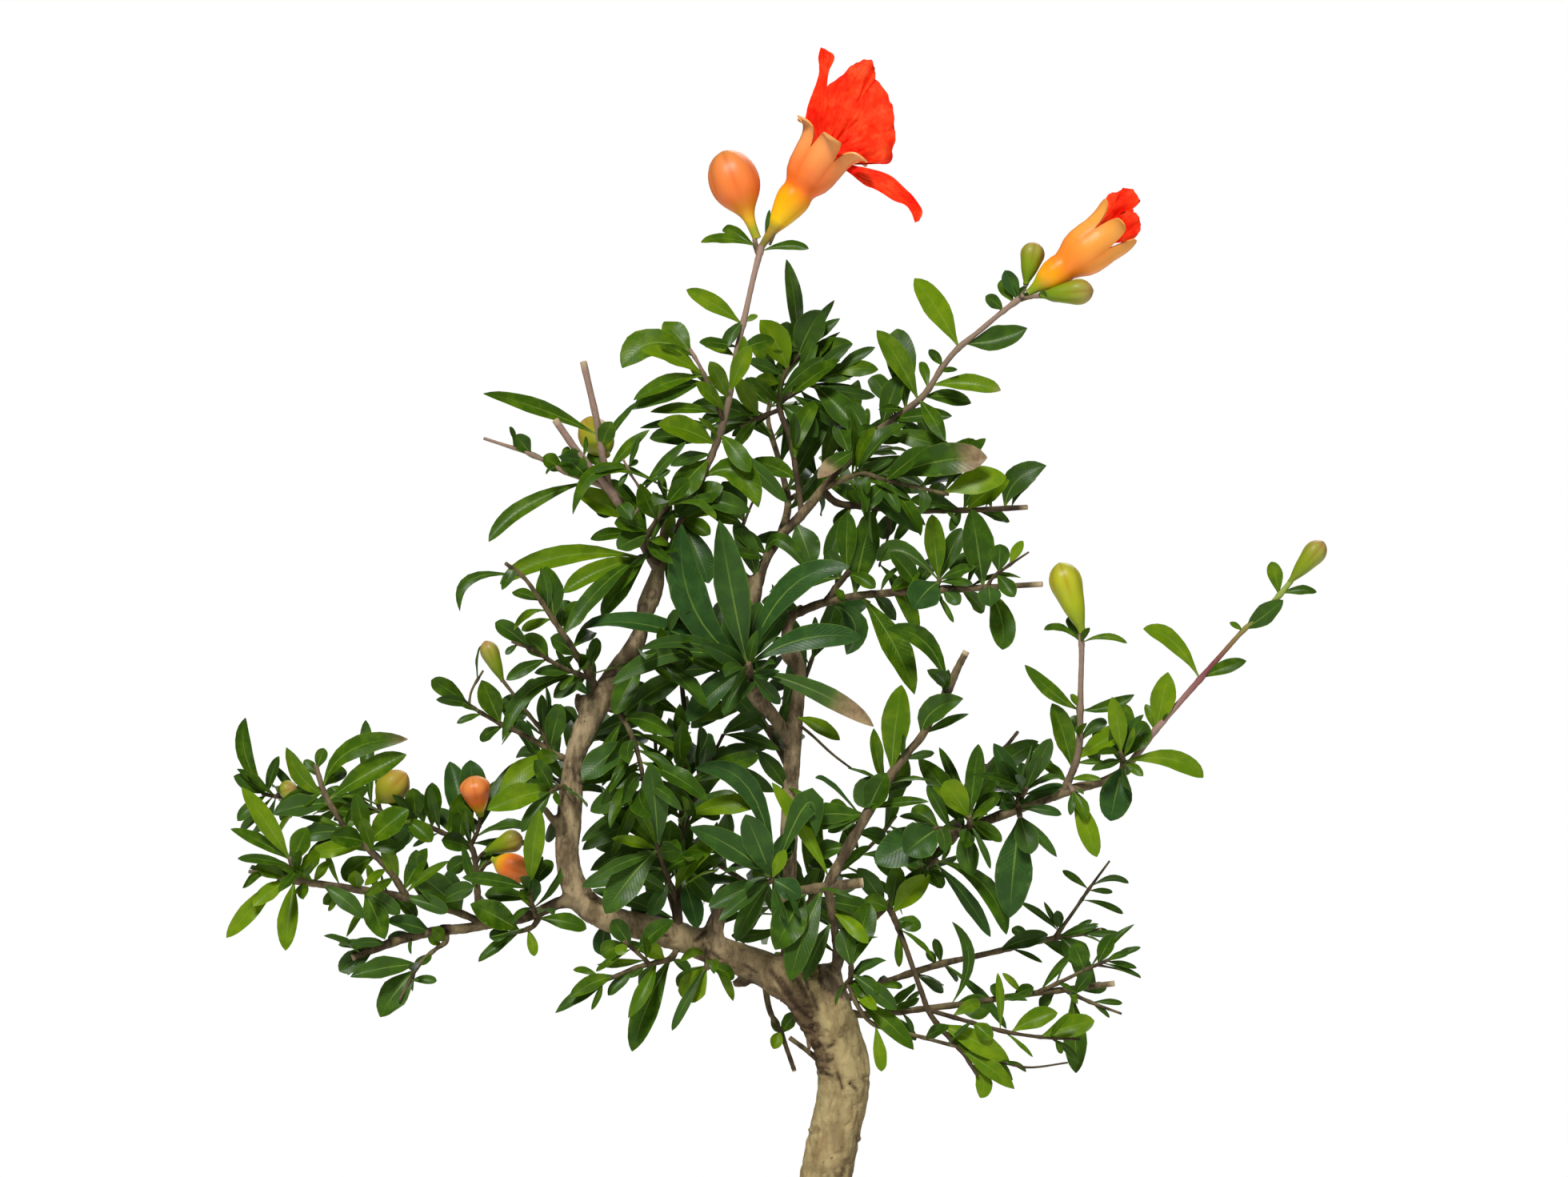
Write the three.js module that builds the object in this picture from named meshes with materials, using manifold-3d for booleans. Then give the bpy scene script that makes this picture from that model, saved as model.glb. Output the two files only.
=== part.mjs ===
// A dwarf pomegranate grown as a bonsai, in a plain oval pot of soil. Millimetres, +Z up.
// The origin is the centre of the pot's underside, and the tree's front faces -Y.
import * as THREE from 'three';
import { mergeVertices } from 'three/addons/utils/BufferGeometryUtils.js';
import Module from 'manifold-3d';

const manifold = await Module();
manifold.setup();

// ---- Driving dimensions ------------------------------------------------------------------------

const POT = { halfLength: 112, halfWidth: 84, height: 62, wall: 6, floor: 8, rimLip: 5, rimHeight: 9 };
const POT_FOOT = { inset: 26, height: 4 };
const DRAIN_HOLE = { radius: 6, offset: 45 };
const SOIL = { edgeHeight: 54, moundHeight: 60 };
const GAP = 0.3;

// The tree's routes are points [u, v, depth] on a front elevation in drawing units: u runs right,
// v runs down, and depth comes towards the viewer. A point in front of or behind the drawing plane
// is moved along its sight line from the eye, so that it keeps its place in the elevation.
const MM_PER_UNIT = 0.22;
const EYE = { u: 980, v: 735.5, height: 261.2, distance: 1500 };
// How far each part of the crown leans towards the viewer, per unit beyond the given line.
const SWAY = {
  left: { from: 960, lean: 0.16 },
  right: { from: 1040, lean: -0.1 },
  top: { from: 900, lean: -0.08 },
};

// Leaf blades, three-sided: a flat upper face over a keel. Stations are [share of the length,
// share of the width]; leaves over the long limit get the fuller outline. Lengths in units.
const KEEL_DEPTH = 1.1;
const FULL_OUTLINE = [[0.24, 0.58], [0.54, 1], [0.84, 0.66]];
const PLAIN_OUTLINE = [[0.33, 0.92], [0.72, 0.92]];
const LONG_LEAF = 110;
const LEAST_LEAF = 50;
// A blade arches up and a little forwards, by this share of its length.
const BLADE_ARCH = { up: 0.12, forwards: 0.05 };
const SLENDEREST = 0.24;
// The share of its own volume that a blade may share with another blade of its shoot.
const CROSSING = 0.015;
// A twig bears leaves up to this share of its last stretch, so that their bases are sunk in it.
const LAST_NODE = 0.8;
// A leaf that would touch another shoot swings forwards or back by these shares of its length.
const SWINGS = [0, 0.22, -0.22, 0.44, -0.44, 0.66, -0.66, 0.88, -0.88];
const FILL_LEAF = { length: 96, width: 0.3, opening: 0.95, droop: 0.12 };

const COLOURS = {
  bark: 0x9a8262, young: 0x6f9a1f, mature: 0x3c6a17, deep: 0x2c5426,
  petal: 0xe8391c, calyx: 0xf08a3c, halfCalyx: 0xf2a35c, stamen: 0xf2c14a,
  orangeBud: 0xee8b3f, yellowBud: 0xc9c93a, greenBud: 0x9aa83a, fruit: 0xc79a3a,
  pot: 0x6d4a3a, soil: 0x4a3a2c,
};

// ---- Wood: routes as [u, v, depth, radius], all in drawing units --------------------------------

const WOOD = {
  trunk: [
    [992, 1745, 0, 40], [993, 1690, 0, 48], [997, 1655, 0, 46], [1003, 1620, 0, 39], [1012, 1570, 0, 35],
    [1023, 1520, 0, 33.5], [1032, 1471, 0, 33.5], [1041, 1425, 0, 33], [1050, 1385, 0, 32],
    [1054, 1345, 0, 33], [1049, 1312, 0, 33], [1037, 1278, 0, 35], [1022, 1248, 0, 38], [1008, 1222, 0, 34],
  ],
  rightShoulder: [[1026, 1250, 0, 30], [1034, 1222, -2, 20], [1034, 1204, -4, 13]],
  leftLimb: [
    [1020, 1248, 0, 30], [985, 1226, 2, 26], [945, 1206, 6, 22], [905, 1192, 10, 20], [862, 1175, 14, 19],
    [810, 1160, 18, 17.5], [768, 1150, 20, 17], [738, 1134, 20, 18], [718, 1108, 20, 16.5],
    [709, 1070, 20, 15], [711, 1030, 18, 16], [714, 985, 15, 15], [719, 945, 11, 13], [731, 912, 7, 15],
    [748, 878, 3, 16.5], [768, 845, -1, 14], [795, 805, -5, 12], [803, 778, -7, 9.5], [810, 755, -8, 13],
    [818, 733, -8, 12.5], [824, 705, -8, 7.5], [829, 675, -8, 6.8], [834, 650, -8, 6.4],
    [835, 626, -8, 6.4],
  ],
  leftStub: [[742, 902, 5, 10], [728, 882, 6, 9.5], [726, 868, 6, 7.5]],
  limbSpur: [[890, 1188, 10, 15], [893, 1160, 16, 12], [902, 1135, 20, 9], [908, 1118, 22, 7]],
  limbHeel: [[945, 1212, 4, 9], [930, 1226, -2, 8], [916, 1230, -6, 5]],
  sideStub: [[706, 1038, 18, 6], [692, 1026, 22, 5.4], [679, 1008, 24, 4.6]],
  leftBranch: [
    [722, 1128, 20, 9], [700, 1128, 18, 8], [678, 1138, 14, 7.6], [650, 1148, 12, 7], [607, 1156, 10, 6.6],
    [575, 1161, 10, 7], [550, 1162, 10, 7.6],
  ],
  centralStem: [
    [1008, 1232, -2, 24], [993, 1190, -4, 17], [985, 1140, -8, 12.5], [985, 1080, -12, 11.5],
    [987, 1020, -14, 11.2], [989, 965, -15, 11.2], [993, 915, -16, 10.4], [998, 865, -18, 9],
    [999, 835, -20, 8.6], [988, 816, -20, 13], [984, 790, -20, 7.5], [989, 770, -20, 7.5],
    [1006, 760, -20, 6.8],
  ],
  leader: [
    [990, 930, -15, 9], [968, 897, 0, 8.6], [944, 868, 16, 11], [932, 838, 20, 9], [932, 800, 16, 8],
    [941, 765, 8, 8], [945, 735, 2, 9], [956, 702, 0, 7], [975, 672, 0, 6.6], [1003, 642, 0, 6.8],
    [1028, 612, 0, 6.2], [1050, 585, -2, 5.2],
  ],
  leaderFork: [[945, 738, 2, 6], [925, 712, -10, 5], [913, 694, -18, 4.4]],
  rightLong: [
    [1036, 1228, 0, 10], [1056, 1186, -2, 6.2], [1078, 1162, -3, 5.4], [1106, 1134, -3, 5.4],
    [1135, 1104, -2, 5.2], [1166, 1072, 0, 5.4], [1193, 1044, 3, 6], [1218, 1032, 5, 6.4],
    [1250, 1019, 7, 7], [1284, 1006, 8, 7.6], [1320, 993, 9, 7.4], [1350, 984, 11, 7], [1378, 977, 13, 6.2],
    [1402, 966, 14, 7], [1411, 955, 14, 5.6],
  ],
};

const WOOD_SIDES = { trunk: 11, leftLimb: 8, centralStem: 6, leader: 6 };
// A twig with a stout root is four-sided, any other three-sided.
const STOUT_TWIG = 4.9;
const twigSides = (route) => (route[0][3] > STOUT_TWIG ? 4 : 3);

// ---- Leafy shoots -------------------------------------------------------------------------------
// twigs: routes as [u, v, depth, radius]; the first starts in the wood, the others in this shoot.
// leaves: [base u, base v, tip u, tip v, width seen from the front, depth gained towards the tip];
// a leaf with no sixth number gets its depth by a seeded draw. spacing: the distance between the
// opposite pairs that fill the twigs, and 0 where the twigs bear only the listed leaves.
// slant: depth gained per unit of distance from the shoot's root.

const SHOOTS = {
  flower_stalk: { tone: 'young', spacing: 0, slant: 0, twigs: [
    [[826, 712, -8, 5], [838, 690, 4, 5], [851, 652, 14, 4.6], [874, 606, 22, 4.4], [890, 568, 26, 4.4],
      [904, 530, 26, 4.4], [913, 488, 22, 4.2], [922, 435, 18, 4], [931, 395, 14, 3.9], [941, 350, 10, 4],
      [948, 322, 8, 4.6], [952, 307, 8, 4.4]],
    [[905, 528, 26, 3.5], [890, 490, 34, 3], [876, 460, 40, 2.6], [862, 436, 44, 2.2]],
    [[948, 318, 8, 3.6], [944, 304, 4, 3.4], [943, 292, 2, 3.4]],
  ], leaves: [
    [946, 308, 876, 303, 15, 8], [956, 316, 1011, 311, 14, 8], [928, 406, 858, 362, 24, 10],
    [931, 404, 947, 394, 9], [866, 436, 778, 460, 44, 5], [866, 440, 830, 402, 32, -20],
    [878, 470, 803, 438, 24, 20], [868, 446, 825, 433, 12, 30], [898, 518, 813, 515, 16, 20],
    [880, 470, 792, 500, 22, 30], [900, 534, 800, 535, 14, 10], [894, 556, 822, 530, 36, 20],
    [912, 500, 887, 452, 24, 40], [913, 492, 938, 432, 24, 40], [908, 515, 870, 478, 20, 35],
    [888, 572, 842, 625, 36, 20], [878, 598, 948, 634, 40, 30], [876, 602, 846, 644, 26, 40],
    [862, 632, 904, 608, 30, 20], [900, 542, 938, 590, 26, 30], [922, 440, 968, 425, 22, -20],
    [920, 446, 880, 430, 18, -30], [851, 652, 888, 668, 24, 20],
  ] },
  crown_centre: { tone: 'mature', spacing: 0, slant: -0.35, twigs: [
    [[1002, 642, 0, 4.5], [998, 610, -6, 4], [992, 570, -12, 3.8], [986, 542, -14, 4.4], [977, 520, -14, 4],
      [974, 500, -16, 3.6], [980, 470, -18, 3], [1002, 440, -22, 2.6]],
    [[975, 512, -14, 3.4], [950, 522, -12, 3], [926, 534, -10, 2.6]],
    [[974, 502, -16, 3.4], [995, 490, -14, 3.2], [1014, 478, -14, 3], [1040, 468, -18, 2.4]],
  ], leaves: [
    [1002, 442, 983, 324, 22, -20], [1004, 440, 1027, 388, 42, 20], [984, 462, 950, 400, 42, 15],
    [988, 456, 984, 402, 36, -30], [1000, 444, 1043, 375, 14, -20], [1010, 440, 1066, 430, 26, 10],
    [1012, 476, 1082, 546, 36, 45], [974, 495, 1030, 447, 20, 20], [986, 490, 1050, 450, 26, 30],
    [1014, 480, 1078, 462, 26, -10], [948, 520, 918, 470, 24, 20], [1010, 480, 1092, 498, 12, -30],
    [980, 505, 1022, 546, 34, 10], [1012, 480, 1058, 532, 18, -40], [975, 512, 915, 545, 16, -20],
    [972, 500, 958, 448, 22, -30], [978, 480, 1000, 415, 30, -50], [940, 526, 905, 500, 18, -50],
    [1000, 488, 1045, 545, 26, -60], [994, 590, 968, 545, 24, -40], [996, 600, 940, 575, 26, -50],
    [990, 560, 1020, 520, 24, -60],
  ] },
  half_flower: { tone: 'mature', spacing: 0, slant: 0.16, twigs: [
    [[1050, 585, -2, 5], [1081, 554, -4, 4.8], [1110, 528, -6, 4.5], [1144, 504, -6, 4.2],
      [1160, 487, -4, 4],
      [1178, 459, -2, 3.9], [1197, 436, 0, 3.9], [1225, 413, 2, 3.6], [1250, 392, 4, 3.5],
      [1280, 369, 7, 4]],
    [[1272, 376, 6, 3], [1279, 364, 2, 2.8], [1283, 354, 0, 2.8]],
    [[1276, 374, 7, 3], [1290, 371, 14, 2.8], [1302, 369, 16, 2.8]],
  ], leaves: [
    [1198, 434, 1143, 348, 34, 10], [1206, 430, 1284, 410, 36, 10], [1178, 458, 1161, 437, 14, 10],
    [1254, 388, 1232, 370, 18, 10], [1266, 378, 1251, 350, 20, -10], [1175, 465, 1197, 462, 8, 20],
    [1163, 482, 1251, 488, 26, 25], [1152, 496, 1214, 504, 22, -10], [1147, 500, 1096, 413, 32, 25],
    [1132, 512, 1121, 411, 40, -25], [1102, 536, 1125, 470, 30, 10], [1132, 512, 1098, 512, 12, 20],
    [1118, 522, 1150, 550, 20, -30], [1112, 528, 1190, 520, 22, 30], [1150, 500, 1182, 552, 22, 40],
    [1092, 544, 1195, 566, 26, 30], [1072, 562, 1022, 598, 46, 30], [1086, 550, 1062, 505, 26, -30],
    [1100, 536, 1068, 545, 18, 30], [1160, 487, 1152, 452, 14, -20], [1064, 572, 1045, 530, 24, -50],
    [1120, 520, 1090, 470, 28, -60], [1140, 506, 1170, 560, 24, -40],
  ] },
  upper_right: { tone: 'mature', spacing: 44, slant: 0.2, twigs: [
    [[1030, 611, 0, 4.4], [1052, 600, 14, 3.6], [1078, 592, 26, 3.2], [1105, 600, 36, 3],
      [1150, 610, 44, 2.6],
      [1186, 618, 48, 2.2]],
  ], leaves: [
    [1058, 598, 1150, 667, 24, 30], [1106, 600, 1234, 572, 56, 25], [1150, 610, 1222, 552, 30, -40],
    [1184, 618, 1232, 548, 20, -60], [1186, 618, 1258, 596, 38, -10], [1112, 602, 1078, 640, 22, 20],
  ] },
  branch_one: { tone: 'mature', spacing: 0, slant: -0.3, twigs: [
    [[1029, 614, 0, 5.5], [1048, 629, 0, 5], [1082, 633, 0, 4.6], [1134, 637, 0, 4.4], [1200, 638, 0, 3.8],
      [1284, 634, 2, 3.6]],
    [[1108, 636, 0, 2.8], [1111, 650, -4, 2.6], [1113, 663, -6, 2.6]],
  ], leaves: [
    [1204, 638, 1233, 588, 24, 10], [1208, 637, 1262, 600, 32, 30], [1256, 635, 1308, 582, 36, 10],
    [1202, 638, 1138, 624, 24, 20], [1076, 632, 1059, 614, 16, 10], [1088, 633, 1106, 606, 26, -10],
    [1150, 638, 1118, 678, 14, 20], [1202, 639, 1188, 664, 14, 20], [1062, 632, 1046, 664, 22, -20],
    [1160, 638, 1178, 604, 24, -30], [1130, 637, 1100, 672, 26, -40], [1240, 636, 1222, 600, 22, -40],
    [1098, 634, 1140, 660, 24, -60], [1218, 637, 1262, 652, 18, -40],
  ] },
  branch_two: { tone: 'mature', spacing: 0, slant: 0.3, twigs: [
    [[996, 766, -20, 6.4], [1030, 753, -18, 5.6], [1075, 744, -14, 4.8], [1127, 740, -8, 4.6],
      [1200, 736, 0, 4.2], [1303, 730, 8, 3.8]],
    [[1032, 752, -18, 4.5], [1048, 730, -10, 4], [1062, 714, -4, 3.6]],
    [[1234, 734, 3, 2.6], [1241, 722, 8, 2.4], [1262, 706, 14, 1.9], [1286, 690, 18, 1.4]],
    [[1170, 737, -2, 2.8], [1175, 723, 6, 2.4]],
  ], leaves: [
    [1229, 733, 1214, 636, 44, 20], [1173, 726, 1165, 643, 30, 20], [1175, 724, 1202, 660, 26, 0],
    [1175, 726, 1221, 708, 16, 30], [1174, 728, 1216, 730, 12, 30], [1173, 727, 1142, 761, 44, 40],
    [1178, 737, 1200, 755, 20, 20], [1168, 738, 1192, 778, 8, 20], [1127, 740, 1148, 789, 24, -10],
    [1124, 740, 1100, 702, 22, 10], [1150, 738, 1113, 691, 28, 20], [1234, 734, 1253, 812, 34, 10],
    [1236, 732, 1238, 758, 30, 40], [1246, 718, 1268, 746, 22, 20], [1248, 716, 1250, 680, 26, 10],
    [1262, 706, 1279, 676, 14, 10], [1068, 745, 1092, 640, 40, 20], [1062, 715, 1060, 640, 28, -10],
    [1036, 751, 1058, 818, 36, 10], [1076, 744, 1143, 868, 38, 20], [1060, 717, 1094, 735, 20, 20],
    [1050, 728, 1034, 688, 24, 20], [1190, 736, 1206, 690, 26, -40], [1110, 741, 1150, 716, 22, 30],
    [1090, 743, 1120, 775, 20, -50], [1200, 736, 1230, 765, 22, -50], [1140, 739, 1170, 700, 24, -60],
  ] },
  front_tuft: { tone: 'deep', spacing: 0, slant: 0, twigs: [
    [[940, 862, 18, 8], [937, 845, 42, 7], [934, 828, 62, 5.6]],
  ], leaves: [
    [932, 826, 899, 650, 46, 60], [930, 824, 852, 655, 48, 30], [928, 826, 725, 787, 30, 10],
    [938, 824, 1062, 708, 36, 30], [940, 826, 1077, 798, 34, 10], [928, 830, 800, 812, 20, 40],
    [940, 836, 1092, 908, 28, 20], [928, 836, 858, 902, 32, 0], [938, 822, 984, 762, 26, -20],
    [934, 822, 950, 752, 32, -10], [926, 832, 764, 856, 26, 20], [930, 840, 905, 895, 26, 10],
    [938, 840, 975, 880, 20, -10], [932, 824, 905, 770, 30, 10], [930, 828, 872, 790, 26, -20],
  ] },
  top_left: { tone: 'mature', spacing: 0, slant: 0.35, twigs: [
    [[822, 714, -8, 6.4], [811, 694, -4, 6.2], [799, 672, 2, 6], [780, 640, 8, 6], [765, 616, 12, 6.6],
      [748, 597, 14, 5.6], [724, 568, 14, 5], [694, 525, 12, 4.6]],
    [[762, 612, 12, 4], [735, 600, 18, 3.6], [706, 590, 22, 3.2], [664, 568, 26, 2.6], [605, 548, 30, 2.2]],
    [[762, 613, 12, 5], [757, 588, 8, 5], [751, 558, 4, 4.6], [746, 526, 2, 4.6], [729, 452, -2, 4.8]],
    [[788, 652, 6, 2.2], [803, 621, 14, 1.9], [788, 592, 18, 1.7], [779, 574, 20, 1.4]],
  ], leaves: [
    [748, 545, 604, 492, 24, 10], [752, 562, 765, 527, 24, 25], [752, 560, 796, 502, 10, 20],
    [664, 568, 643, 544, 24, 10], [704, 590, 678, 572, 24, 15], [735, 600, 702, 570, 36, 15],
    [706, 590, 709, 558, 14, -10], [738, 602, 611, 677, 24, 10], [786, 650, 720, 616, 34, 20],
    [772, 628, 790, 650, 24, 20], [796, 668, 738, 674, 18, 20], [758, 594, 812, 537, 16, 20],
    [802, 618, 858, 552, 14, 20], [786, 590, 774, 608, 8, 5], [784, 584, 798, 576, 8, 5],
    [798, 610, 838, 588, 12, 10], [782, 642, 745, 640, 20, -30], [757, 590, 735, 566, 16, -30],
    [770, 626, 812, 640, 20, -40],
  ] },
  limb_top: { tone: 'mature', spacing: 0, slant: 0.3, twigs: [
    [[824, 706, -8, 5], [812, 692, 12, 4.4], [810, 668, 24, 3.6], [828, 640, 28, 2.8], [846, 612, 28, 2.4]],
    [[812, 694, 12, 3.8], [798, 697, 24, 3.2]],
  ], leaves: [
    [822, 648, 825, 618, 22, 0], [811, 668, 772, 686, 30, 20], [812, 666, 768, 654, 22, 20],
    [845, 614, 716, 643, 18, 10], [800, 697, 625, 730, 32, 15], [802, 697, 704, 741, 30, 10],
    [806, 696, 764, 746, 18, 20], [800, 697, 709, 788, 24, 30], [810, 690, 752, 770, 26, -20],
    [832, 634, 862, 600, 24, 20], [812, 680, 852, 700, 24, 30],
  ] },
  left_upper: { tone: 'mature', spacing: 0, slant: 0.45, twigs: [
    [[750, 868, 2, 5.4], [736, 843, 6, 4.8], [718, 815, 10, 4.2], [702, 790, 14, 3.8], [690, 772, 16, 3.4],
      [672, 745, 18, 3], [655, 722, 20, 2.8], [632, 704, 22, 2.6]],
    [[739, 848, 6, 3.6], [712, 838, 14, 3], [688, 826, 18, 2.6], [665, 812, 20, 2.2], [640, 802, 22, 1.8]],
    [[738, 846, 6, 3], [739, 832, 14, 2.4]],
  ], leaves: [
    [692, 776, 682, 708, 36, 15], [690, 774, 652, 788, 14, 10], [652, 720, 575, 764, 14, 10],
    [662, 812, 619, 778, 24, 10], [686, 826, 655, 794, 28, 10], [648, 805, 632, 818, 9, 5],
    [684, 826, 633, 850, 18, 10], [716, 824, 688, 797, 26, 25], [739, 834, 746, 797, 17, 5],
    [722, 841, 668, 841, 16, 25], [704, 794, 728, 750, 32, -20], [700, 788, 705, 750, 26, -40],
    [732, 845, 628, 926, 22, 30], [712, 812, 742, 790, 22, -30], [720, 818, 690, 850, 22, -40],
    [736, 843, 770, 852, 18, 40], [676, 752, 640, 740, 16, -30],
  ] },
  left_middle: { tone: 'mature', spacing: 0, slant: -0.35, twigs: [
    [[716, 952, 12, 5], [692, 942, 10, 4.2], [672, 928, 8, 3.8], [650, 916, 6, 3.4], [628, 906, 4, 3],
      [605, 893, 2, 2.6], [586, 881, 0, 2.4]],
    [[586, 881, 0, 1.8], [590, 862, 0, 1.7], [604, 838, 0, 1.5]],
    [[688, 940, 10, 3], [678, 915, 16, 2.8], [660, 892, 20, 2.6], [642, 868, 22, 2.4], [628, 850, 22, 2.6]],
  ], leaves: [
    [587, 881, 539, 850, 24, 10], [604, 892, 571, 904, 10, 5], [626, 905, 602, 850, 32, 5],
    [640, 912, 636, 868, 28, -20], [628, 906, 627, 931, 8, 5], [692, 942, 625, 990, 30, 20],
    [688, 938, 701, 880, 28, 30], [678, 916, 677, 868, 16, 10], [700, 946, 672, 948, 22, 40],
    [650, 880, 672, 850, 20, -10], [660, 893, 640, 900, 16, 20], [670, 905, 715, 895, 24, -20],
    [630, 907, 600, 925, 16, -30],
  ] },
  left_lower: { tone: 'mature', spacing: 0, slant: 0.3, twigs: [
    [[712, 985, 14, 4.6], [698, 984, 34, 3.6], [688, 990, 44, 3]],
  ], leaves: [
    [696, 986, 609, 1012, 36, 20], [690, 988, 652, 1040, 22, 10], [690, 988, 668, 950, 22, 20],
  ] },
  limb_right_upper: { tone: 'mature', spacing: 26, slant: 0.2, twigs: [
    [[784, 824, -2, 5], [802, 828, 16, 4.4], [826, 820, 32, 3.4], [846, 806, 44, 2.6]],
  ], leaves: [
    [804, 828, 768, 893, 30, 20], [830, 818, 866, 770, 28, 10],
  ] },
  limb_right_lower: { tone: 'mature', spacing: 32, slant: 0.3, twigs: [
    [[756, 884, 2, 4.6], [775, 893, 16, 3.8], [792, 925, 28, 3.2], [802, 962, 36, 2.6],
      [806, 990, 40, 2.2]],
  ], leaves: [
    [778, 897, 855, 845, 32, 20], [792, 925, 728, 974, 38, 30], [780, 900, 812, 906, 14, 10],
    [800, 955, 765, 985, 20, 20],
  ] },
  inner_stems: { tone: 'mature', spacing: 66, slant: 0, twigs: [
    [[846, 1170, 16, 8], [848, 1120, 26, 5.4], [851, 1070, 28, 4.6], [853, 1010, 28, 4.4],
      [856, 950, 26, 4],
      [856, 900, 24, 3.6], [852, 855, 22, 3], [848, 836, 20, 2.4]],
    [[847, 1150, 20, 5], [836, 1110, 6, 4.2], [832, 1060, 0, 3.8], [826, 1010, -6, 3.4],
      [821, 960, -12, 2.8],
      [818, 905, -16, 2.4]],
    [[847, 1130, 25, 3.6], [832, 1090, 52, 3.2], [820, 1054, 74, 2.6]],
    [[852, 1042, 28, 3.2], [868, 1000, 12, 3], [886, 956, 0, 2.6], [904, 918, -8, 2.2]],
  ], leaves: [
    [821, 1056, 757, 1142, 42, 20], [820, 1055, 812, 953, 34, 20], [822, 1060, 780, 990, 16, 20],
    [824, 1066, 738, 1101, 18, 10], [822, 1060, 765, 1048, 16, 20], [832, 1090, 880, 1066, 20, 40],
    [850, 1080, 900, 1052, 26, 30], [853, 1020, 958, 1004, 28, 40], [862, 1016, 900, 1020, 20, -20],
  ] },
  left_branch: { tone: 'young', spacing: 0, slant: 0.12, twigs: [
    [[610, 1158, 10, 5.4], [582, 1144, 14, 5], [545, 1132, 16, 5], [505, 1121, 18, 5], [450, 1112, 20, 4.8],
      [400, 1105, 22, 4.6], [378, 1102, 22, 5.2], [350, 1096, 24, 4], [311, 1089, 26, 2.6]],
    [[508, 1121, 18, 4.6], [494, 1098, 24, 4.4], [478, 1078, 30, 4.2], [462, 1062, 34, 4],
      [455, 1048, 36, 3.4]],
    [[464, 1064, 34, 3.6], [436, 1040, 28, 3.6], [418, 1014, 22, 3.6], [405, 990, 18, 3.4],
      [394, 955, 14, 3]],
    [[376, 1101, 22, 4], [367, 1086, 32, 3.4], [362, 1072, 38, 2.8]],
  ], leaves: [
    [363, 1076, 302, 984, 26, 20], [362, 1076, 288, 1036, 18, 10], [366, 1084, 297, 1073, 14, 20],
    [360, 1097, 319, 1083, 22, 20], [364, 1080, 384, 1034, 28, 10], [362, 1099, 316, 1132, 22, 25],
    [352, 1097, 283, 1172, 24, 10], [368, 1101, 357, 1188, 28, 30], [380, 1102, 379, 1124, 16, 30],
    [406, 995, 358, 934, 24, 20], [404, 985, 510, 924, 28, 20], [410, 1000, 508, 943, 34, 10],
    [412, 1004, 341, 1018, 32, 20], [400, 972, 380, 950, 14, -10], [456, 1052, 443, 991, 24, 20],
    [458, 1056, 511, 1012, 38, 10], [458, 1058, 385, 1068, 22, 10], [456, 1054, 412, 1046, 30, 30],
    [470, 1070, 428, 1098, 30, -20], [498, 1104, 478, 1054, 20, 20], [504, 1114, 534, 1060, 24, 10],
    [506, 1118, 561, 1076, 12, 30], [577, 1142, 519, 1091, 38, 25], [446, 1112, 444, 1088, 22, 25],
    [402, 1105, 456, 1148, 24, 20], [455, 1113, 481, 1174, 32, 10], [418, 1014, 452, 1018, 24, -20],
    [404, 984, 432, 962, 22, -20], [440, 1110, 404, 1130, 18, -10], [372, 1096, 400, 1066, 22, 30],
    [520, 1125, 550, 1100, 22, -30], [488, 1118, 520, 1148, 22, -30], [396, 962, 405, 935, 16, 10],
  ] },
  left_rear: { tone: 'mature', spacing: 0, slant: -0.15, twigs: [
    [[600, 1158, 8, 5], [597, 1120, -24, 4.4], [595, 1085, -46, 4], [588, 1058, -56, 3.6],
      [560, 1044, -58, 3.4],
      [528, 1030, -60, 3.2], [490, 1018, -62, 3], [442, 1008, -64, 2.8], [400, 1003, -66, 2.6],
      [360, 998, -68, 2.4], [327, 992, -70, 2.2]],
    [[588, 1058, -56, 2.6], [598, 1036, -46, 2.5], [600, 1018, -40, 2.6]],
    [[476, 1014, -62, 2.6], [472, 1003, -58, 2.6]],
    [[594, 1080, -48, 2.8], [602, 1068, -40, 2.6], [608, 1064, -36, 2.6]],
    [[596, 1098, -38, 2.8], [606, 1082, -24, 2.6], [616, 1074, -18, 2.6]],
    [[346, 995, -69, 2.2], [350, 990, -64, 2.2]],
  ], leaves: [
    [326, 992, 307, 897, 22, 5], [330, 992, 349, 945, 16, 10], [326, 991, 292, 970, 24, 10],
    [328, 993, 297, 1026, 18, 10], [360, 998, 386, 982, 15, -10], [465, 1012, 457, 900, 20, -20],
    [540, 1034, 540, 978, 26, 20], [560, 1044, 588, 988, 28, 20], [576, 1050, 578, 1014, 28, 10],
    [590, 1062, 552, 1050, 28, 40], [520, 1026, 516, 985, 26, 20], [500, 1020, 470, 1050, 22, 10],
    [505, 1022, 540, 1052, 26, 20], [430, 1007, 460, 985, 22, 20], [592, 1072, 560, 1090, 24, -20],
    [560, 1044, 600, 1030, 22, -40], [590, 1058, 562, 952, 38, -20], [592, 1050, 641, 954, 16, -20],
    [380, 1000, 350, 1025, 20, -20], [440, 1008, 410, 985, 20, -30], [596, 1092, 640, 1045, 24, -30],
    [580, 1054, 545, 1010, 24, -30],
  ] },
  left_hanging: { tone: 'mature', spacing: 0, slant: 0.3, twigs: [
    [[557, 1160, 10, 4], [558, 1176, 24, 3.2], [545, 1186, 30, 2.8], [525, 1204, 34, 2.6],
      [510, 1230, 36, 2.2],
      [499, 1251, 38, 1.8]],
  ], leaves: [
    [524, 1205, 438, 1221, 30, 15], [520, 1210, 475, 1271, 38, 5], [513, 1226, 546, 1226, 13, 10],
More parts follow.
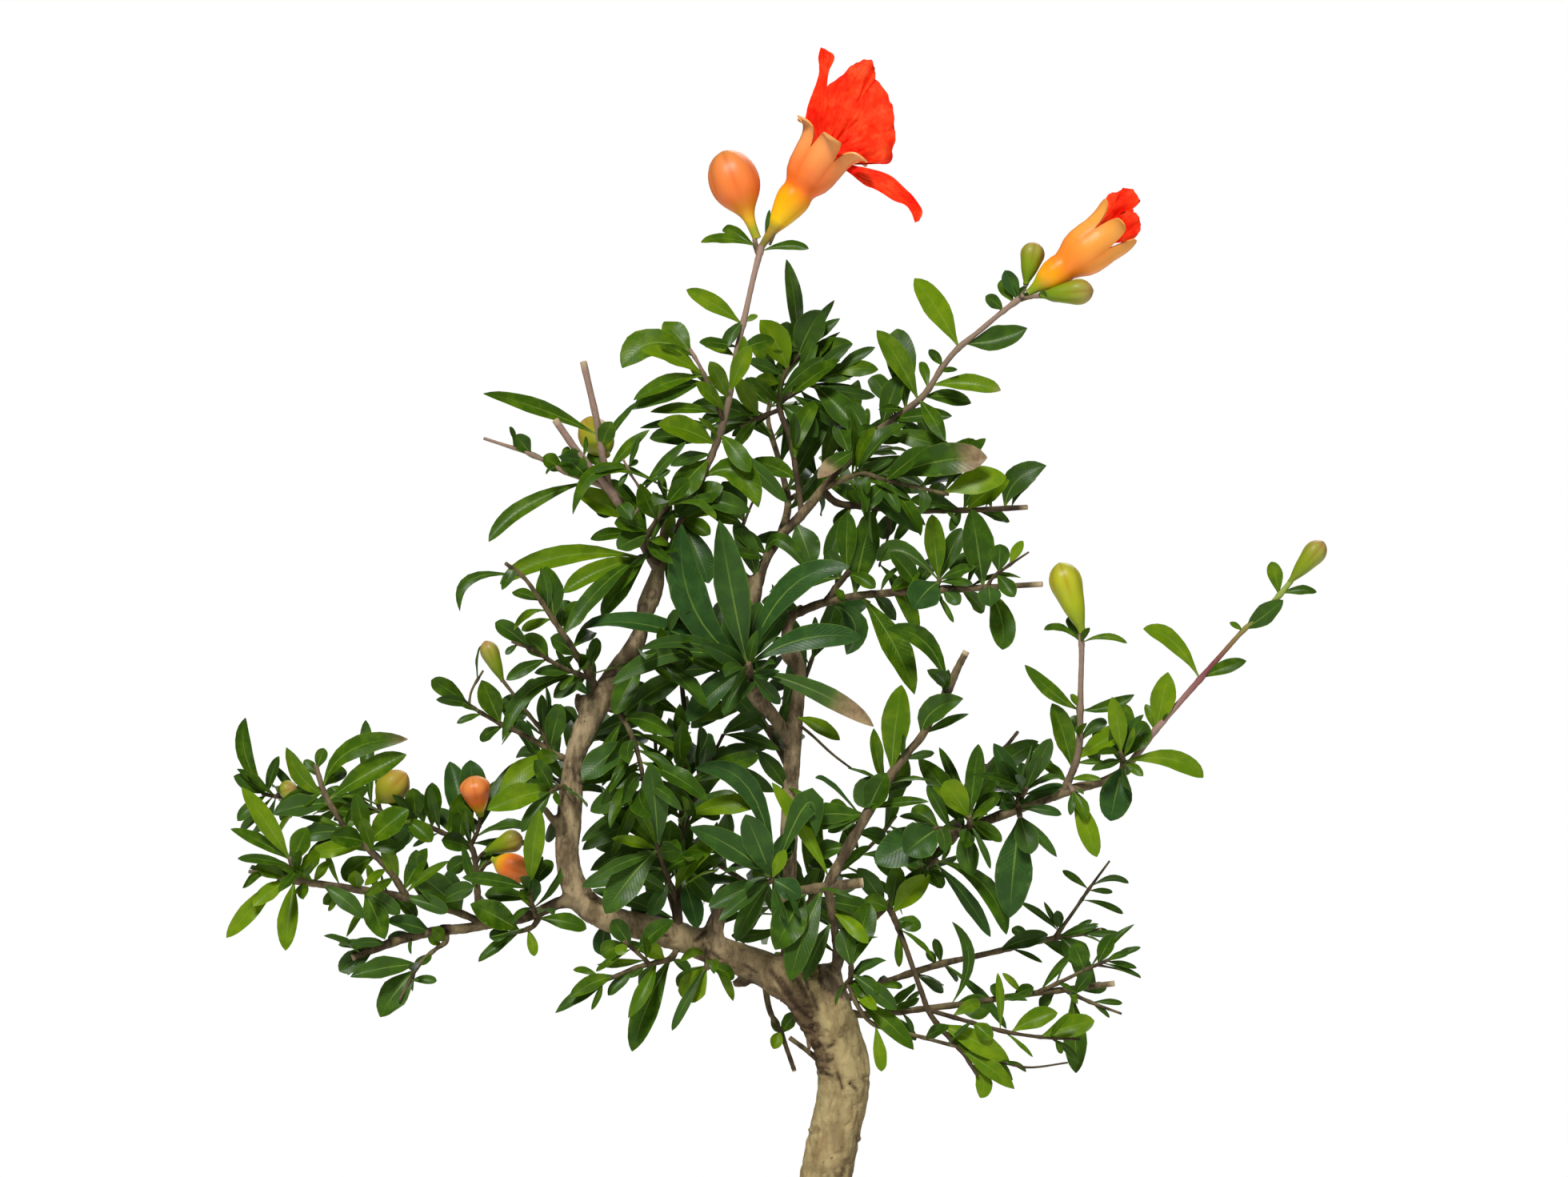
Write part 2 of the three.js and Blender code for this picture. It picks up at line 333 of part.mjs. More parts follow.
    [556, 1178, 540, 1160, 18, 20], [552, 1182, 535, 1172, 14, 10],
  ] },
  left_tip: { tone: 'deep', spacing: 0, slant: 0.25, twigs: [
    [[556, 1162, 10, 7], [520, 1169, 12, 6.4], [490, 1178, 14, 6], [460, 1189, 16, 5.4],
      [440, 1197, 18, 4.8]],
  ], leaves: [
    [470, 1186, 424, 1214, 28, 25], [472, 1184, 423, 1181, 14, 15], [540, 1166, 482, 1151, 26, 25],
    [486, 1180, 437, 1180, 14, 35],
  ] },
  left_fork: { tone: 'mature', spacing: 0, slant: 0.3, twigs: [
    [[676, 1139, 14, 5], [668, 1156, 26, 3.6], [654, 1163, 34, 2.8], [636, 1166, 38, 2.4]],
    [[672, 1148, 20, 3.4], [664, 1128, 38, 3], [663, 1106, 46, 2.6]],
  ], leaves: [
    [652, 1164, 598, 1202, 16, 10], [660, 1161, 668, 1195, 14, 10], [663, 1106, 675, 1012, 28, 10],
    [666, 1132, 667, 1098, 22, 30], [663, 1112, 578, 1097, 20, 10], [664, 1128, 650, 1112, 14, 20],
    [650, 1164, 588, 1130, 38, 20], [664, 1124, 606, 1118, 24, -10], [640, 1166, 612, 1172, 18, 10],
    [672, 1148, 733, 1161, 24, 10], [663, 1108, 690, 1076, 22, -20],
  ] },
  centre_front: { tone: 'deep', spacing: 0, slant: 0, twigs: [
    [[985, 1062, -12, 4.6], [976, 1082, 40, 3.8], [962, 1103, 84, 3.2]],
  ], leaves: [
    [960, 1102, 862, 1034, 36, 20], [961, 1101, 932, 1018, 38, 5], [961, 1104, 886, 1133, 28, 10],
    [960, 1104, 898, 1152, 20, 20], [961, 1106, 920, 1177, 26, 5], [963, 1100, 982, 1062, 18, 10],
    [966, 1096, 990, 1040, 28, -20], [963, 1104, 1001, 1122, 30, 5], [965, 1098, 1020, 1046, 36, 5],
    [968, 1094, 868, 960, 32, -20],
  ] },
  stub_shoot: { tone: 'mature', spacing: 0, slant: 0.12, twigs: [
    [[1040, 1232, -4, 8], [1046, 1195, 18, 6], [1043, 1160, 30, 5.4], [1038, 1128, 36, 6],
      [1036, 1106, 38, 7],
      [1046, 1085, 36, 7.4], [1064, 1052, 32, 7.2], [1083, 1018, 28, 7], [1105, 985, 24, 6.6],
      [1116, 965, 22, 6.2],
      [1135, 940, 20, 5.4], [1152, 920, 18, 5.2], [1175, 880, 14, 5], [1187, 857, 12, 6.2],
      [1197, 835, 10, 5],
      [1208, 814, 8, 4.6]],
    [[1000, 1113, 42, 6], [1036, 1108, 38, 7], [1079, 1103, 38, 6.8]],
  ], leaves: [
    [1006, 1112, 969, 1187, 46, 30], [1030, 1110, 988, 1226, 38, 30], [1042, 1150, 1005, 1227, 22, 10],
    [1042, 1140, 1085, 1179, 20, 30], [1036, 1100, 965, 978, 20, 30], [1084, 1018, 1108, 966, 36, 25],
    [1080, 1022, 1003, 1022, 28, 10], [1088, 1012, 1161, 1002, 14, 30], [1114, 967, 1127, 856, 38, 20],
    [1152, 920, 1204, 873, 34, 25], [1153, 919, 1211, 892, 12, 10], [1184, 860, 1108, 786, 28, 10],
    [1046, 1190, 1072, 1150, 18, 10], [1060, 1058, 1018, 1070, 28, -10], [1070, 1042, 1105, 1050, 24, -30],
    [1064, 1052, 1040, 1000, 26, -40], [1006, 924, 1060, 960, 6, 0], [1046, 1085, 1012, 1080, 24, -30],
    [1100, 992, 1140, 975, 18, -40],
  ] },
  right_first: { tone: 'mature', spacing: 0, slant: 0.35, twigs: [
    [[1203, 1039, 4, 5], [1212, 1031, 24, 4.2], [1212, 1020, 34, 3.2]],
    [[1209, 1034, 16, 3.4], [1190, 1040, 34, 3.2], [1168, 1034, 46, 2.6]],
  ], leaves: [
    [1212, 1024, 1180, 977, 34, 15], [1210, 1028, 1148, 948, 30, -20], [1213, 1024, 1223, 930, 26, 5],
    [1206, 1034, 1158, 974, 26, 20], [1213, 1028, 1174, 934, 14, -30], [1204, 1036, 1215, 1095, 30, 20],
    [1213, 1026, 1252, 1052, 20, 10], [1212, 1030, 1238, 1086, 8, 20], [1188, 1040, 1094, 1079, 52, 10],
    [1170, 1035, 1131, 1067, 52, 20], [1175, 1036, 1140, 1010, 26, -20], [1212, 1026, 1250, 990, 24, -30],
  ] },
  right_under: { tone: 'mature', spacing: 0, slant: -0.3, twigs: [
    [[1150, 1089, -1, 4.4], [1162, 1080, 18, 3.6], [1172, 1074, 28, 3]],
  ], leaves: [
    [1172, 1073, 1258, 1168, 27, 10], [1168, 1078, 1238, 1171, 20, -10], [1160, 1082, 1178, 1110, 20, 10],
    [1160, 1082, 1130, 1118, 24, -20],
  ] },
  right_second: { tone: 'deep', spacing: 0, slant: 0.3, twigs: [
    [[1270, 1011, 8, 5], [1275, 998, 26, 4], [1284, 984, 36, 3]],
    [[1273, 1006, 14, 3.8], [1275, 1022, 34, 3.2]],
  ], leaves: [
    [1275, 1000, 1242, 929, 28, 10], [1277, 996, 1280, 954, 20, -20], [1284, 984, 1314, 923, 24, 0],
    [1283, 986, 1300, 944, 20, 30], [1275, 1002, 1250, 950, 24, 25], [1282, 988, 1215, 968, 12, 10],
    [1279, 1010, 1327, 1018, 14, 10], [1275, 1020, 1262, 1147, 50, 5], [1276, 1018, 1289, 1067, 32, 30],
    [1276, 1020, 1321, 1071, 14, 5], [1275, 1004, 1240, 1000, 22, -20], [1283, 986, 1245, 975, 20, -30],
  ] },
  right_upright: { tone: 'young', spacing: 0, slant: 0.25, twigs: [
    [[1328, 992, 9, 6], [1337, 972, 12, 5], [1346, 948, 14, 4.6], [1350, 915, 14, 4.4],
      [1350, 888, 14, 4.6],
      [1351, 850, 14, 3.8], [1352, 815, 14, 3.8], [1351, 786, 14, 3.8]],
    [[1336, 978, 12, 3.4], [1342, 990, 30, 2.8]],
  ], leaves: [
    [1341, 962, 1315, 879, 32, 15], [1346, 950, 1411, 911, 30, 20], [1344, 954, 1381, 953, 9, 10],
    [1349, 930, 1384, 903, 17, 5], [1350, 888, 1281, 831, 20, 10], [1351, 888, 1418, 868, 18, 10],
    [1350, 886, 1338, 868, 10, 10], [1352, 804, 1305, 787, 11, 10], [1352, 804, 1409, 804, 10, 10],
    [1341, 988, 1371, 1071, 27, 10], [1340, 986, 1358, 1023, 18, 20], [1338, 976, 1377, 974, 10, 20],
    [1334, 978, 1303, 955, 16, 0], [1344, 952, 1322, 925, 18, -20], [1348, 935, 1375, 950, 22, -40],
  ] },
  right_end: { tone: 'mature', spacing: 0, slant: 0.4, twigs: [
    [[1404, 965, 14, 5.6], [1404, 952, 34, 4], [1400, 940, 42, 3]],
  ], leaves: [
    [1401, 943, 1390, 871, 25, 5], [1403, 948, 1432, 902, 40, 10], [1403, 950, 1407, 880, 28, -30],
    [1404, 952, 1504, 972, 27, 5], [1404, 955, 1388, 1026, 56, 15], [1404, 954, 1429, 970, 14, 20],
    [1402, 946, 1366, 915, 24, -20],
  ] },
  far_right: { tone: 'young', spacing: 0, slant: 0.15, twigs: [
    [[1408, 960, 14, 5.4], [1425, 938, 16, 4.8], [1444, 913, 18, 4.4], [1470, 883, 20, 4],
      [1499, 850, 22, 4.2],
      [1527, 818, 24, 3.4], [1554, 788, 26, 3.4], [1580, 764, 28, 3.4], [1600, 743, 30, 3.8],
      [1614, 726, 30, 3.8]],
  ], leaves: [
    [1444, 912, 1460, 840, 34, 10], [1443, 914, 1432, 880, 12, -10], [1499, 848, 1429, 786, 26, 10],
    [1501, 848, 1558, 826, 20, 10], [1555, 786, 1604, 750, 28, 20], [1553, 788, 1537, 778, 8, 5],
    [1598, 744, 1589, 702, 20, 5], [1601, 742, 1646, 740, 14, 10],
  ] },
  lower_first: { tone: 'mature', spacing: 0, slant: -0.3, twigs: [
    [[1048, 1252, 4, 6], [1085, 1237, 14, 4.6], [1110, 1226, 16, 4.4], [1171, 1206, 18, 4.6],
      [1210, 1197, 20, 4],
      [1250, 1188, 22, 4], [1290, 1178, 24, 3.8], [1330, 1170, 26, 3.6], [1376, 1163, 28, 3.4]],
    [[1318, 1172, 25, 3], [1340, 1142, 32, 2.4], [1362, 1110, 38, 2], [1387, 1076, 42, 1.5]],
  ], leaves: [
    [1248, 1189, 1310, 1168, 24, 20], [1325, 1172, 1358, 1206, 34, 20], [1332, 1170, 1366, 1238, 26, -20],
    [1322, 1172, 1373, 1158, 14, 20], [1335, 1168, 1365, 1150, 9, 5], [1361, 1112, 1328, 1088, 10, 5],
    [1363, 1109, 1411, 1104, 10, 5], [1360, 1113, 1391, 1115, 8, 10], [1352, 1125, 1404, 1142, 9, 5],
    [1324, 1165, 1274, 1127, 10, 5], [1324, 1164, 1305, 1127, 8, 10], [1326, 1162, 1321, 1138, 14, 10],
    [1262, 1186, 1303, 1203, 7, 10], [1176, 1205, 1168, 1173, 13, 10], [1180, 1204, 1258, 1286, 12, 10],
    [1170, 1206, 1158, 1188, 12, 10], [1300, 1176, 1340, 1196, 20, -30], [1105, 1228, 1128, 1234, 10, 5],
    [1290, 1178, 1265, 1160, 16, -10],
  ] },
  lower_second: { tone: 'mature', spacing: 0, slant: 0.2, twigs: [
    [[1056, 1266, 2, 6], [1085, 1268, -4, 4.8], [1120, 1265, -10, 4.4], [1160, 1260, -12, 4.4],
      [1210, 1254, -10, 4], [1272, 1244, -6, 4], [1330, 1237, -2, 4], [1393, 1229, 2, 3.8]],
    [[1296, 1241, -4, 3.2], [1330, 1225, 6, 2.6], [1355, 1213, 12, 2.2], [1396, 1195, 18, 1.6]],
    [[1330, 1237, -2, 3], [1362, 1252, 8, 2.4], [1402, 1267, 14, 1.7]],
  ], leaves: [
    [1266, 1244, 1292, 1234, 18, 15], [1278, 1243, 1253, 1216, 10, 5], [1300, 1239, 1337, 1194, 12, 10],
    [1256, 1246, 1238, 1232, 18, 5], [1340, 1241, 1345, 1341, 32, -10], [1356, 1213, 1342, 1180, 24, 0],
    [1362, 1210, 1418, 1155, 8, 5], [1372, 1205, 1392, 1168, 22, 5], [1385, 1200, 1426, 1184, 10, 5],
    [1380, 1202, 1412, 1190, 10, 15], [1382, 1202, 1421, 1210, 9, 5], [1378, 1204, 1426, 1221, 7, 5],
    [1364, 1253, 1403, 1254, 9, 5], [1362, 1252, 1387, 1272, 7, 5], [1188, 1257, 1190, 1152, 12, 10],
    [1190, 1257, 1238, 1264, 34, 15], [1345, 1240, 1366, 1215, 20, 20], [1320, 1238, 1300, 1260, 16, -20],
  ] },
  lower_hanging: { tone: 'young', spacing: 0, slant: 0.25, twigs: [
    [[1110, 1131, -3, 4.6], [1118, 1148, 16, 4], [1130, 1178, 32, 3.6], [1142, 1212, 36, 3.4],
      [1152, 1240, 36, 3.6], [1162, 1266, 34, 3.8], [1180, 1290, 32, 3], [1205, 1318, 32, 2.6],
      [1222, 1345, 32, 2]],
    [[1160, 1262, 35, 3.2], [1215, 1278, 34, 2.8], [1255, 1289, 34, 2.6], [1300, 1296, 34, 2.2],
      [1350, 1299, 34, 1.8]],
    [[1203, 1316, 32, 2.2], [1245, 1326, 28, 1.8], [1286, 1334, 26, 1.6], [1335, 1328, 26, 1.3]],
  ], leaves: [
    [1116, 1142, 1163, 1094, 32, 15], [1114, 1138, 1122, 1083, 26, 5], [1120, 1150, 1151, 1160, 22, 10],
    [1124, 1160, 1168, 1200, 7, 10], [1172, 1278, 1262, 1327, 30, 15], [1178, 1288, 1266, 1350, 28, 5],
    [1198, 1310, 1268, 1361, 24, 15], [1212, 1328, 1225, 1372, 22, 5], [1264, 1290, 1322, 1266, 28, 10],
    [1300, 1296, 1368, 1276, 30, 10], [1250, 1288, 1247, 1216, 12, 5], [1318, 1298, 1327, 1317, 9, 5],
    [1255, 1289, 1291, 1321, 6, 5], [1215, 1278, 1240, 1300, 22, 15], [1190, 1271, 1225, 1252, 18, -10],
    [1112, 1138, 1080, 1124, 24, 10],
  ] },
  trunk_side: { tone: 'mature', spacing: 0, slant: 0.4, twigs: [
    [[1046, 1240, 6, 5], [1062, 1226, 34, 4], [1064, 1206, 42, 3.2]],
    [[1060, 1228, 32, 3.4], [1075, 1262, 34, 3], [1096, 1282, 30, 2.8], [1140, 1293, 22, 2.6],
      [1196, 1308, 16, 2.2]],
  ], leaves: [
    [1058, 1226, 1098, 1240, 30, 30], [1063, 1216, 1121, 1262, 26, 20], [1064, 1208, 1087, 1129, 36, -20],
    [1064, 1210, 1050, 1162, 26, -10], [1070, 1250, 1142, 1312, 26, 25], [1066, 1240, 1096, 1262, 16, 40],
    [1094, 1281, 1102, 1339, 18, 10],
  ] },
  under_limb: { tone: 'mature', spacing: 0, slant: 0.3, twigs: [
    [[848, 1182, 14, 5], [838, 1198, 34, 3.8], [815, 1204, 38, 3.2], [790, 1211, 40, 2.8],
      [765, 1222, 42, 2.4],
      [728, 1237, 44, 1.6]],
    [[812, 1205, 38, 2.8], [796, 1190, 48, 2.4], [780, 1176, 54, 2.2]],
  ], leaves: [
    [842, 1196, 790, 1314, 44, 10], [832, 1200, 800, 1182, 22, 20], [796, 1210, 760, 1244, 16, 10],
    [768, 1221, 694, 1266, 18, 5], [772, 1219, 712, 1246, 22, 20], [784, 1180, 772, 1193, 16, 10],
    [780, 1176, 752, 1194, 26, -20], [790, 1186, 745, 1214, 10, -10], [806, 1205, 788, 1222, 12, 10],
    [796, 1190, 842, 1150, 26, 30], [790, 1184, 765, 1150, 24, 10], [820, 1202, 800, 1235, 20, -30],
  ] },
  limb_underside: { tone: 'young', spacing: 0, slant: 0.5, twigs: [
    [[886, 1190, 8, 5], [884, 1210, 28, 3.8]],
  ], leaves: [
    [884, 1206, 840, 1288, 18, 15], [885, 1208, 857, 1251, 38, 5], [882, 1206, 846, 1232, 20, -20],
    [885, 1206, 918, 1222, 20, -10],
  ] },
  under_fork: { tone: 'young', spacing: 0, slant: -0.4, twigs: [
    [[955, 1222, 4, 5], [962, 1262, 8, 3.8], [976, 1290, 8, 3.4], [985, 1315, 8, 3.2], [993, 1338, 8, 3.2]],
  ], leaves: [
    [975, 1288, 967, 1311, 18, 10], [978, 1292, 997, 1266, 20, 20], [965, 1264, 972, 1290, 12, -10],
  ] },
  back_crown: { tone: 'mature', spacing: 52, slant: 0, twigs: [
    [[975, 672, 0, 6], [985, 630, -70, 5], [975, 580, -140, 4.2], [960, 520, -200, 3.2],
      [975, 470, -240, 2.4]],
    [[984, 626, -76, 3.6], [1040, 590, -130, 3], [1080, 560, -180, 2.4]],
  ], leaves: [] },
  back_middle: { tone: 'deep', spacing: 52, slant: 0, twigs: [
    [[989, 965, -15, 6], [965, 920, -80, 5], [930, 870, -150, 4.2], [890, 820, -215, 3.2],
      [860, 790, -250, 2.4]],
    [[962, 916, -86, 3.6], [1000, 860, -150, 3], [1020, 810, -200, 2.4]],
  ], leaves: [] },
  back_left: { tone: 'deep', spacing: 52, slant: 0, twigs: [
    [[712, 1030, 18, 6], [706, 1000, -60, 5], [720, 950, -130, 4], [740, 900, -190, 3],
      [745, 860, -225, 2.4]],
    [[708, 990, -76, 3.4], [680, 960, -130, 2.8], [665, 925, -170, 2.2]],
  ], leaves: [] },
  back_right: { tone: 'mature', spacing: 52, slant: 0, twigs: [
    [[1193, 1044, 3, 6], [1206, 1008, -60, 5], [1228, 968, -125, 4.2], [1256, 935, -185, 3],
      [1272, 915, -215, 2.4]],
  ], leaves: [] },
  back_low: { tone: 'mature', spacing: 52, slant: 0, twigs: [
    [[1006, 1228, 0, 7], [985, 1165, -80, 5], [955, 1120, -150, 4.2], [905, 1085, -210, 3.2],
      [870, 1060, -250, 2.4]],
    [[984, 1160, -86, 3.6], [1035, 1100, -150, 3], [1085, 1060, -200, 2.6], [1120, 1020, -235, 2.2]],
  ], leaves: [] },
};

// ---- Flowers, buds and young fruits --------------------------------------------------------------
// Each hangs on a shoot and lies on an axis from base to tip, both [u, v, depth]. A profile lists
// [share of the axis, share of the radius]; radii are in drawing units.

const BUD_PROFILES = {
  plump: [[0.04, 0.2], [0.28, 0.36], [0.52, 0.82], [0.7, 1], [0.86, 0.82], [0.96, 0.4]],
  club: [[0.04, 0.24], [0.36, 0.54], [0.62, 0.94], [0.8, 1], [0.93, 0.66]],
  round: [[0.06, 0.4], [0.26, 0.86], [0.52, 1], [0.78, 0.82], [0.93, 0.42]],
};

const BUDS = {
  bud_orange: {
    on: 'flower_stalk', profile: 'plump', colour: 'orangeBud', radius: 31,
    base: [943, 290, 2], tip: [906, 189, -4],
  },
  bud_green_upper: {
    on: 'half_flower', profile: 'club', colour: 'greenBud', radius: 15,
    base: [1283, 352, 0], tip: [1294, 303, -8],
  },
  bud_green_lower: {
    on: 'half_flower', profile: 'club', colour: 'greenBud', radius: 16,
    base: [1304, 369, 16], tip: [1367, 363, 30],
  },
  bud_yellow: {
    on: 'right_upright', profile: 'club', colour: 'yellowBud', radius: 20,
    base: [1351, 784, 14], tip: [1324, 703, 14],
  },
  bud_far_right: {
    on: 'far_right', profile: 'club', colour: 'greenBud', radius: 14,
    base: [1615, 724, 30], tip: [1655, 677, 34],
  },
  bud_small_left: {
    on: 'left_middle', profile: 'club', colour: 'greenBud', radius: 11.5,
    base: [627, 848, 22], tip: [606, 801, 24],
  },
  bud_olive: {
    on: 'left_rear', profile: 'club', colour: 'greenBud', radius: 14,
    base: [610, 1063, -36], tip: [653, 1046, -24],
  },
  bud_orange_left: {
    on: 'left_rear', profile: 'plump', colour: 'orangeBud', radius: 19,
    base: [600, 1016, -40], tip: [591, 971, -24],
  },
  bud_orange_lower: {
    on: 'left_rear', profile: 'plump', colour: 'orangeBud', radius: 19,
    base: [618, 1075, -17], tip: [664, 1095, 2],
  },
  fruit_yellow_left: {
    on: 'left_rear', profile: 'round', colour: 'fruit', radius: 20,
    base: [473, 1001, -57], tip: [508, 966, -50],
  },
  fruit_green_left: {
    on: 'left_rear', profile: 'round', colour: 'greenBud', radius: 12,
    base: [352, 989, -63], tip: [368, 985, -46],
  },
  fruit_yellow_top: {
    on: 'top_left', profile: 'round', colour: 'fruit', radius: 21,
    base: [757, 566, -3], tip: [733, 526, -60],
  },
};

const WIDE_BUD = 25;
const budSides = (radius) => (radius > WIDE_BUD ? 9 : 6);

// A calyx: its outer profile in drawing units along the axis, then a ring of lobes.
const OPEN_FLOWER = {
  on: 'flower_stalk', base: [953, 303, 8], axis: [0.6, -0.8, 0.1], lobes: 6, wall: 5,
  profile: [[0, 4.5], [30, 11], [47, 19.5], [70, 21], [88, 30], [122, 35]],
  floor: 90, lobeReach: 156, lobeSpread: 54, notchReach: 129,
};
const HALF_FLOWER = {
  on: 'half_flower', base: [1283, 366, 8], axis: [0.765, -0.64, 0.1], lobes: 6, wall: 4,
  profile: [[0, 4.5], [22, 11], [40, 21], [62, 23.5], [84, 29], [112, 32]],
  floor: 92, lobeReach: 152, lobeSpread: 40, notchReach: 120,
};
// Petals: [tip u, tip v, tip depth, width, rise, turn], each from a claw inside its calyx. The spine
// bends at the height of the rise, measured along the axis from the cup's floor. turn, in radians,
// swings a petal's face away from the front.
const OPEN_PETALS = [
  [1029, 62, 26, 30, 84, -0.5], [1084, 79, 44, 66, 84, 0], [1112, 166, 20, 80, 80, 0.2],
  [1150, 273, 24, 26, 80, 0.5], [1099, 112, -30, 78, 80, 0.1],
];
const HALF_PETALS = [
  [1404, 240, 26, 42, 70, 0], [1417, 276, 38, 38, 70, 0.5], [1411, 256, 8, 40, 70, -0.3],
];
const PETAL = { thickness: 0.7, across: 3, ruffle: 5, clawRing: 12 };
// The ring that holds the petals' claws, and the hole through it for the stamens, along the axis
// from the cup's floor.
const CLAW_RING = { from: 3, to: 12, radius: 15, sides: 10 };
const STAMEN_HOLE = 9;
const PETAL_ROWS = [[0, 0.14], [0.24, 0.2], [0.46, 0.5], [0.68, 0.92], [0.88, 1], [1, 0.6]];
// Heights in drawing units above the cup's floor; spread and radii in mm.
const STAMENS = {
  filaments: 5, spread: 1.2, reach: 60, radius: 0.32, anther: 0.64,
  column: { foot: 2, top: 26, radius: 1.1 },
};

// ---- Small geometry kit --------------------------------------------------------------------------

const FACING = new THREE.Vector3(0, -1, 0);
const UP = new THREE.Vector3(0, 0, 1);

function sway(u, v) {
  const { left, right, top } = SWAY;
  return left.lean * Math.max(0, left.from - u) + right.lean * Math.max(0, u - right.from)
    + top.lean * Math.max(0, top.from - v);
}

function place([u, v, flatDepth]) {
  const depth = flatDepth + sway(u, v);
  const spread = 1 - (depth * MM_PER_UNIT) / EYE.distance;
  const x = (u - EYE.u) * MM_PER_UNIT * spread;
  const z = EYE.height + (EYE.v - v) * MM_PER_UNIT * spread;
  return new THREE.Vector3(x, -depth * MM_PER_UNIT, z);
}

// A point of a shoot, or of what it bears, moved by the shoot's slant.
function slanted(shoot, [u, v, depth, ...rest]) {
  const [rootU, rootV] = shoot.twigs[0][0];
  return [u, v, depth + shoot.slant * Math.hypot(u - rootU, v - rootV), ...rest];
}

// A repeatable draw between 0 and 1.
function seededDraw(seed) {
  let state = seed;
  return () => {
    state = (state * 1664525 + 1013904223) % 4294967296;
    return state / 4294967296;
  };
}

// A closed skin over rings of equal size, closed by a point at each end.
function loft(rings, start, end) {
  const sides = rings[0].length;
  const vertices = [start, ...rings.flat(), end];
  const last = vertices.length - 1;
  const index = [];
  const at = (ring, side) => 1 + ring * sides + (side % sides);
  for (let side = 0; side < sides; side += 1) {
    index.push(0, at(0, side + 1), at(0, side));
    for (let ring = 0; ring < rings.length - 1; ring += 1) {
      const [a, b] = [at(ring, side), at(ring, side + 1)];
      const [c, d] = [at(ring + 1, side + 1), at(ring + 1, side)];
      index.push(a, b, c, a, c, d);
    }
    index.push(last, at(rings.length - 1, side), at(rings.length - 1, side + 1));
  }
  const geometry = new THREE.BufferGeometry();
  const positions = vertices.flatMap((vertex) => vertex.toArray());
  geometry.setAttribute('position', new THREE.Float32BufferAttribute(positions, 3));
  geometry.setIndex(index);
  return geometry;
}

function circle(centre, normal, binormal, radius, sides) {
  return Array.from({ length: sides }, (_, side) => {
    const angle = (side / sides) * Math.PI * 2;
    return centre.clone()
      .addScaledVector(normal, Math.cos(angle) * radius)
      .addScaledVector(binormal, Math.sin(angle) * radius);
  });
}

// A round tube through a route of [u, v, depth, radius]; grow widens and lengthens it, in mm.
function tube(route, sides, grow = 0) {
  const centres = route.map(place);
  const tangents = centres.map((_, i) => {
    const ahead = centres[Math.min(i + 1, centres.length - 1)];
    return ahead.clone().sub(centres[Math.max(i - 1, 0)]).normalize();
  });
  const normal = new THREE.Vector3().crossVectors(tangents[0], FACING).normalize();
  const final = centres.length - 1;
  centres[0].addScaledVector(tangents[0], -grow);
  centres[final].addScaledVector(tangents[final], grow);
  const rings = centres.map((centre, i) => {
    normal.addScaledVector(tangents[i], -normal.dot(tangents[i])).normalize();
    const binormal = new THREE.Vector3().crossVectors(tangents[i], normal);
    return circle(centre, normal, binormal, route[i][3] * MM_PER_UNIT + grow, sides);
  });
  return loft(rings, centres[0], centres[final]);
}

function solid(geometry) {
  const merged = mergeVertices(geometry);
  return new manifold.Manifold(new manifold.Mesh({
    numProp: 3,
    vertProperties: new Float32Array(merged.attributes.position.array),
    triVerts: new Uint32Array(merged.index.array),
  }));
}

function largestPiece(body) {
  const pieces = body.decompose();
  return pieces.reduce((best, piece) => (piece.volume() > best.volume() ? piece : best));
}

function named(name, body, colour, roughness) {
  const { vertProperties, triVerts } = body.getMesh();
  const geometry = new THREE.BufferGeometry();
  geometry.setAttribute('position', new THREE.Float32BufferAttribute(vertProperties, 3));
  geometry.setIndex(Array.from(triVerts));
  geometry.computeVertexNormals();
  const material = new THREE.MeshStandardMaterial({ color: colour, roughness, metalness: 0 });
  const mesh = new THREE.Mesh(geometry, material);
  mesh.name = name;
  return mesh;
}

function boxesMeet(a, b) {
  return [0, 1, 2].every((axis) => a.min[axis] <= b.max[axis] && b.min[axis] <= a.max[axis]);
}

// ---- Pot and soil --------------------------------------------------------------------------------

function oval(halfLength, halfWidth, height, sides = 24) {
  return Array.from({ length: sides }, (_, side) => {
    const angle = (side / sides) * Math.PI * 2;
    return new THREE.Vector3(Math.cos(angle) * halfLength, Math.sin(angle) * halfWidth, height);
  });
}

function potSolid() {
  const { halfLength: length, halfWidth: width, height, wall, floor, rimLip, rimHeight } = POT;
  const ring = (inset, level) => oval(length - inset, width - inset, level);
  const { inset, height: footHeight } = POT_FOOT;
  const outside = [
    ring(inset, 0), ring(inset, footHeight), ring(inset - 4, footHeight + 1),
    ring(rimLip + 9, height * 0.35), ring(rimLip, height - rimHeight), ring(0, height - rimHeight),
    ring(0, height),
  ];
  const inside = [
    ring(wall + rimLip, height), ring(wall + rimLip + 2, height - rimHeight),
    ring(wall + rimLip + 10, height * 0.4), ring(wall + inset, floor),
  ];
  const rings = [...outside, ...inside];
  const body = solid(loft(rings, new THREE.Vector3(0, 0, 0), new THREE.Vector3(0, 0, floor)));
  return [-DRAIN_HOLE.offset, DRAIN_HOLE.offset].reduce((pot, x) => {
    const drill = new THREE.CylinderGeometry(DRAIN_HOLE.radius, DRAIN_HOLE.radius, floor * 4, 14);
    drill.rotateX(Math.PI / 2);
    drill.translate(x, 0, 0);
    drill.deleteAttribute('normal');
    drill.deleteAttribute('uv');
    return pot.subtract(solid(drill));
  }, body);
}

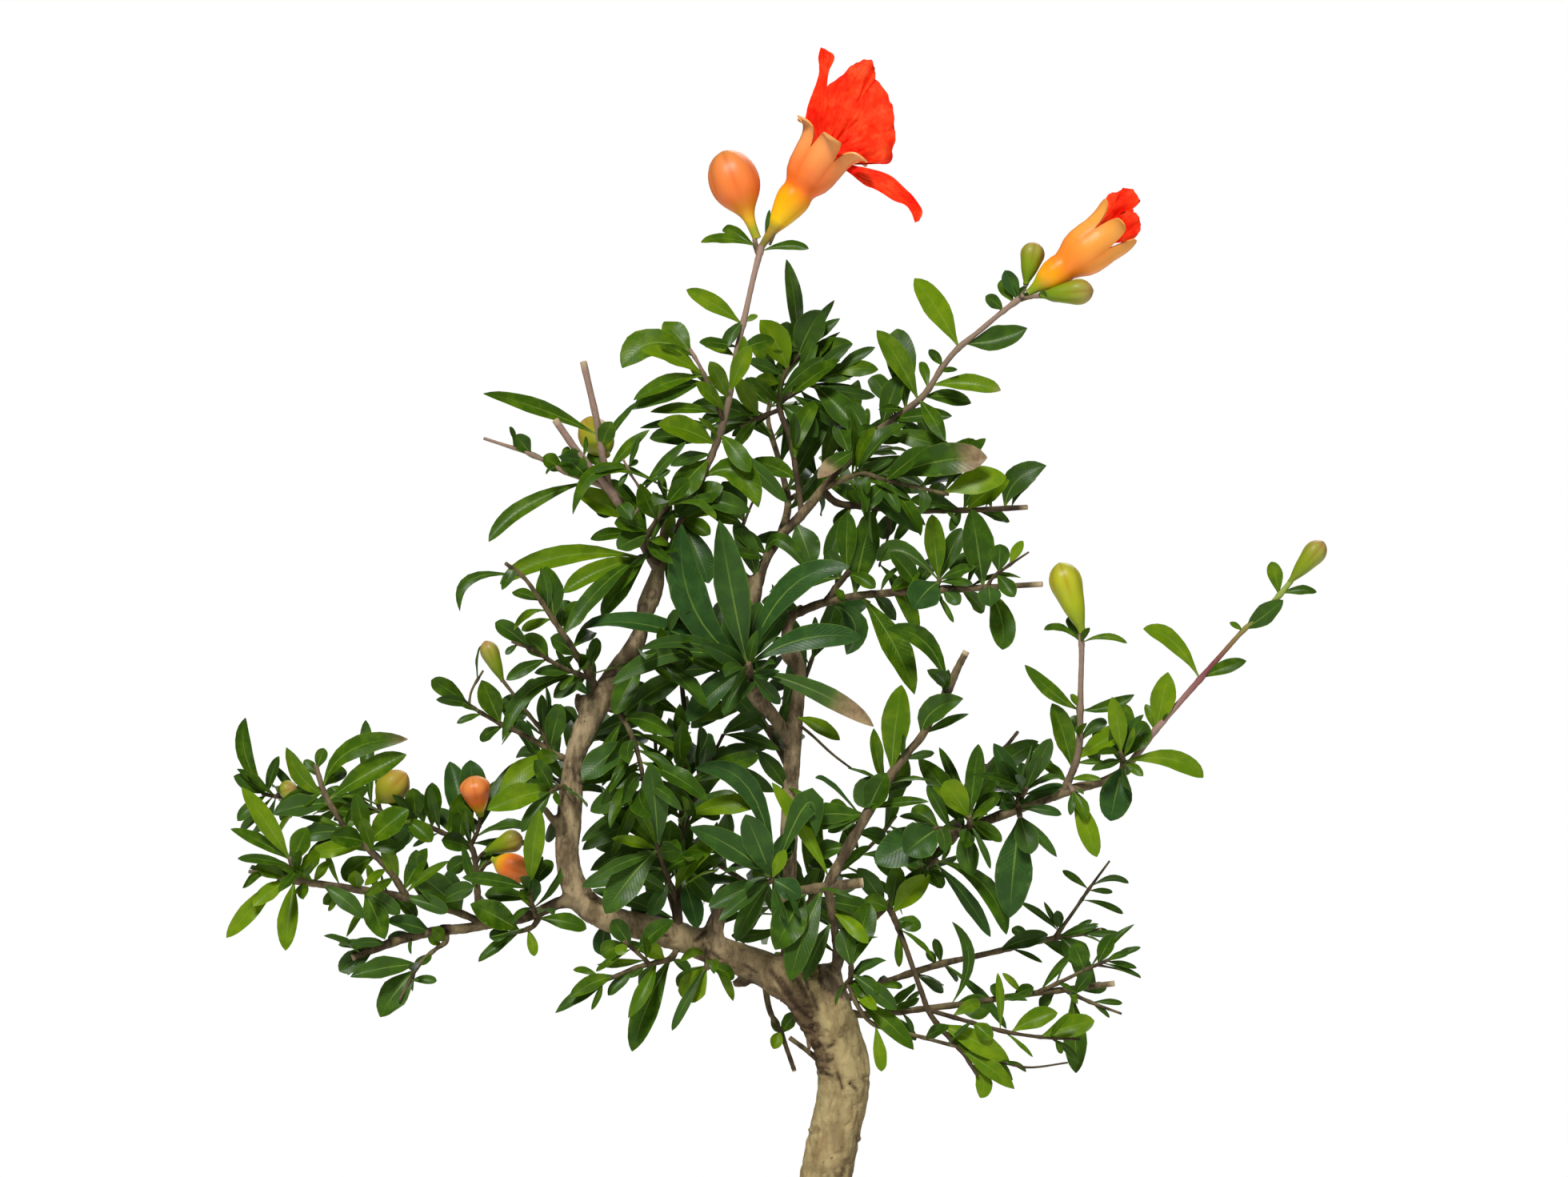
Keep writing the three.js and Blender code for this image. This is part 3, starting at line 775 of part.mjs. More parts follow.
function soilSolid(trunkHole) {
  const { halfLength: length, halfWidth: width, height, wall, floor, rimLip, rimHeight } = POT;
  const ring = (inset, level) => oval(length - inset - GAP, width - inset - GAP, level);
  const rings = [
    ring(wall + POT_FOOT.inset + 1, floor + GAP), ring(wall + rimLip + 10, height * 0.4),
    ring(wall + rimLip + 2.3, SOIL.edgeHeight - 1.4), ring(wall + rimLip + 3.3, SOIL.edgeHeight),
    oval(length * 0.55, width * 0.55, SOIL.edgeHeight + 3), oval(30, 26, SOIL.moundHeight - 0.8),
  ];
  const bottom = new THREE.Vector3(0, 0, floor + GAP);
  return solid(loft(rings, bottom, new THREE.Vector3(0, 0, SOIL.moundHeight))).subtract(trunkHole);
}

// ---- Leaves --------------------------------------------------------------------------------------

function nearestOnTwigs(twigs, [u, v]) {
  let best = { distance: Infinity };
  for (const twig of twigs) {
    for (let i = 1; i < twig.length; i += 1) {
      const [from, to] = [twig[i - 1], twig[i]];
      const [du, dv] = [to[0] - from[0], to[1] - from[1]];
      const along = ((u - from[0]) * du + (v - from[1]) * dv) / (du * du + dv * dv);
      const share = Math.min(Math.max(along, 0), i < twig.length - 1 ? 1 : LAST_NODE);
      const point = [0, 1, 2].map((k) => from[k] + (to[k] - from[k]) * share);
      const distance = Math.hypot(point[0] - u, point[1] - v);
      if (distance < best.distance) best = { distance, point };
    }
  }
  return best.point;
}

function listedLeaves(shoot, draw) {
  const leaves = shoot.leaves.map(([baseU, baseV, tipU, tipV, width, depthGain]) => {
    const base = nearestOnTwigs(shoot.twigs, [baseU, baseV]);
    const length = Math.hypot(tipU - base[0], tipV - base[1]);
    const lean = (draw() - 0.5) * 0.5 * length;
    return { base, tip: [tipU, tipV, base[2] + (depthGain ?? lean)], width, length };
  });
  return leaves.filter(({ length }) => length > LEAST_LEAF);
}

// Opposite pairs along each twig, each pair turned a quarter round from the last.
function fillLeaves(shoot, draw) {
  const leaves = [];
  if (!shoot.spacing) return leaves;
  for (const twig of shoot.twigs) {
    let turn = draw() * Math.PI;
    let wait = shoot.spacing * 1.2;
    for (let i = 1; i < twig.length; i += 1) {
      const [from, to] = [twig[i - 1], twig[i]].map((point) => new THREE.Vector3(...point));
      const along = to.clone().sub(from);
      const reach = along.length();
      along.normalize();
      const across = new THREE.Vector3(along.y, -along.x, 0.01).normalize();
      const rise = new THREE.Vector3().crossVectors(along, across);
      for (; wait < reach; wait += shoot.spacing) {
        turn += Math.PI / 2 + (draw() - 0.5) * 0.7;
        for (const side of [0, Math.PI]) {
          const length = FILL_LEAF.length * (0.62 + 0.5 * draw());
          const opening = FILL_LEAF.opening * (0.8 + 0.4 * draw());
          const heading = along.clone().multiplyScalar(Math.cos(opening))
            .addScaledVector(across, Math.sin(opening) * Math.cos(turn + side))
            .addScaledVector(rise, Math.sin(opening) * Math.sin(turn + side));
          heading.y += FILL_LEAF.droop;
          const base = from.clone().addScaledVector(along, wait);
          const tip = base.clone().addScaledVector(heading, length);
          leaves.push({ base: base.toArray(), tip: tip.toArray(), width: length * FILL_LEAF.width });
        }
      }
      wait -= reach;
    }
  }
  return leaves;
}

// The blade's frame: its base, its chord, and the normal of its upper face. A leaf drawn narrower
// than its true shape is turned part edge-on, with its upper face up.
function bladeFrame(leaf, swing) {
  const drawnLength = Math.hypot(...leaf.tip.map((value, k) => value - leaf.base[k]));
  const base = place(leaf.base);
  const tip = place([leaf.tip[0], leaf.tip[1], leaf.tip[2] + swing * drawnLength]);
  const chord = tip.clone().sub(base);
  const trueWidth = Math.max(leaf.width, SLENDEREST * drawnLength);
  const roll = Math.acos(leaf.width / trueWidth);
  const direction = chord.clone().normalize();
  const normal = FACING.clone().multiplyScalar(Math.cos(roll) + 0.05)
    .addScaledVector(UP, Math.sin(roll) + 0.35);
  normal.addScaledVector(direction, -normal.dot(direction)).normalize();
  const side = new THREE.Vector3().crossVectors(normal, direction);
  const arch = UP.clone().multiplyScalar(BLADE_ARCH.up).addScaledVector(FACING, BLADE_ARCH.forwards);
  arch.addScaledVector(direction, -arch.dot(direction)).multiplyScalar(chord.length());
  return { base, tip, chord, direction, normal, side, arch, halfWidth: (trueWidth * MM_PER_UNIT) / 2 };
}

function blade(leaf, swing, grow = 0) {
  const { base, tip, chord, direction, normal, side, arch, halfWidth } = bladeFrame(leaf, swing);
  const outline = chord.length() > LONG_LEAF * MM_PER_UNIT ? FULL_OUTLINE : PLAIN_OUTLINE;
  const rings = outline.map(([share, breadth]) => {
    const centre = base.clone().addScaledVector(chord, share)
      .addScaledVector(arch, 4 * share * (1 - share));
    const reach = halfWidth * breadth + grow * 2;
    return [
      centre.clone().addScaledVector(side, reach).addScaledVector(normal, grow),
      centre.clone().addScaledVector(side, -reach).addScaledVector(normal, grow),
      centre.clone().addScaledVector(normal, -KEEL_DEPTH - grow * 2),
    ];
  });
  return loft(rings, base, tip.clone().addScaledVector(direction, grow));
}

// ---- Flowers and buds ----------------------------------------------------------------------------

function axisFrame(baseRoute, tipRoute) {
  const base = place(baseRoute);
  const axis = place(tipRoute).sub(base);
  const length = axis.length();
  axis.normalize();
  const normal = new THREE.Vector3().crossVectors(axis, FACING).normalize();
  return { base, axis, length, normal, binormal: new THREE.Vector3().crossVectors(axis, normal) };
}

// Depth gained by what sits at this point of a shoot.
function slantOf(name, point) {
  return slanted(SHOOTS[name], point)[2] - point[2];
}

function budSolid(bud) {
  const gain = [0, 0, slantOf(bud.on, bud.base)];
  const [from, to] = [bud.base, bud.tip].map((point) => point.map((value, k) => value + gain[k]));
  const { base, axis, length, normal, binormal } = axisFrame(from, to);
  const rings = BUD_PROFILES[bud.profile].map(([share, breadth]) => {
    const centre = base.clone().addScaledVector(axis, length * share);
    return circle(centre, normal, binormal, bud.radius * breadth * MM_PER_UNIT, budSides(bud.radius));
  });
  return solid(loft(rings, base, base.clone().addScaledVector(axis, length)));
}

function flowerFrame(flower) {
  const base = slanted(SHOOTS[flower.on], flower.base);
  const tip = base.map((value, k) => value + flower.axis[k] * 100);
  return axisFrame(base, tip);
}

// The calyx cup: outside up to the notches, over the lobes, and down inside to the cup's floor.
function calyxSolid(flower) {
  const { base, axis, normal, binormal } = flowerFrame(flower);
  const sides = flower.lobes * 2;
  const ring = (reach, radius) => {
    const centre = base.clone().addScaledVector(axis, reach * MM_PER_UNIT);
    return circle(centre, normal, binormal, radius * MM_PER_UNIT, sides);
  };
  // Lobes at the odd sides, notches between them; each point is [reach, radius].
  const lobed = ([tipReach, tipRadius], [notchReach, notchRadius]) => {
    const notches = ring(notchReach, notchRadius);
    return ring(tipReach, tipRadius).map((point, side) => (side % 2 ? point : notches[side]));
  };
  const { lobeReach, lobeSpread, notchReach, wall } = flower;
  const [, mouth] = flower.profile.at(-1);
  const inner = mouth - wall;
  const bend = { reach: (lobeReach + notchReach) / 2, radius: lobeSpread * 0.86 };
  const rings = [
    ...flower.profile.map(([reach, radius]) => ring(reach, radius)),
    lobed([bend.reach, bend.radius], [notchReach, mouth]),
    lobed([lobeReach, lobeSpread], [notchReach + 1, mouth - 1.5]),
    lobed([lobeReach - 4, lobeSpread - 4], [notchReach, mouth - 3]),
    lobed([bend.reach, bend.radius - wall], [notchReach - 4, inner]),
    ring(flower.floor + 4, inner * 0.8),
  ];
  const floor = base.clone().addScaledVector(axis, flower.floor * MM_PER_UNIT);
  return solid(loft(rings, base, floor));
}

// A thin crinkled petal: two like sheets a petal's thickness apart, closed round the edge.
function petalSolid(flower, [u, v, depth, width, rise, turn], index) {
  const { base, axis } = flowerFrame(flower);
  const floor = base.clone().addScaledVector(axis, (flower.floor + 6) * MM_PER_UNIT);
  const tip = place([u, v, depth + slantOf(flower.on, flower.base)]);
  const outward = tip.clone().sub(floor);
  outward.addScaledVector(axis, -outward.dot(axis)).normalize();
  const root = floor.clone().addScaledVector(outward, PETAL.clawRing * MM_PER_UNIT);
  const bend = root.clone().addScaledVector(axis, rise * MM_PER_UNIT);
  const spine = new THREE.QuadraticBezierCurve3(root, bend, tip);
  const chord = tip.clone().sub(root).normalize();
  const face = new THREE.Vector3().crossVectors(FACING, chord).normalize().applyAxisAngle(chord, turn);
  const middle = PETAL_ROWS.flatMap(([share, breadth]) => {
    const centre = spine.getPoint(share);
    const thin = new THREE.Vector3().crossVectors(spine.getTangent(share), face).normalize();
    return Array.from({ length: PETAL.across + 1 }, (_, column) => {
      const across = (column / PETAL.across) * 2 - 1;
      const wave = Math.sin(across * 5 + index * 2 + share * 4) * PETAL.ruffle * share * share;
      const spot = centre.clone()
        .addScaledVector(thin, wave * MM_PER_UNIT)
        .addScaledVector(face, across * (width / 2) * breadth * MM_PER_UNIT);
      return { spot, thin };
    });
  });
  return sheetSolid(middle, PETAL.across + 1);
}

function sheetSolid(middle, rowLength) {
  const half = PETAL.thickness / 2;
  const face = (shift) => middle.map(({ spot, thin }) => spot.clone().addScaledVector(thin, shift));
  const count = middle.length;
  const rows = count / rowLength;
  const index = [];
  const quad = (a, b, c, d) => index.push(a, b, c, a, c, d);
  for (let row = 0; row < rows - 1; row += 1) {
    for (let column = 0; column < rowLength - 1; column += 1) {
      const a = row * rowLength + column;
      const [b, c, d] = [a + 1, a + rowLength + 1, a + rowLength];
      quad(a, b, c, d);
      index.push(count + a, count + c, count + b, count + a, count + d, count + c);
    }
  }
  const wall = (a, b) => quad(a, count + a, count + b, b);
  for (let column = 0; column < rowLength - 1; column += 1) {
    wall(column, column + 1);
    wall(count - column - 1, count - column - 2);
  }
  for (let row = 0; row < rows - 1; row += 1) {
    wall((row + 1) * rowLength, row * rowLength);
    wall((row + 1) * rowLength - 1, (row + 2) * rowLength - 1);
  }
  const geometry = new THREE.BufferGeometry();
  const positions = [...face(half), ...face(-half)].flatMap((vertex) => vertex.toArray());
  geometry.setAttribute('position', new THREE.Float32BufferAttribute(positions, 3));
  geometry.setIndex(index);
  const sheet = solid(geometry);
  return sheet.volume() > 0 ? sheet : solid(flipped(geometry));
}

function flipped(geometry) {
  const index = Array.from(geometry.index.array);
  for (let i = 0; i < index.length; i += 3) [index[i], index[i + 1]] = [index[i + 1], index[i]];
  geometry.setIndex(index);
  return geometry;
}

// The petals' common ring stands on the cup's floor and holds their claws.
function petalsSolid(flower, petals, holeRadius) {
  const { base, axis, normal, binormal } = flowerFrame(flower);
  const at = (height) => base.clone().addScaledVector(axis, (flower.floor + height) * MM_PER_UNIT);
  const column = (from, to, radius) => {
    const rings = [from, to].map((height) => circle(
      at(height), normal, binormal, radius * MM_PER_UNIT, CLAW_RING.sides,
    ));
    return solid(loft(rings, at(from), at(to)));
  };
  const ring = column(CLAW_RING.from, CLAW_RING.to, CLAW_RING.radius);
  const bunch = petals.map((petal, index) => petalSolid(flower, petal, index));
  const joined = manifold.Manifold.union([ring, ...bunch]);
  return holeRadius ? joined.subtract(column(0, STAMENS.reach + 4, holeRadius)) : joined;
}

function stamensSolid(flower) {
  const { base, axis, normal, binormal } = flowerFrame(flower);
  const at = (height) => base.clone().addScaledVector(axis, (flower.floor + height) * MM_PER_UNIT);
  const filament = (from, to) => {
    const way = to.clone().sub(from).normalize();
    const across = new THREE.Vector3().crossVectors(way, normal).normalize();
    const other = new THREE.Vector3().crossVectors(way, across);
    const neck = to.clone().addScaledVector(way, -STAMENS.anther * 2);
    const rings = [[from, STAMENS.radius], [neck, STAMENS.radius], [to, STAMENS.anther]]
      .map(([centre, radius]) => circle(centre, across, other, radius, 3));
    return solid(loft(rings, from, to.clone().addScaledVector(way, STAMENS.anther)));
  };
  const { foot, top, radius } = STAMENS.column;
  const columnRings = [foot, top].map((height) => circle(at(height), normal, binormal, radius, 6));
  const filaments = Array.from({ length: STAMENS.filaments }, (_, i) => {
    const angle = (i / STAMENS.filaments) * Math.PI * 2;
    const outward = normal.clone().multiplyScalar(Math.cos(angle))
      .addScaledVector(binormal, Math.sin(angle));
    const end = at(STAMENS.reach - (i % 3) * 5).addScaledVector(outward, STAMENS.spread);
    return filament(at(top - 4), end);
  });
  return manifold.Manifold.union([solid(loft(columnRings, at(foot), at(top + 4))), ...filaments]);
}

// ---- Assembly ------------------------------------------------------------------------------------

const woodParts = Object.entries(WOOD).map(([name, route]) => ({ route, sides: WOOD_SIDES[name] ?? 5 }));
const woodSolid = manifold.Manifold.union(woodParts.map(({ route, sides }) => solid(tube(route, sides))));

// Everything placed so far, so that what comes later keeps clear of it.
const obstacles = [];
function remember(owner, body) {
  obstacles.push({ owner, body, box: body.boundingBox() });
}
for (const { route, sides } of woodParts) remember('trunk', solid(tube(route, sides)));

// Twigs first: each shoot's root stops a gap short of the wood or twig that bears it.
const fatWood = woodParts.map(({ route, sides }) => solid(tube(route, sides, GAP)));
const shoots = Object.entries(SHOOTS).map(([name, drawn], index) => {
  const routes = drawn.twigs.map((route) => route.map((point) => slanted(drawn, point)));
  const shoot = { ...drawn, twigs: routes };
  const grown = manifold.Manifold.union(routes.map((route) => solid(tube(route, twigSides(route)))));
  const twigs = largestPiece(grown.subtract(manifold.Manifold.union(fatWood)));
  fatWood.push(...routes.map((route) => solid(tube(route, twigSides(route), GAP))));
  remember(name, twigs);
  const draw = seededDraw(101 + index * 37);
  const listed = listedLeaves(shoot, draw);
  return { name, shoot, twigs, listed, filled: fillLeaves(shoot, draw), blades: [] };
});

const fatTwigs = manifold.Manifold.union(fatWood);
const blooms = [
  ...Object.entries(BUDS).map(([name, bud]) => [name, budSolid(bud), COLOURS[bud.colour]]),
  ['flower_open_calyx', calyxSolid(OPEN_FLOWER), COLOURS.calyx],
  ['flower_open_petals', petalsSolid(OPEN_FLOWER, OPEN_PETALS, STAMEN_HOLE), COLOURS.petal],
  ['flower_open_stamens', stamensSolid(OPEN_FLOWER), COLOURS.stamen],
  ['flower_half_calyx', calyxSolid(HALF_FLOWER), COLOURS.halfCalyx],
  ['flower_half_petals', petalsSolid(HALF_FLOWER, HALF_PETALS, 0), COLOURS.petal],
].map(([name, body, colour]) => ({ name, body: largestPiece(body.subtract(fatTwigs)), colour }));
for (const { name, body } of blooms) remember(name, body);

// A blade that would touch another node swings forwards or back, and is left out if none is clear.
// Of the clear ones, it takes the first that doesn't cross its own shoot's blades.
function growLeaf(shoot, leaf) {
  let crossing = null;
  for (const swing of SWINGS) {
    const fat = solid(blade(leaf, swing, GAP));
    const box = fat.boundingBox();
    const blocked = obstacles.some((other) => other.owner !== shoot.name && boxesMeet(box, other.box)
      && !fat.intersect(other.body).isEmpty());
    if (blocked) continue;
    const grown = solid(blade(leaf, swing));
    const most = CROSSING * grown.volume();
    if (shoot.blades.every((other) => grown.intersect(other).volume() < most)) return grown;
    crossing ??= grown;
  }
  return crossing;
}
for (const stage of ['listed', 'filled']) {
  for (const shoot of shoots) {
    for (const leaf of shoot[stage]) {
      const grown = growLeaf(shoot, leaf);
      if (!grown) continue;
      shoot.blades.push(grown);
      remember(shoot.name, grown);
    }
  }
}

const soilHole = solid(tube(WOOD.trunk, WOOD_SIDES.trunk, GAP));
const tree = new THREE.Group();
tree.add(named('pot', potSolid(), COLOURS.pot, 0.6));
tree.add(named('soil', soilSolid(soilHole), COLOURS.soil, 1));
tree.add(named('trunk', woodSolid, COLOURS.bark, 0.9));
for (const { name, shoot, twigs, blades } of shoots) {
  const body = largestPiece(manifold.Manifold.union([twigs, ...blades]));
  tree.add(named(`shoot_${name}`, body, COLOURS[shoot.tone], 0.5));
}
for (const { name, body, colour } of blooms) tree.add(named(name, body, colour, 0.5));

export default tree;
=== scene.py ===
"""A dwarf pomegranate grown as a bonsai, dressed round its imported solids.

Metres, +Z up, and the tree's front faces -Y. The solids' shoots, flowers, wood, soil and pot are
replaced by finer pieces that follow the same routes. Tables are in the drawing units of a front
elevation: u runs right, v runs down, and depth comes towards the viewer.
"""
import math
import random

import bmesh
import bpy
import numpy as np
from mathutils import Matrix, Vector, noise
from mathutils.bvhtree import BVHTree
from mathutils.kdtree import KDTree


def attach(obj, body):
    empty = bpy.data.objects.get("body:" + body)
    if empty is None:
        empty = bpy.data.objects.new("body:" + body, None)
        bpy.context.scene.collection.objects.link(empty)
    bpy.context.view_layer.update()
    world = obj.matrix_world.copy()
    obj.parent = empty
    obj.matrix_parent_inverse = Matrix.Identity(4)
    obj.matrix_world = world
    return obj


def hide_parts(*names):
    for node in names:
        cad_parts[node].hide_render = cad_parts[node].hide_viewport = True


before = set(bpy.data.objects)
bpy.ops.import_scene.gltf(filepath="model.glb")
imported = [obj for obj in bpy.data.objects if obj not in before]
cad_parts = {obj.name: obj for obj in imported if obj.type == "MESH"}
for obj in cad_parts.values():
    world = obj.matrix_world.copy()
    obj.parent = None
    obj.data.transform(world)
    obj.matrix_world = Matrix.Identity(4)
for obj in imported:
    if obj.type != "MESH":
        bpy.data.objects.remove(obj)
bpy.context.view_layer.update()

# ---- Driving dimensions --------------------------------------------------------------------------

# One drawing unit in metres, and the width of the elevation in these units.
UNIT = 0.00022
ELEVATION_WIDTH = 1960
# The eye looks straight at this point of the elevation, from this height and distance in metres.
EYE_U, EYE_V = 980, 735.5
EYE_HEIGHT, EYE_DISTANCE = 0.2612, 1.5
# How far each part of the crown leans towards the viewer, per unit beyond the given line.
LEAN_LEFT, LEAN_LEFT_FROM = 0.16, 960
LEAN_RIGHT, LEAN_RIGHT_FROM = -0.1, 1040
LEAN_TOP, LEAN_TOP_FROM = -0.08, 900

# The solids' rule for their leaves. A "spread" is the most that a seeded draw adds, and ranges here
# and below are (least, most).
SEED_START, SEED_STEP = 101, 37
SLENDEREST = 0.15
LAST_NODE = 0.8
LISTED_LEAN = 0.5
SWINGS = (0, 0.22, -0.22, 0.44, -0.44, 0.66, -0.66, 0.88, -0.88)
SAME_TIP = 0.00004
FACE_FORWARDS, FACE_UP = 0.05, 0.35
FILL_LEAF = {"length": 96, "least_length": 0.62, "length_spread": 0.5, "width": 0.3, "opening": 0.95,
             "least_opening": 0.8, "opening_spread": 0.4, "droop": 0.12, "first": 1.2,
             "turn_spread": 0.7, "roll": 0.9}

# The leaves that only this scene has along the twigs: lengths as shares of the shoot's mean.
SMALL_LEAF = {"first": 0.05, "lengths": (0.55, 1.3), "openings": (0.45, 1.2), "droops": (0, 0.35),
              "widths": (0.17, 0.3), "roll": 0.6}

# Fine blades: stations along the leaf, and columns across each face. The widths at OUTLINE_AT are
# shares of the leaf's greatest width.
STATIONS = np.array([0, 0.035, 0.09, 0.17, 0.27, 0.38, 0.5, 0.61, 0.71, 0.8, 0.88, 0.945, 0.985, 1])
COLUMNS = 7
OUTLINE_AT = (0, 0.05, 0.14, 0.28, 0.45, 0.6, 0.76, 0.88, 0.96, 1)
BLUNT = (0.08, 0.10, 0.20, 0.46, 0.78, 0.97, 1, 0.84, 0.54, 0.04)
POINTED = (0.08, 0.10, 0.26, 0.64, 0.96, 1, 0.80, 0.50, 0.20, 0.02)
# Blades arch by these shares of their length, which is less than the solids' do.
ARCH_UP, ARCH_FORWARDS = 0.05, 0.05
BLADE_THICKNESS, MIDRIB_THICKNESS = 0.00028, 0.00022
# How blades differ: those that are listed, with a place in the photograph, and those set by rule.
LISTED_HABIT = {"curls": (-0.02, 0.05), "bends": (-0.02, 0.02), "tone_spread": 0.08}
RULE_HABIT = {"curls": (0.02, 0.22), "bends": (-0.09, 0.09), "tone_spread": 0.14}
LONG_LEAF = 60
BLADE_HABIT = {"twists": (-0.5, 0.5), "untwisted": 0.25, "long_points": (0.4, 1),
               "short_points": (0.15, 0.8), "folds": (0.08, 0.42), "fold_power": 1.4,
               "ripples": (1.4, 2.8), "wave": 0.13, "wave_lag": 1.3, "dry_fade": 0.16}

POT = {"half_length": 0.112, "half_width": 0.084, "height": 0.062, "wall": 0.006, "floor": 0.008,
       "lip": 0.005, "rim": 0.009, "foot_inset": 0.026, "foot_height": 0.004}
DRAIN_RADIUS, DRAIN_OFFSET = 0.006, 0.045

# ---- Wood: routes of (u, v, depth, radius), all in drawing units ---------------------------------

WOOD = {
    "trunk": [
        (992, 1745, 0, 40), (993, 1690, 0, 48), (997, 1655, 0, 46), (1003, 1620, 0, 39),
        (1012, 1570, 0, 35), (1023, 1520, 0, 33.5), (1032, 1471, 0, 33.5), (1041, 1425, 0, 33),
        (1050, 1385, 0, 32), (1054, 1345, 0, 33), (1049, 1312, 0, 33), (1037, 1278, 0, 35),
        (1022, 1248, 0, 38), (1008, 1222, 0, 34),
    ],
    "right_shoulder": [
        (1026, 1250, 0, 30), (1034, 1222, -2, 20), (1034, 1204, -4, 13),
    ],
    "left_limb": [
        (1020, 1248, 0, 30), (985, 1226, 2, 26), (945, 1206, 6, 22), (905, 1192, 10, 20),
        (862, 1175, 14, 19), (810, 1160, 18, 17.5), (768, 1150, 20, 17), (738, 1134, 20, 18),
        (718, 1108, 20, 16.5), (709, 1070, 20, 15), (711, 1030, 18, 16), (714, 985, 15, 15),
        (719, 945, 11, 13), (731, 912, 7, 15), (748, 878, 3, 16.5), (768, 845, -1, 14),
        (795, 805, -5, 12), (803, 778, -7, 9.5), (810, 755, -8, 13), (818, 733, -8, 12.5),
        (824, 705, -8, 7.5), (829, 675, -8, 6.8), (834, 650, -8, 6.4), (835, 626, -8, 6.4),
    ],
    "left_stub": [
        (742, 902, 5, 10), (728, 882, 6, 9.5), (726, 868, 6, 7.5),
    ],
    "limb_spur": [
        (890, 1188, 10, 15), (893, 1160, 16, 12), (902, 1135, 20, 9), (908, 1118, 22, 7),
    ],
    "limb_heel": [
        (945, 1212, 4, 9), (930, 1226, -2, 8), (916, 1230, -6, 5),
    ],
    "side_stub": [
        (706, 1038, 18, 6), (692, 1026, 22, 5.4), (679, 1008, 24, 4.6),
    ],
    "left_branch": [
        (722, 1128, 20, 9), (700, 1128, 18, 8), (678, 1138, 14, 7.6), (650, 1148, 12, 7),
        (607, 1156, 10, 6.6), (575, 1161, 10, 7), (550, 1162, 10, 7.6),
    ],
    "central_stem": [
        (1008, 1232, -2, 24), (993, 1190, -4, 17), (985, 1140, -8, 12.5), (985, 1080, -12, 11.5),
        (987, 1020, -14, 11.2), (989, 965, -15, 11.2), (993, 915, -16, 10.4), (998, 865, -18, 9),
        (999, 835, -20, 8.6), (988, 816, -20, 13), (984, 790, -20, 7.5), (989, 770, -20, 7.5),
        (1006, 760, -20, 6.8),
    ],
    "leader": [
        (990, 930, -15, 9), (968, 897, 0, 8.6), (944, 868, 16, 11), (932, 838, 20, 9), (932, 800, 16, 8),
        (941, 765, 8, 8), (945, 735, 2, 9), (956, 702, 0, 7), (975, 672, 0, 6.6), (1003, 642, 0, 6.8),
        (1028, 612, 0, 6.2), (1050, 585, -2, 5.2),
    ],
    "leader_fork": [
        (945, 738, 2, 6), (925, 712, -10, 5), (913, 694, -18, 4.4),
    ],
    "right_long": [
        (1036, 1228, 0, 10), (1056, 1186, -2, 6.2), (1078, 1162, -3, 5.4), (1106, 1134, -3, 5.4),
        (1135, 1104, -2, 5.2), (1166, 1072, 0, 5.4), (1193, 1044, 3, 6), (1218, 1032, 5, 6.4),
        (1250, 1019, 7, 7), (1284, 1006, 8, 7.6), (1320, 993, 9, 7.4), (1350, 984, 11, 7),
        (1378, 977, 13, 6.2), (1402, 966, 14, 7), (1411, 955, 14, 5.6),
    ],
}

# ---- Leafy shoots --------------------------------------------------------------------------------
# twigs: routes of (u, v, depth, radius). leaves: (base u, base v, tip u, tip v, width seen from the
# front, depth gained towards the tip). spacing: between the opposite pairs that fill the twigs.
# slant: depth gained per unit of distance from the shoot's root.

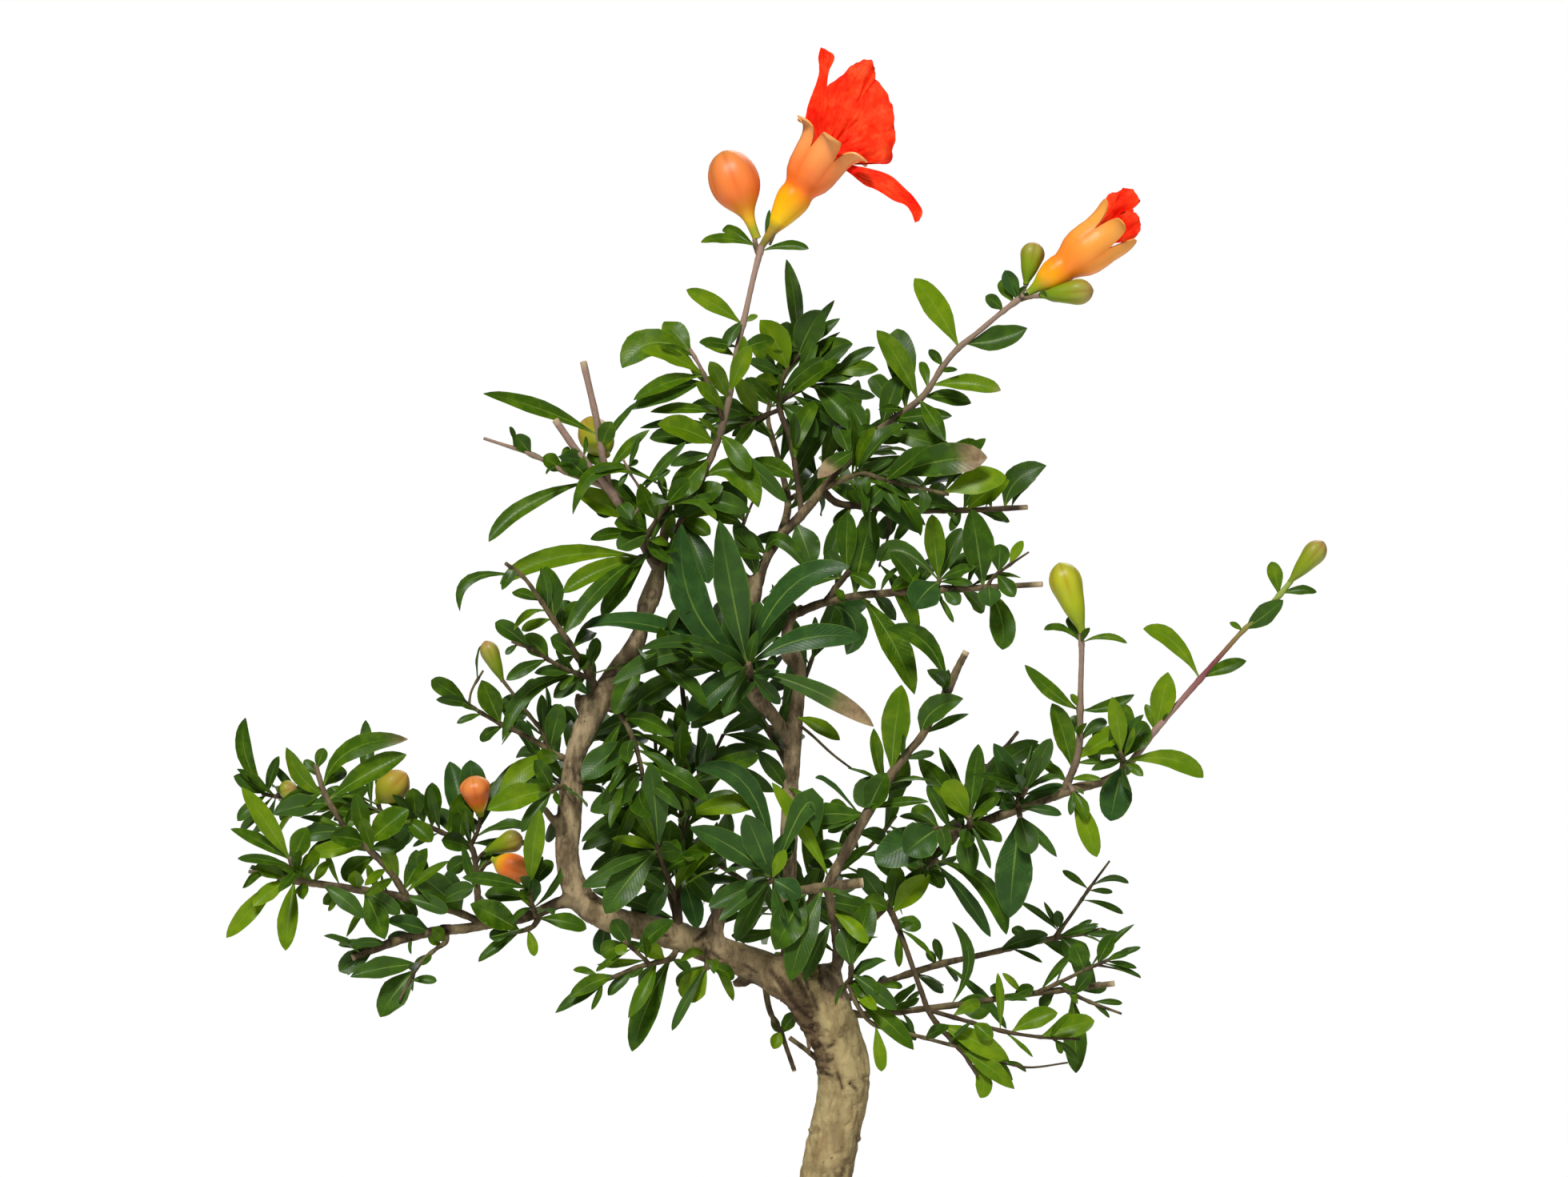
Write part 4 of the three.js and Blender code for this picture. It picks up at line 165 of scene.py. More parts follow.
SHOOTS = {
    "flower_stalk": {"tone": "young", "spacing": 0, "slant": 0, "twigs": [
        [(826, 712, -8, 5), (838, 690, 4, 5), (851, 652, 14, 4.6), (874, 606, 22, 4.4),
         (890, 568, 26, 4.4), (904, 530, 26, 4.4), (913, 488, 22, 4.2), (922, 435, 18, 4),
         (931, 395, 14, 3.9), (941, 350, 10, 4), (948, 322, 8, 4.6), (952, 307, 8, 4.4)],
        [(905, 528, 26, 3.5), (890, 490, 34, 3), (876, 460, 40, 2.6), (862, 436, 44, 2.2)],
        [(948, 318, 8, 3.6), (944, 304, 4, 3.4), (943, 292, 2, 3.4)],
    ], "leaves": [
        (946, 308, 876, 303, 15, 8), (956, 316, 1011, 311, 14, 8), (928, 406, 858, 362, 24, 10),
        (931, 404, 947, 394, 9), (866, 436, 778, 460, 44, 5), (866, 440, 830, 402, 32, -20),
        (878, 470, 803, 438, 24, 20), (868, 446, 825, 433, 12, 30), (898, 518, 813, 515, 16, 20),
        (880, 470, 792, 500, 22, 30), (900, 534, 800, 535, 14, 10), (894, 556, 822, 530, 36, 20),
        (912, 500, 887, 452, 24, 40), (913, 492, 938, 432, 24, 40), (908, 515, 870, 478, 20, 35),
        (888, 572, 842, 625, 36, 20), (878, 598, 948, 634, 40, 30), (876, 602, 846, 644, 26, 40),
        (862, 632, 904, 608, 30, 20), (900, 542, 938, 590, 26, 30), (922, 440, 968, 425, 22, -20),
        (920, 446, 880, 430, 18, -30), (851, 652, 888, 668, 24, 20),
    ]},
    "crown_centre": {"tone": "mature", "spacing": 0, "slant": -0.35, "twigs": [
        [(1002, 642, 0, 4.5), (998, 610, -6, 4), (992, 570, -12, 3.8), (986, 542, -14, 4.4),
         (977, 520, -14, 4), (974, 500, -16, 3.6), (980, 470, -18, 3), (1002, 440, -22, 2.6)],
        [(975, 512, -14, 3.4), (950, 522, -12, 3), (926, 534, -10, 2.6)],
        [(974, 502, -16, 3.4), (995, 490, -14, 3.2), (1014, 478, -14, 3), (1040, 468, -18, 2.4)],
    ], "leaves": [
        (1002, 442, 983, 324, 22, -20), (1004, 440, 1027, 388, 42, 20), (984, 462, 950, 400, 42, 15),
        (988, 456, 984, 402, 36, -30), (1000, 444, 1043, 375, 14, -20), (1010, 440, 1066, 430, 26, 10),
        (1012, 476, 1082, 546, 36, 45), (974, 495, 1030, 447, 20, 20), (986, 490, 1050, 450, 26, 30),
        (1014, 480, 1078, 462, 26, -10), (948, 520, 918, 470, 24, 20), (1010, 480, 1092, 498, 12, -30),
        (980, 505, 1022, 546, 34, 10), (1012, 480, 1058, 532, 18, -40), (975, 512, 915, 545, 16, -20),
        (972, 500, 958, 448, 22, -30), (978, 480, 1000, 415, 30, -50), (940, 526, 905, 500, 18, -50),
        (1000, 488, 1045, 545, 26, -60), (994, 590, 968, 545, 24, -40), (996, 600, 940, 575, 26, -50),
        (990, 560, 1020, 520, 24, -60),
    ]},
    "half_flower": {"tone": "mature", "spacing": 0, "slant": 0.16, "twigs": [
        [(1050, 585, -2, 5), (1081, 554, -4, 4.8), (1110, 528, -6, 4.5), (1144, 504, -6, 4.2),
         (1160, 487, -4, 4), (1178, 459, -2, 3.9), (1197, 436, 0, 3.9), (1225, 413, 2, 3.6),
         (1250, 392, 4, 3.5), (1280, 369, 7, 4)],
        [(1272, 376, 6, 3), (1279, 364, 2, 2.8), (1283, 354, 0, 2.8)],
        [(1276, 374, 7, 3), (1290, 371, 14, 2.8), (1302, 369, 16, 2.8)],
    ], "leaves": [
        (1198, 434, 1143, 348, 34, 10), (1206, 430, 1284, 410, 36, 10), (1178, 458, 1161, 437, 14, 10),
        (1254, 388, 1232, 370, 18, 10), (1266, 378, 1251, 350, 20, -10), (1175, 465, 1197, 462, 8, 20),
        (1163, 482, 1251, 488, 26, 25), (1152, 496, 1214, 504, 22, -10), (1147, 500, 1096, 413, 32, 25),
        (1132, 512, 1121, 411, 40, -25), (1102, 536, 1125, 470, 30, 10), (1132, 512, 1098, 512, 12, 20),
        (1118, 522, 1150, 550, 20, -30), (1112, 528, 1190, 520, 22, 30), (1150, 500, 1182, 552, 22, 40),
        (1092, 544, 1195, 566, 26, 30), (1072, 562, 1022, 598, 46, 30), (1086, 550, 1062, 505, 26, -30),
        (1100, 536, 1068, 545, 18, 30), (1160, 487, 1152, 452, 14, -20), (1064, 572, 1045, 530, 24, -50),
        (1120, 520, 1090, 470, 28, -60), (1140, 506, 1170, 560, 24, -40),
    ]},
    "upper_right": {"tone": "mature", "spacing": 44, "slant": 0.2, "twigs": [
        [(1030, 611, 0, 4.4), (1052, 600, 14, 3.6), (1078, 592, 26, 3.2), (1105, 600, 36, 3),
         (1150, 610, 44, 2.6), (1186, 618, 48, 2.2)],
    ], "leaves": [
        (1058, 598, 1150, 667, 24, 30), (1106, 600, 1234, 572, 56, 25), (1150, 610, 1222, 552, 30, -40),
        (1184, 618, 1232, 548, 20, -60), (1186, 618, 1258, 596, 38, -10), (1112, 602, 1078, 640, 22, 20),
    ]},
    "branch_one": {"tone": "mature", "spacing": 0, "slant": -0.3, "twigs": [
        [(1029, 614, 0, 5.5), (1048, 629, 0, 5), (1082, 633, 0, 4.6), (1134, 637, 0, 4.4),
         (1200, 638, 0, 3.8), (1284, 634, 2, 3.6)],
        [(1108, 636, 0, 2.8), (1111, 650, -4, 2.6), (1113, 663, -6, 2.6)],
    ], "leaves": [
        (1204, 638, 1233, 588, 24, 10), (1208, 637, 1262, 600, 32, 30), (1256, 635, 1308, 582, 36, 10),
        (1202, 638, 1138, 624, 24, 20), (1076, 632, 1059, 614, 16, 10), (1088, 633, 1106, 606, 26, -10),
        (1150, 638, 1118, 678, 14, 20), (1202, 639, 1188, 664, 14, 20), (1062, 632, 1046, 664, 22, -20),
        (1160, 638, 1178, 604, 24, -30), (1130, 637, 1100, 672, 26, -40),
        (1240, 636, 1222, 600, 22, -40), (1098, 634, 1140, 660, 24, -60),
        (1218, 637, 1262, 652, 18, -40),
    ]},
    "branch_two": {"tone": "mature", "spacing": 0, "slant": 0.3, "twigs": [
        [(996, 766, -20, 6.4), (1030, 753, -18, 5.6), (1075, 744, -14, 4.8), (1127, 740, -8, 4.6),
         (1200, 736, 0, 4.2), (1303, 730, 8, 3.8)],
        [(1032, 752, -18, 4.5), (1048, 730, -10, 4), (1062, 714, -4, 3.6)],
        [(1234, 734, 3, 2.6), (1241, 722, 8, 2.4), (1262, 706, 14, 1.9), (1286, 690, 18, 1.4)],
        [(1170, 737, -2, 2.8), (1175, 723, 6, 2.4)],
    ], "leaves": [
        (1229, 733, 1214, 636, 44, 20), (1173, 726, 1165, 643, 30, 20), (1175, 724, 1202, 660, 26, 0),
        (1175, 726, 1221, 708, 16, 30), (1174, 728, 1216, 730, 12, 30), (1173, 727, 1142, 761, 44, 40),
        (1178, 737, 1200, 755, 20, 20), (1168, 738, 1192, 778, 8, 20), (1127, 740, 1148, 789, 24, -10),
        (1124, 740, 1100, 702, 22, 10), (1150, 738, 1113, 691, 28, 20), (1234, 734, 1253, 812, 34, 10),
        (1236, 732, 1238, 758, 30, 40), (1246, 718, 1268, 746, 22, 20), (1248, 716, 1250, 680, 26, 10),
        (1262, 706, 1279, 676, 14, 10), (1068, 745, 1092, 640, 40, 20), (1062, 715, 1060, 640, 28, -10),
        (1036, 751, 1058, 818, 36, 10), (1076, 744, 1143, 868, 38, 20), (1060, 717, 1094, 735, 20, 20),
        (1050, 728, 1034, 688, 24, 20), (1190, 736, 1206, 690, 26, -40), (1110, 741, 1150, 716, 22, 30),
        (1090, 743, 1120, 775, 20, -50), (1200, 736, 1230, 765, 22, -50),
        (1140, 739, 1170, 700, 24, -60),
    ]},
    "front_tuft": {"tone": "deep", "spacing": 0, "slant": 0, "twigs": [
        [(940, 862, 18, 8), (937, 845, 42, 7), (934, 828, 62, 5.6)],
    ], "leaves": [
        (932, 826, 899, 650, 46, 60), (930, 824, 852, 655, 48, 30), (928, 826, 725, 787, 30, 10),
        (938, 824, 1062, 708, 36, 30), (940, 826, 1077, 798, 34, 10), (928, 830, 800, 812, 20, 40),
        (940, 836, 1092, 908, 28, 20), (928, 836, 858, 902, 32, 0), (938, 822, 984, 762, 26, -20),
        (934, 822, 950, 752, 32, -10), (926, 832, 764, 856, 26, 20), (930, 840, 905, 895, 26, 10),
        (938, 840, 975, 880, 20, -10), (932, 824, 905, 770, 30, 10), (930, 828, 872, 790, 26, -20),
    ]},
    "top_left": {"tone": "mature", "spacing": 0, "slant": 0.35, "twigs": [
        [(822, 714, -8, 6.4), (811, 694, -4, 6.2), (799, 672, 2, 6), (780, 640, 8, 6),
         (765, 616, 12, 6.6), (748, 597, 14, 5.6), (724, 568, 14, 5), (694, 525, 12, 4.6)],
        [(762, 612, 12, 4), (735, 600, 18, 3.6), (706, 590, 22, 3.2), (664, 568, 26, 2.6),
         (605, 548, 30, 2.2)],
        [(762, 613, 12, 5), (757, 588, 8, 5), (751, 558, 4, 4.6), (746, 526, 2, 4.6),
         (729, 452, -2, 4.8)],
        [(788, 652, 6, 2.2), (803, 621, 14, 1.9), (788, 592, 18, 1.7), (779, 574, 20, 1.4)],
    ], "leaves": [
        (748, 545, 604, 492, 24, 10), (752, 562, 765, 527, 24, 25), (752, 560, 796, 502, 10, 20),
        (664, 568, 643, 544, 24, 10), (704, 590, 678, 572, 24, 15), (735, 600, 702, 570, 36, 15),
        (706, 590, 709, 558, 14, -10), (738, 602, 611, 677, 24, 10), (786, 650, 720, 616, 34, 20),
        (772, 628, 790, 650, 24, 20), (796, 668, 738, 674, 18, 20), (758, 594, 812, 537, 16, 20),
        (802, 618, 858, 552, 14, 20), (786, 590, 774, 608, 8, 5), (784, 584, 798, 576, 8, 5),
        (798, 610, 838, 588, 12, 10), (782, 642, 745, 640, 20, -30), (757, 590, 735, 566, 16, -30),
        (770, 626, 812, 640, 20, -40),
    ]},
    "limb_top": {"tone": "mature", "spacing": 0, "slant": 0.3, "twigs": [
        [(824, 706, -8, 5), (812, 692, 12, 4.4), (810, 668, 24, 3.6), (828, 640, 28, 2.8),
         (846, 612, 28, 2.4)],
        [(812, 694, 12, 3.8), (798, 697, 24, 3.2)],
    ], "leaves": [
        (822, 648, 825, 618, 22, 0), (811, 668, 772, 686, 30, 20), (812, 666, 768, 654, 22, 20),
        (845, 614, 716, 643, 18, 10), (800, 697, 625, 730, 32, 15), (802, 697, 704, 741, 30, 10),
        (806, 696, 764, 746, 18, 20), (800, 697, 709, 788, 24, 30), (810, 690, 752, 770, 26, -20),
        (832, 634, 862, 600, 24, 20), (812, 680, 852, 700, 24, 30),
    ]},
    "left_upper": {"tone": "mature", "spacing": 0, "slant": 0.45, "twigs": [
        [(750, 868, 2, 5.4), (736, 843, 6, 4.8), (718, 815, 10, 4.2), (702, 790, 14, 3.8),
         (690, 772, 16, 3.4), (672, 745, 18, 3), (655, 722, 20, 2.8), (632, 704, 22, 2.6)],
        [(739, 848, 6, 3.6), (712, 838, 14, 3), (688, 826, 18, 2.6), (665, 812, 20, 2.2),
         (640, 802, 22, 1.8)],
        [(738, 846, 6, 3), (739, 832, 14, 2.4)],
    ], "leaves": [
        (692, 776, 682, 708, 36, 15), (690, 774, 652, 788, 14, 10), (652, 720, 575, 764, 14, 10),
        (662, 812, 619, 778, 24, 10), (686, 826, 655, 794, 28, 10), (648, 805, 632, 818, 9, 5),
        (684, 826, 633, 850, 18, 10), (716, 824, 688, 797, 26, 25), (739, 834, 746, 797, 17, 5),
        (722, 841, 668, 841, 16, 25), (704, 794, 728, 750, 32, -20), (700, 788, 705, 750, 26, -40),
        (732, 845, 628, 926, 22, 30), (712, 812, 742, 790, 22, -30), (720, 818, 690, 850, 22, -40),
        (736, 843, 770, 852, 18, 40), (676, 752, 640, 740, 16, -30),
    ]},
    "left_middle": {"tone": "mature", "spacing": 0, "slant": -0.35, "twigs": [
        [(716, 952, 12, 5), (692, 942, 10, 4.2), (672, 928, 8, 3.8), (650, 916, 6, 3.4),
         (628, 906, 4, 3), (605, 893, 2, 2.6), (586, 881, 0, 2.4)],
        [(586, 881, 0, 1.8), (590, 862, 0, 1.7), (604, 838, 0, 1.5)],
        [(688, 940, 10, 3), (678, 915, 16, 2.8), (660, 892, 20, 2.6), (642, 868, 22, 2.4),
         (628, 850, 22, 2.6)],
    ], "leaves": [
        (587, 881, 539, 850, 24, 10), (604, 892, 571, 904, 10, 5), (626, 905, 602, 850, 32, 5),
        (640, 912, 636, 868, 28, -20), (628, 906, 627, 931, 8, 5), (692, 942, 625, 990, 30, 20),
        (688, 938, 701, 880, 28, 30), (678, 916, 677, 868, 16, 10), (700, 946, 672, 948, 22, 40),
        (650, 880, 672, 850, 20, -10), (660, 893, 640, 900, 16, 20), (670, 905, 715, 895, 24, -20),
        (630, 907, 600, 925, 16, -30),
    ]},
    "left_lower": {"tone": "mature", "spacing": 0, "slant": 0.3, "twigs": [
        [(712, 985, 14, 4.6), (698, 984, 34, 3.6), (688, 990, 44, 3)],
    ], "leaves": [
        (696, 986, 609, 1012, 36, 20), (690, 988, 652, 1040, 22, 10), (690, 988, 668, 950, 22, 20),
    ]},
    "limb_right_upper": {"tone": "mature", "spacing": 26, "slant": 0.2, "twigs": [
        [(784, 824, -2, 5), (802, 828, 16, 4.4), (826, 820, 32, 3.4), (846, 806, 44, 2.6)],
    ], "leaves": [
        (804, 828, 768, 893, 30, 20), (830, 818, 866, 770, 28, 10),
    ]},
    "limb_right_lower": {"tone": "mature", "spacing": 32, "slant": 0.3, "twigs": [
        [(756, 884, 2, 4.6), (775, 893, 16, 3.8), (792, 925, 28, 3.2), (802, 962, 36, 2.6),
         (806, 990, 40, 2.2)],
    ], "leaves": [
        (778, 897, 855, 845, 32, 20), (792, 925, 728, 974, 38, 30), (780, 900, 812, 906, 14, 10),
        (800, 955, 765, 985, 20, 20),
    ]},
    "inner_stems": {"tone": "mature", "spacing": 66, "slant": 0, "twigs": [
        [(846, 1170, 16, 8), (848, 1120, 26, 5.4), (851, 1070, 28, 4.6), (853, 1010, 28, 4.4),
         (856, 950, 26, 4), (856, 900, 24, 3.6), (852, 855, 22, 3), (848, 836, 20, 2.4)],
        [(847, 1150, 20, 5), (836, 1110, 6, 4.2), (832, 1060, 0, 3.8), (826, 1010, -6, 3.4),
         (821, 960, -12, 2.8), (818, 905, -16, 2.4)],
        [(847, 1130, 25, 3.6), (832, 1090, 52, 3.2), (820, 1054, 74, 2.6)],
        [(852, 1042, 28, 3.2), (868, 1000, 12, 3), (886, 956, 0, 2.6), (904, 918, -8, 2.2)],
    ], "leaves": [
        (821, 1056, 757, 1142, 42, 20), (820, 1055, 812, 953, 34, 20), (822, 1060, 780, 990, 16, 20),
        (824, 1066, 738, 1101, 18, 10), (822, 1060, 765, 1048, 16, 20), (832, 1090, 880, 1066, 20, 40),
        (850, 1080, 900, 1052, 26, 30), (853, 1020, 958, 1004, 28, 40), (862, 1016, 900, 1020, 20, -20),
    ]},
    "left_branch": {"tone": "young", "spacing": 0, "slant": 0.12, "twigs": [
        [(610, 1158, 10, 5.4), (582, 1144, 14, 5), (545, 1132, 16, 5), (505, 1121, 18, 5),
         (450, 1112, 20, 4.8), (400, 1105, 22, 4.6), (378, 1102, 22, 5.2), (350, 1096, 24, 4),
         (311, 1089, 26, 2.6)],
        [(508, 1121, 18, 4.6), (494, 1098, 24, 4.4), (478, 1078, 30, 4.2), (462, 1062, 34, 4),
         (455, 1048, 36, 3.4)],
        [(464, 1064, 34, 3.6), (436, 1040, 28, 3.6), (418, 1014, 22, 3.6), (405, 990, 18, 3.4),
         (394, 955, 14, 3)],
        [(376, 1101, 22, 4), (367, 1086, 32, 3.4), (362, 1072, 38, 2.8)],
    ], "leaves": [
        (363, 1076, 302, 984, 26, 20), (362, 1076, 288, 1036, 18, 10), (366, 1084, 297, 1073, 14, 20),
        (360, 1097, 319, 1083, 22, 20), (364, 1080, 384, 1034, 28, 10), (362, 1099, 316, 1132, 22, 25),
        (352, 1097, 283, 1172, 24, 10), (368, 1101, 357, 1188, 28, 30), (380, 1102, 379, 1124, 16, 30),
        (406, 995, 358, 934, 24, 20), (404, 985, 510, 924, 28, 20), (410, 1000, 508, 943, 34, 10),
        (412, 1004, 341, 1018, 32, 20), (400, 972, 380, 950, 14, -10), (456, 1052, 443, 991, 24, 20),
        (458, 1056, 511, 1012, 38, 10), (458, 1058, 385, 1068, 22, 10), (456, 1054, 412, 1046, 30, 30),
        (470, 1070, 428, 1098, 30, -20), (498, 1104, 478, 1054, 20, 20), (504, 1114, 534, 1060, 24, 10),
        (506, 1118, 561, 1076, 12, 30), (577, 1142, 519, 1091, 38, 25), (446, 1112, 444, 1088, 22, 25),
        (402, 1105, 456, 1148, 24, 20), (455, 1113, 481, 1174, 32, 10), (418, 1014, 452, 1018, 24, -20),
        (404, 984, 432, 962, 22, -20), (440, 1110, 404, 1130, 18, -10), (372, 1096, 400, 1066, 22, 30),
        (520, 1125, 550, 1100, 22, -30), (488, 1118, 520, 1148, 22, -30), (396, 962, 405, 935, 16, 10),
    ]},
    "left_rear": {"tone": "mature", "spacing": 0, "slant": -0.15, "twigs": [
        [(600, 1158, 8, 5), (597, 1120, -24, 4.4), (595, 1085, -46, 4), (588, 1058, -56, 3.6),
         (560, 1044, -58, 3.4), (528, 1030, -60, 3.2), (490, 1018, -62, 3), (442, 1008, -64, 2.8),
         (400, 1003, -66, 2.6), (360, 998, -68, 2.4), (327, 992, -70, 2.2)],
        [(588, 1058, -56, 2.6), (598, 1036, -46, 2.5), (600, 1018, -40, 2.6)],
        [(476, 1014, -62, 2.6), (472, 1003, -58, 2.6)],
        [(594, 1080, -48, 2.8), (602, 1068, -40, 2.6), (608, 1064, -36, 2.6)],
        [(596, 1098, -38, 2.8), (606, 1082, -24, 2.6), (616, 1074, -18, 2.6)],
        [(346, 995, -69, 2.2), (350, 990, -64, 2.2)],
    ], "leaves": [
        (326, 992, 307, 897, 22, 5), (330, 992, 349, 945, 16, 10), (326, 991, 292, 970, 24, 10),
        (328, 993, 297, 1026, 18, 10), (360, 998, 386, 982, 15, -10), (465, 1012, 457, 900, 20, -20),
        (540, 1034, 540, 978, 26, 20), (560, 1044, 588, 988, 28, 20), (576, 1050, 578, 1014, 28, 10),
        (590, 1062, 552, 1050, 28, 40), (520, 1026, 516, 985, 26, 20), (500, 1020, 470, 1050, 22, 10),
        (505, 1022, 540, 1052, 26, 20), (430, 1007, 460, 985, 22, 20), (592, 1072, 560, 1090, 24, -20),
        (560, 1044, 600, 1030, 22, -40), (590, 1058, 562, 952, 38, -20), (592, 1050, 641, 954, 16, -20),
        (380, 1000, 350, 1025, 20, -20), (440, 1008, 410, 985, 20, -30), (596, 1092, 640, 1045, 24, -30),
        (580, 1054, 545, 1010, 24, -30),
    ]},
    "left_hanging": {"tone": "mature", "spacing": 0, "slant": 0.3, "twigs": [
        [(557, 1160, 10, 4), (558, 1176, 24, 3.2), (545, 1186, 30, 2.8), (525, 1204, 34, 2.6),
         (510, 1230, 36, 2.2), (499, 1251, 38, 1.8)],
    ], "leaves": [
        (524, 1205, 438, 1221, 30, 15), (520, 1210, 475, 1271, 38, 5), (513, 1226, 546, 1226, 13, 10),
        (556, 1178, 540, 1160, 18, 20), (552, 1182, 535, 1172, 14, 10),
    ]},
    "left_tip": {"tone": "deep", "spacing": 0, "slant": 0.25, "twigs": [
        [(556, 1162, 10, 7), (520, 1169, 12, 6.4), (490, 1178, 14, 6), (460, 1189, 16, 5.4),
         (440, 1197, 18, 4.8)],
    ], "leaves": [
        (470, 1186, 424, 1214, 28, 25), (472, 1184, 423, 1181, 14, 15), (540, 1166, 482, 1151, 26, 25),
        (486, 1180, 437, 1180, 14, 35),
    ]},
    "left_fork": {"tone": "mature", "spacing": 0, "slant": 0.3, "twigs": [
        [(676, 1139, 14, 5), (668, 1156, 26, 3.6), (654, 1163, 34, 2.8), (636, 1166, 38, 2.4)],
        [(672, 1148, 20, 3.4), (664, 1128, 38, 3), (663, 1106, 46, 2.6)],
    ], "leaves": [
        (652, 1164, 598, 1202, 16, 10), (660, 1161, 668, 1195, 14, 10), (663, 1106, 675, 1012, 28, 10),
        (666, 1132, 667, 1098, 22, 30), (663, 1112, 578, 1097, 20, 10), (664, 1128, 650, 1112, 14, 20),
        (650, 1164, 588, 1130, 38, 20), (664, 1124, 606, 1118, 24, -10), (640, 1166, 612, 1172, 18, 10),
        (672, 1148, 733, 1161, 24, 10), (663, 1108, 690, 1076, 22, -20),
    ]},
    "centre_front": {"tone": "deep", "spacing": 0, "slant": 0, "twigs": [
        [(985, 1062, -12, 4.6), (976, 1082, 40, 3.8), (962, 1103, 84, 3.2)],
    ], "leaves": [
        (960, 1102, 862, 1034, 36, 20), (961, 1101, 932, 1018, 38, 5), (961, 1104, 886, 1133, 28, 10),
        (960, 1104, 898, 1152, 20, 20), (961, 1106, 920, 1177, 26, 5), (963, 1100, 982, 1062, 18, 10),
        (966, 1096, 990, 1040, 28, -20), (963, 1104, 1001, 1122, 30, 5), (965, 1098, 1020, 1046, 36, 5),
        (968, 1094, 868, 960, 32, -20),
    ]},
    "stub_shoot": {"tone": "mature", "spacing": 0, "slant": 0.12, "twigs": [
        [(1040, 1232, -4, 8), (1046, 1195, 18, 6), (1043, 1160, 30, 5.4), (1038, 1128, 36, 6),
         (1036, 1106, 38, 7), (1046, 1085, 36, 7.4), (1064, 1052, 32, 7.2), (1083, 1018, 28, 7),
         (1105, 985, 24, 6.6), (1116, 965, 22, 6.2), (1135, 940, 20, 5.4), (1152, 920, 18, 5.2),
         (1175, 880, 14, 5), (1187, 857, 12, 6.2), (1197, 835, 10, 5), (1208, 814, 8, 4.6)],
        [(1000, 1113, 42, 6), (1036, 1108, 38, 7), (1079, 1103, 38, 6.8)],
    ], "leaves": [
        (1006, 1112, 969, 1187, 46, 30), (1030, 1110, 988, 1226, 38, 30),
        (1042, 1150, 1005, 1227, 22, 10), (1042, 1140, 1085, 1179, 20, 30),
        (1036, 1100, 965, 978, 20, 30), (1084, 1018, 1108, 966, 36, 25),
        (1080, 1022, 1003, 1022, 28, 10), (1088, 1012, 1161, 1002, 14, 30),
        (1114, 967, 1127, 856, 38, 20), (1152, 920, 1204, 873, 34, 25), (1153, 919, 1211, 892, 12, 10),
        (1184, 860, 1108, 786, 28, 10), (1046, 1190, 1072, 1150, 18, 10),
        (1060, 1058, 1018, 1070, 28, -10), (1070, 1042, 1105, 1050, 24, -30),
        (1064, 1052, 1040, 1000, 26, -40), (1006, 924, 1060, 960, 6, 0),
        (1046, 1085, 1012, 1080, 24, -30), (1100, 992, 1140, 975, 18, -40),
    ]},
    "right_first": {"tone": "mature", "spacing": 0, "slant": 0.35, "twigs": [
        [(1203, 1039, 4, 5), (1212, 1031, 24, 4.2), (1212, 1020, 34, 3.2)],
        [(1209, 1034, 16, 3.4), (1190, 1040, 34, 3.2), (1168, 1034, 46, 2.6)],
    ], "leaves": [
        (1212, 1024, 1180, 977, 34, 15), (1210, 1028, 1148, 948, 30, -20),
        (1213, 1024, 1223, 930, 26, 5), (1206, 1034, 1158, 974, 26, 20),
        (1213, 1028, 1174, 934, 14, -30), (1204, 1036, 1215, 1095, 30, 20),
        (1213, 1026, 1252, 1052, 20, 10), (1212, 1030, 1238, 1086, 8, 20),
        (1188, 1040, 1094, 1079, 52, 10), (1170, 1035, 1131, 1067, 52, 20),
        (1175, 1036, 1140, 1010, 26, -20), (1212, 1026, 1250, 990, 24, -30),
    ]},
    "right_under": {"tone": "mature", "spacing": 0, "slant": -0.3, "twigs": [
        [(1150, 1089, -1, 4.4), (1162, 1080, 18, 3.6), (1172, 1074, 28, 3)],
    ], "leaves": [
        (1172, 1073, 1258, 1168, 27, 10), (1168, 1078, 1238, 1171, 20, -10),
        (1160, 1082, 1178, 1110, 20, 10), (1160, 1082, 1130, 1118, 24, -20),
    ]},
    "right_second": {"tone": "deep", "spacing": 0, "slant": 0.3, "twigs": [
        [(1270, 1011, 8, 5), (1275, 998, 26, 4), (1284, 984, 36, 3)],
        [(1273, 1006, 14, 3.8), (1275, 1022, 34, 3.2)],
    ], "leaves": [
        (1275, 1000, 1242, 929, 28, 10), (1277, 996, 1280, 954, 20, -20), (1284, 984, 1314, 923, 24, 0),
        (1283, 986, 1300, 944, 20, 30), (1275, 1002, 1250, 950, 24, 25), (1282, 988, 1215, 968, 12, 10),
        (1279, 1010, 1327, 1018, 14, 10), (1275, 1020, 1262, 1147, 50, 5),
        (1276, 1018, 1289, 1067, 32, 30), (1276, 1020, 1321, 1071, 14, 5),
        (1275, 1004, 1240, 1000, 22, -20), (1283, 986, 1245, 975, 20, -30),
    ]},
    "right_upright": {"tone": "young", "spacing": 0, "slant": 0.25, "twigs": [
        [(1328, 992, 9, 6), (1337, 972, 12, 5), (1346, 948, 14, 4.6), (1350, 915, 14, 4.4),
         (1350, 888, 14, 4.6), (1351, 850, 14, 3.8), (1352, 815, 14, 3.8), (1351, 786, 14, 3.8)],
        [(1336, 978, 12, 3.4), (1342, 990, 30, 2.8)],
    ], "leaves": [
        (1341, 962, 1315, 879, 32, 15), (1346, 950, 1411, 911, 30, 20), (1344, 954, 1381, 953, 9, 10),
        (1349, 930, 1384, 903, 17, 5), (1350, 888, 1281, 831, 20, 10), (1351, 888, 1418, 868, 18, 10),
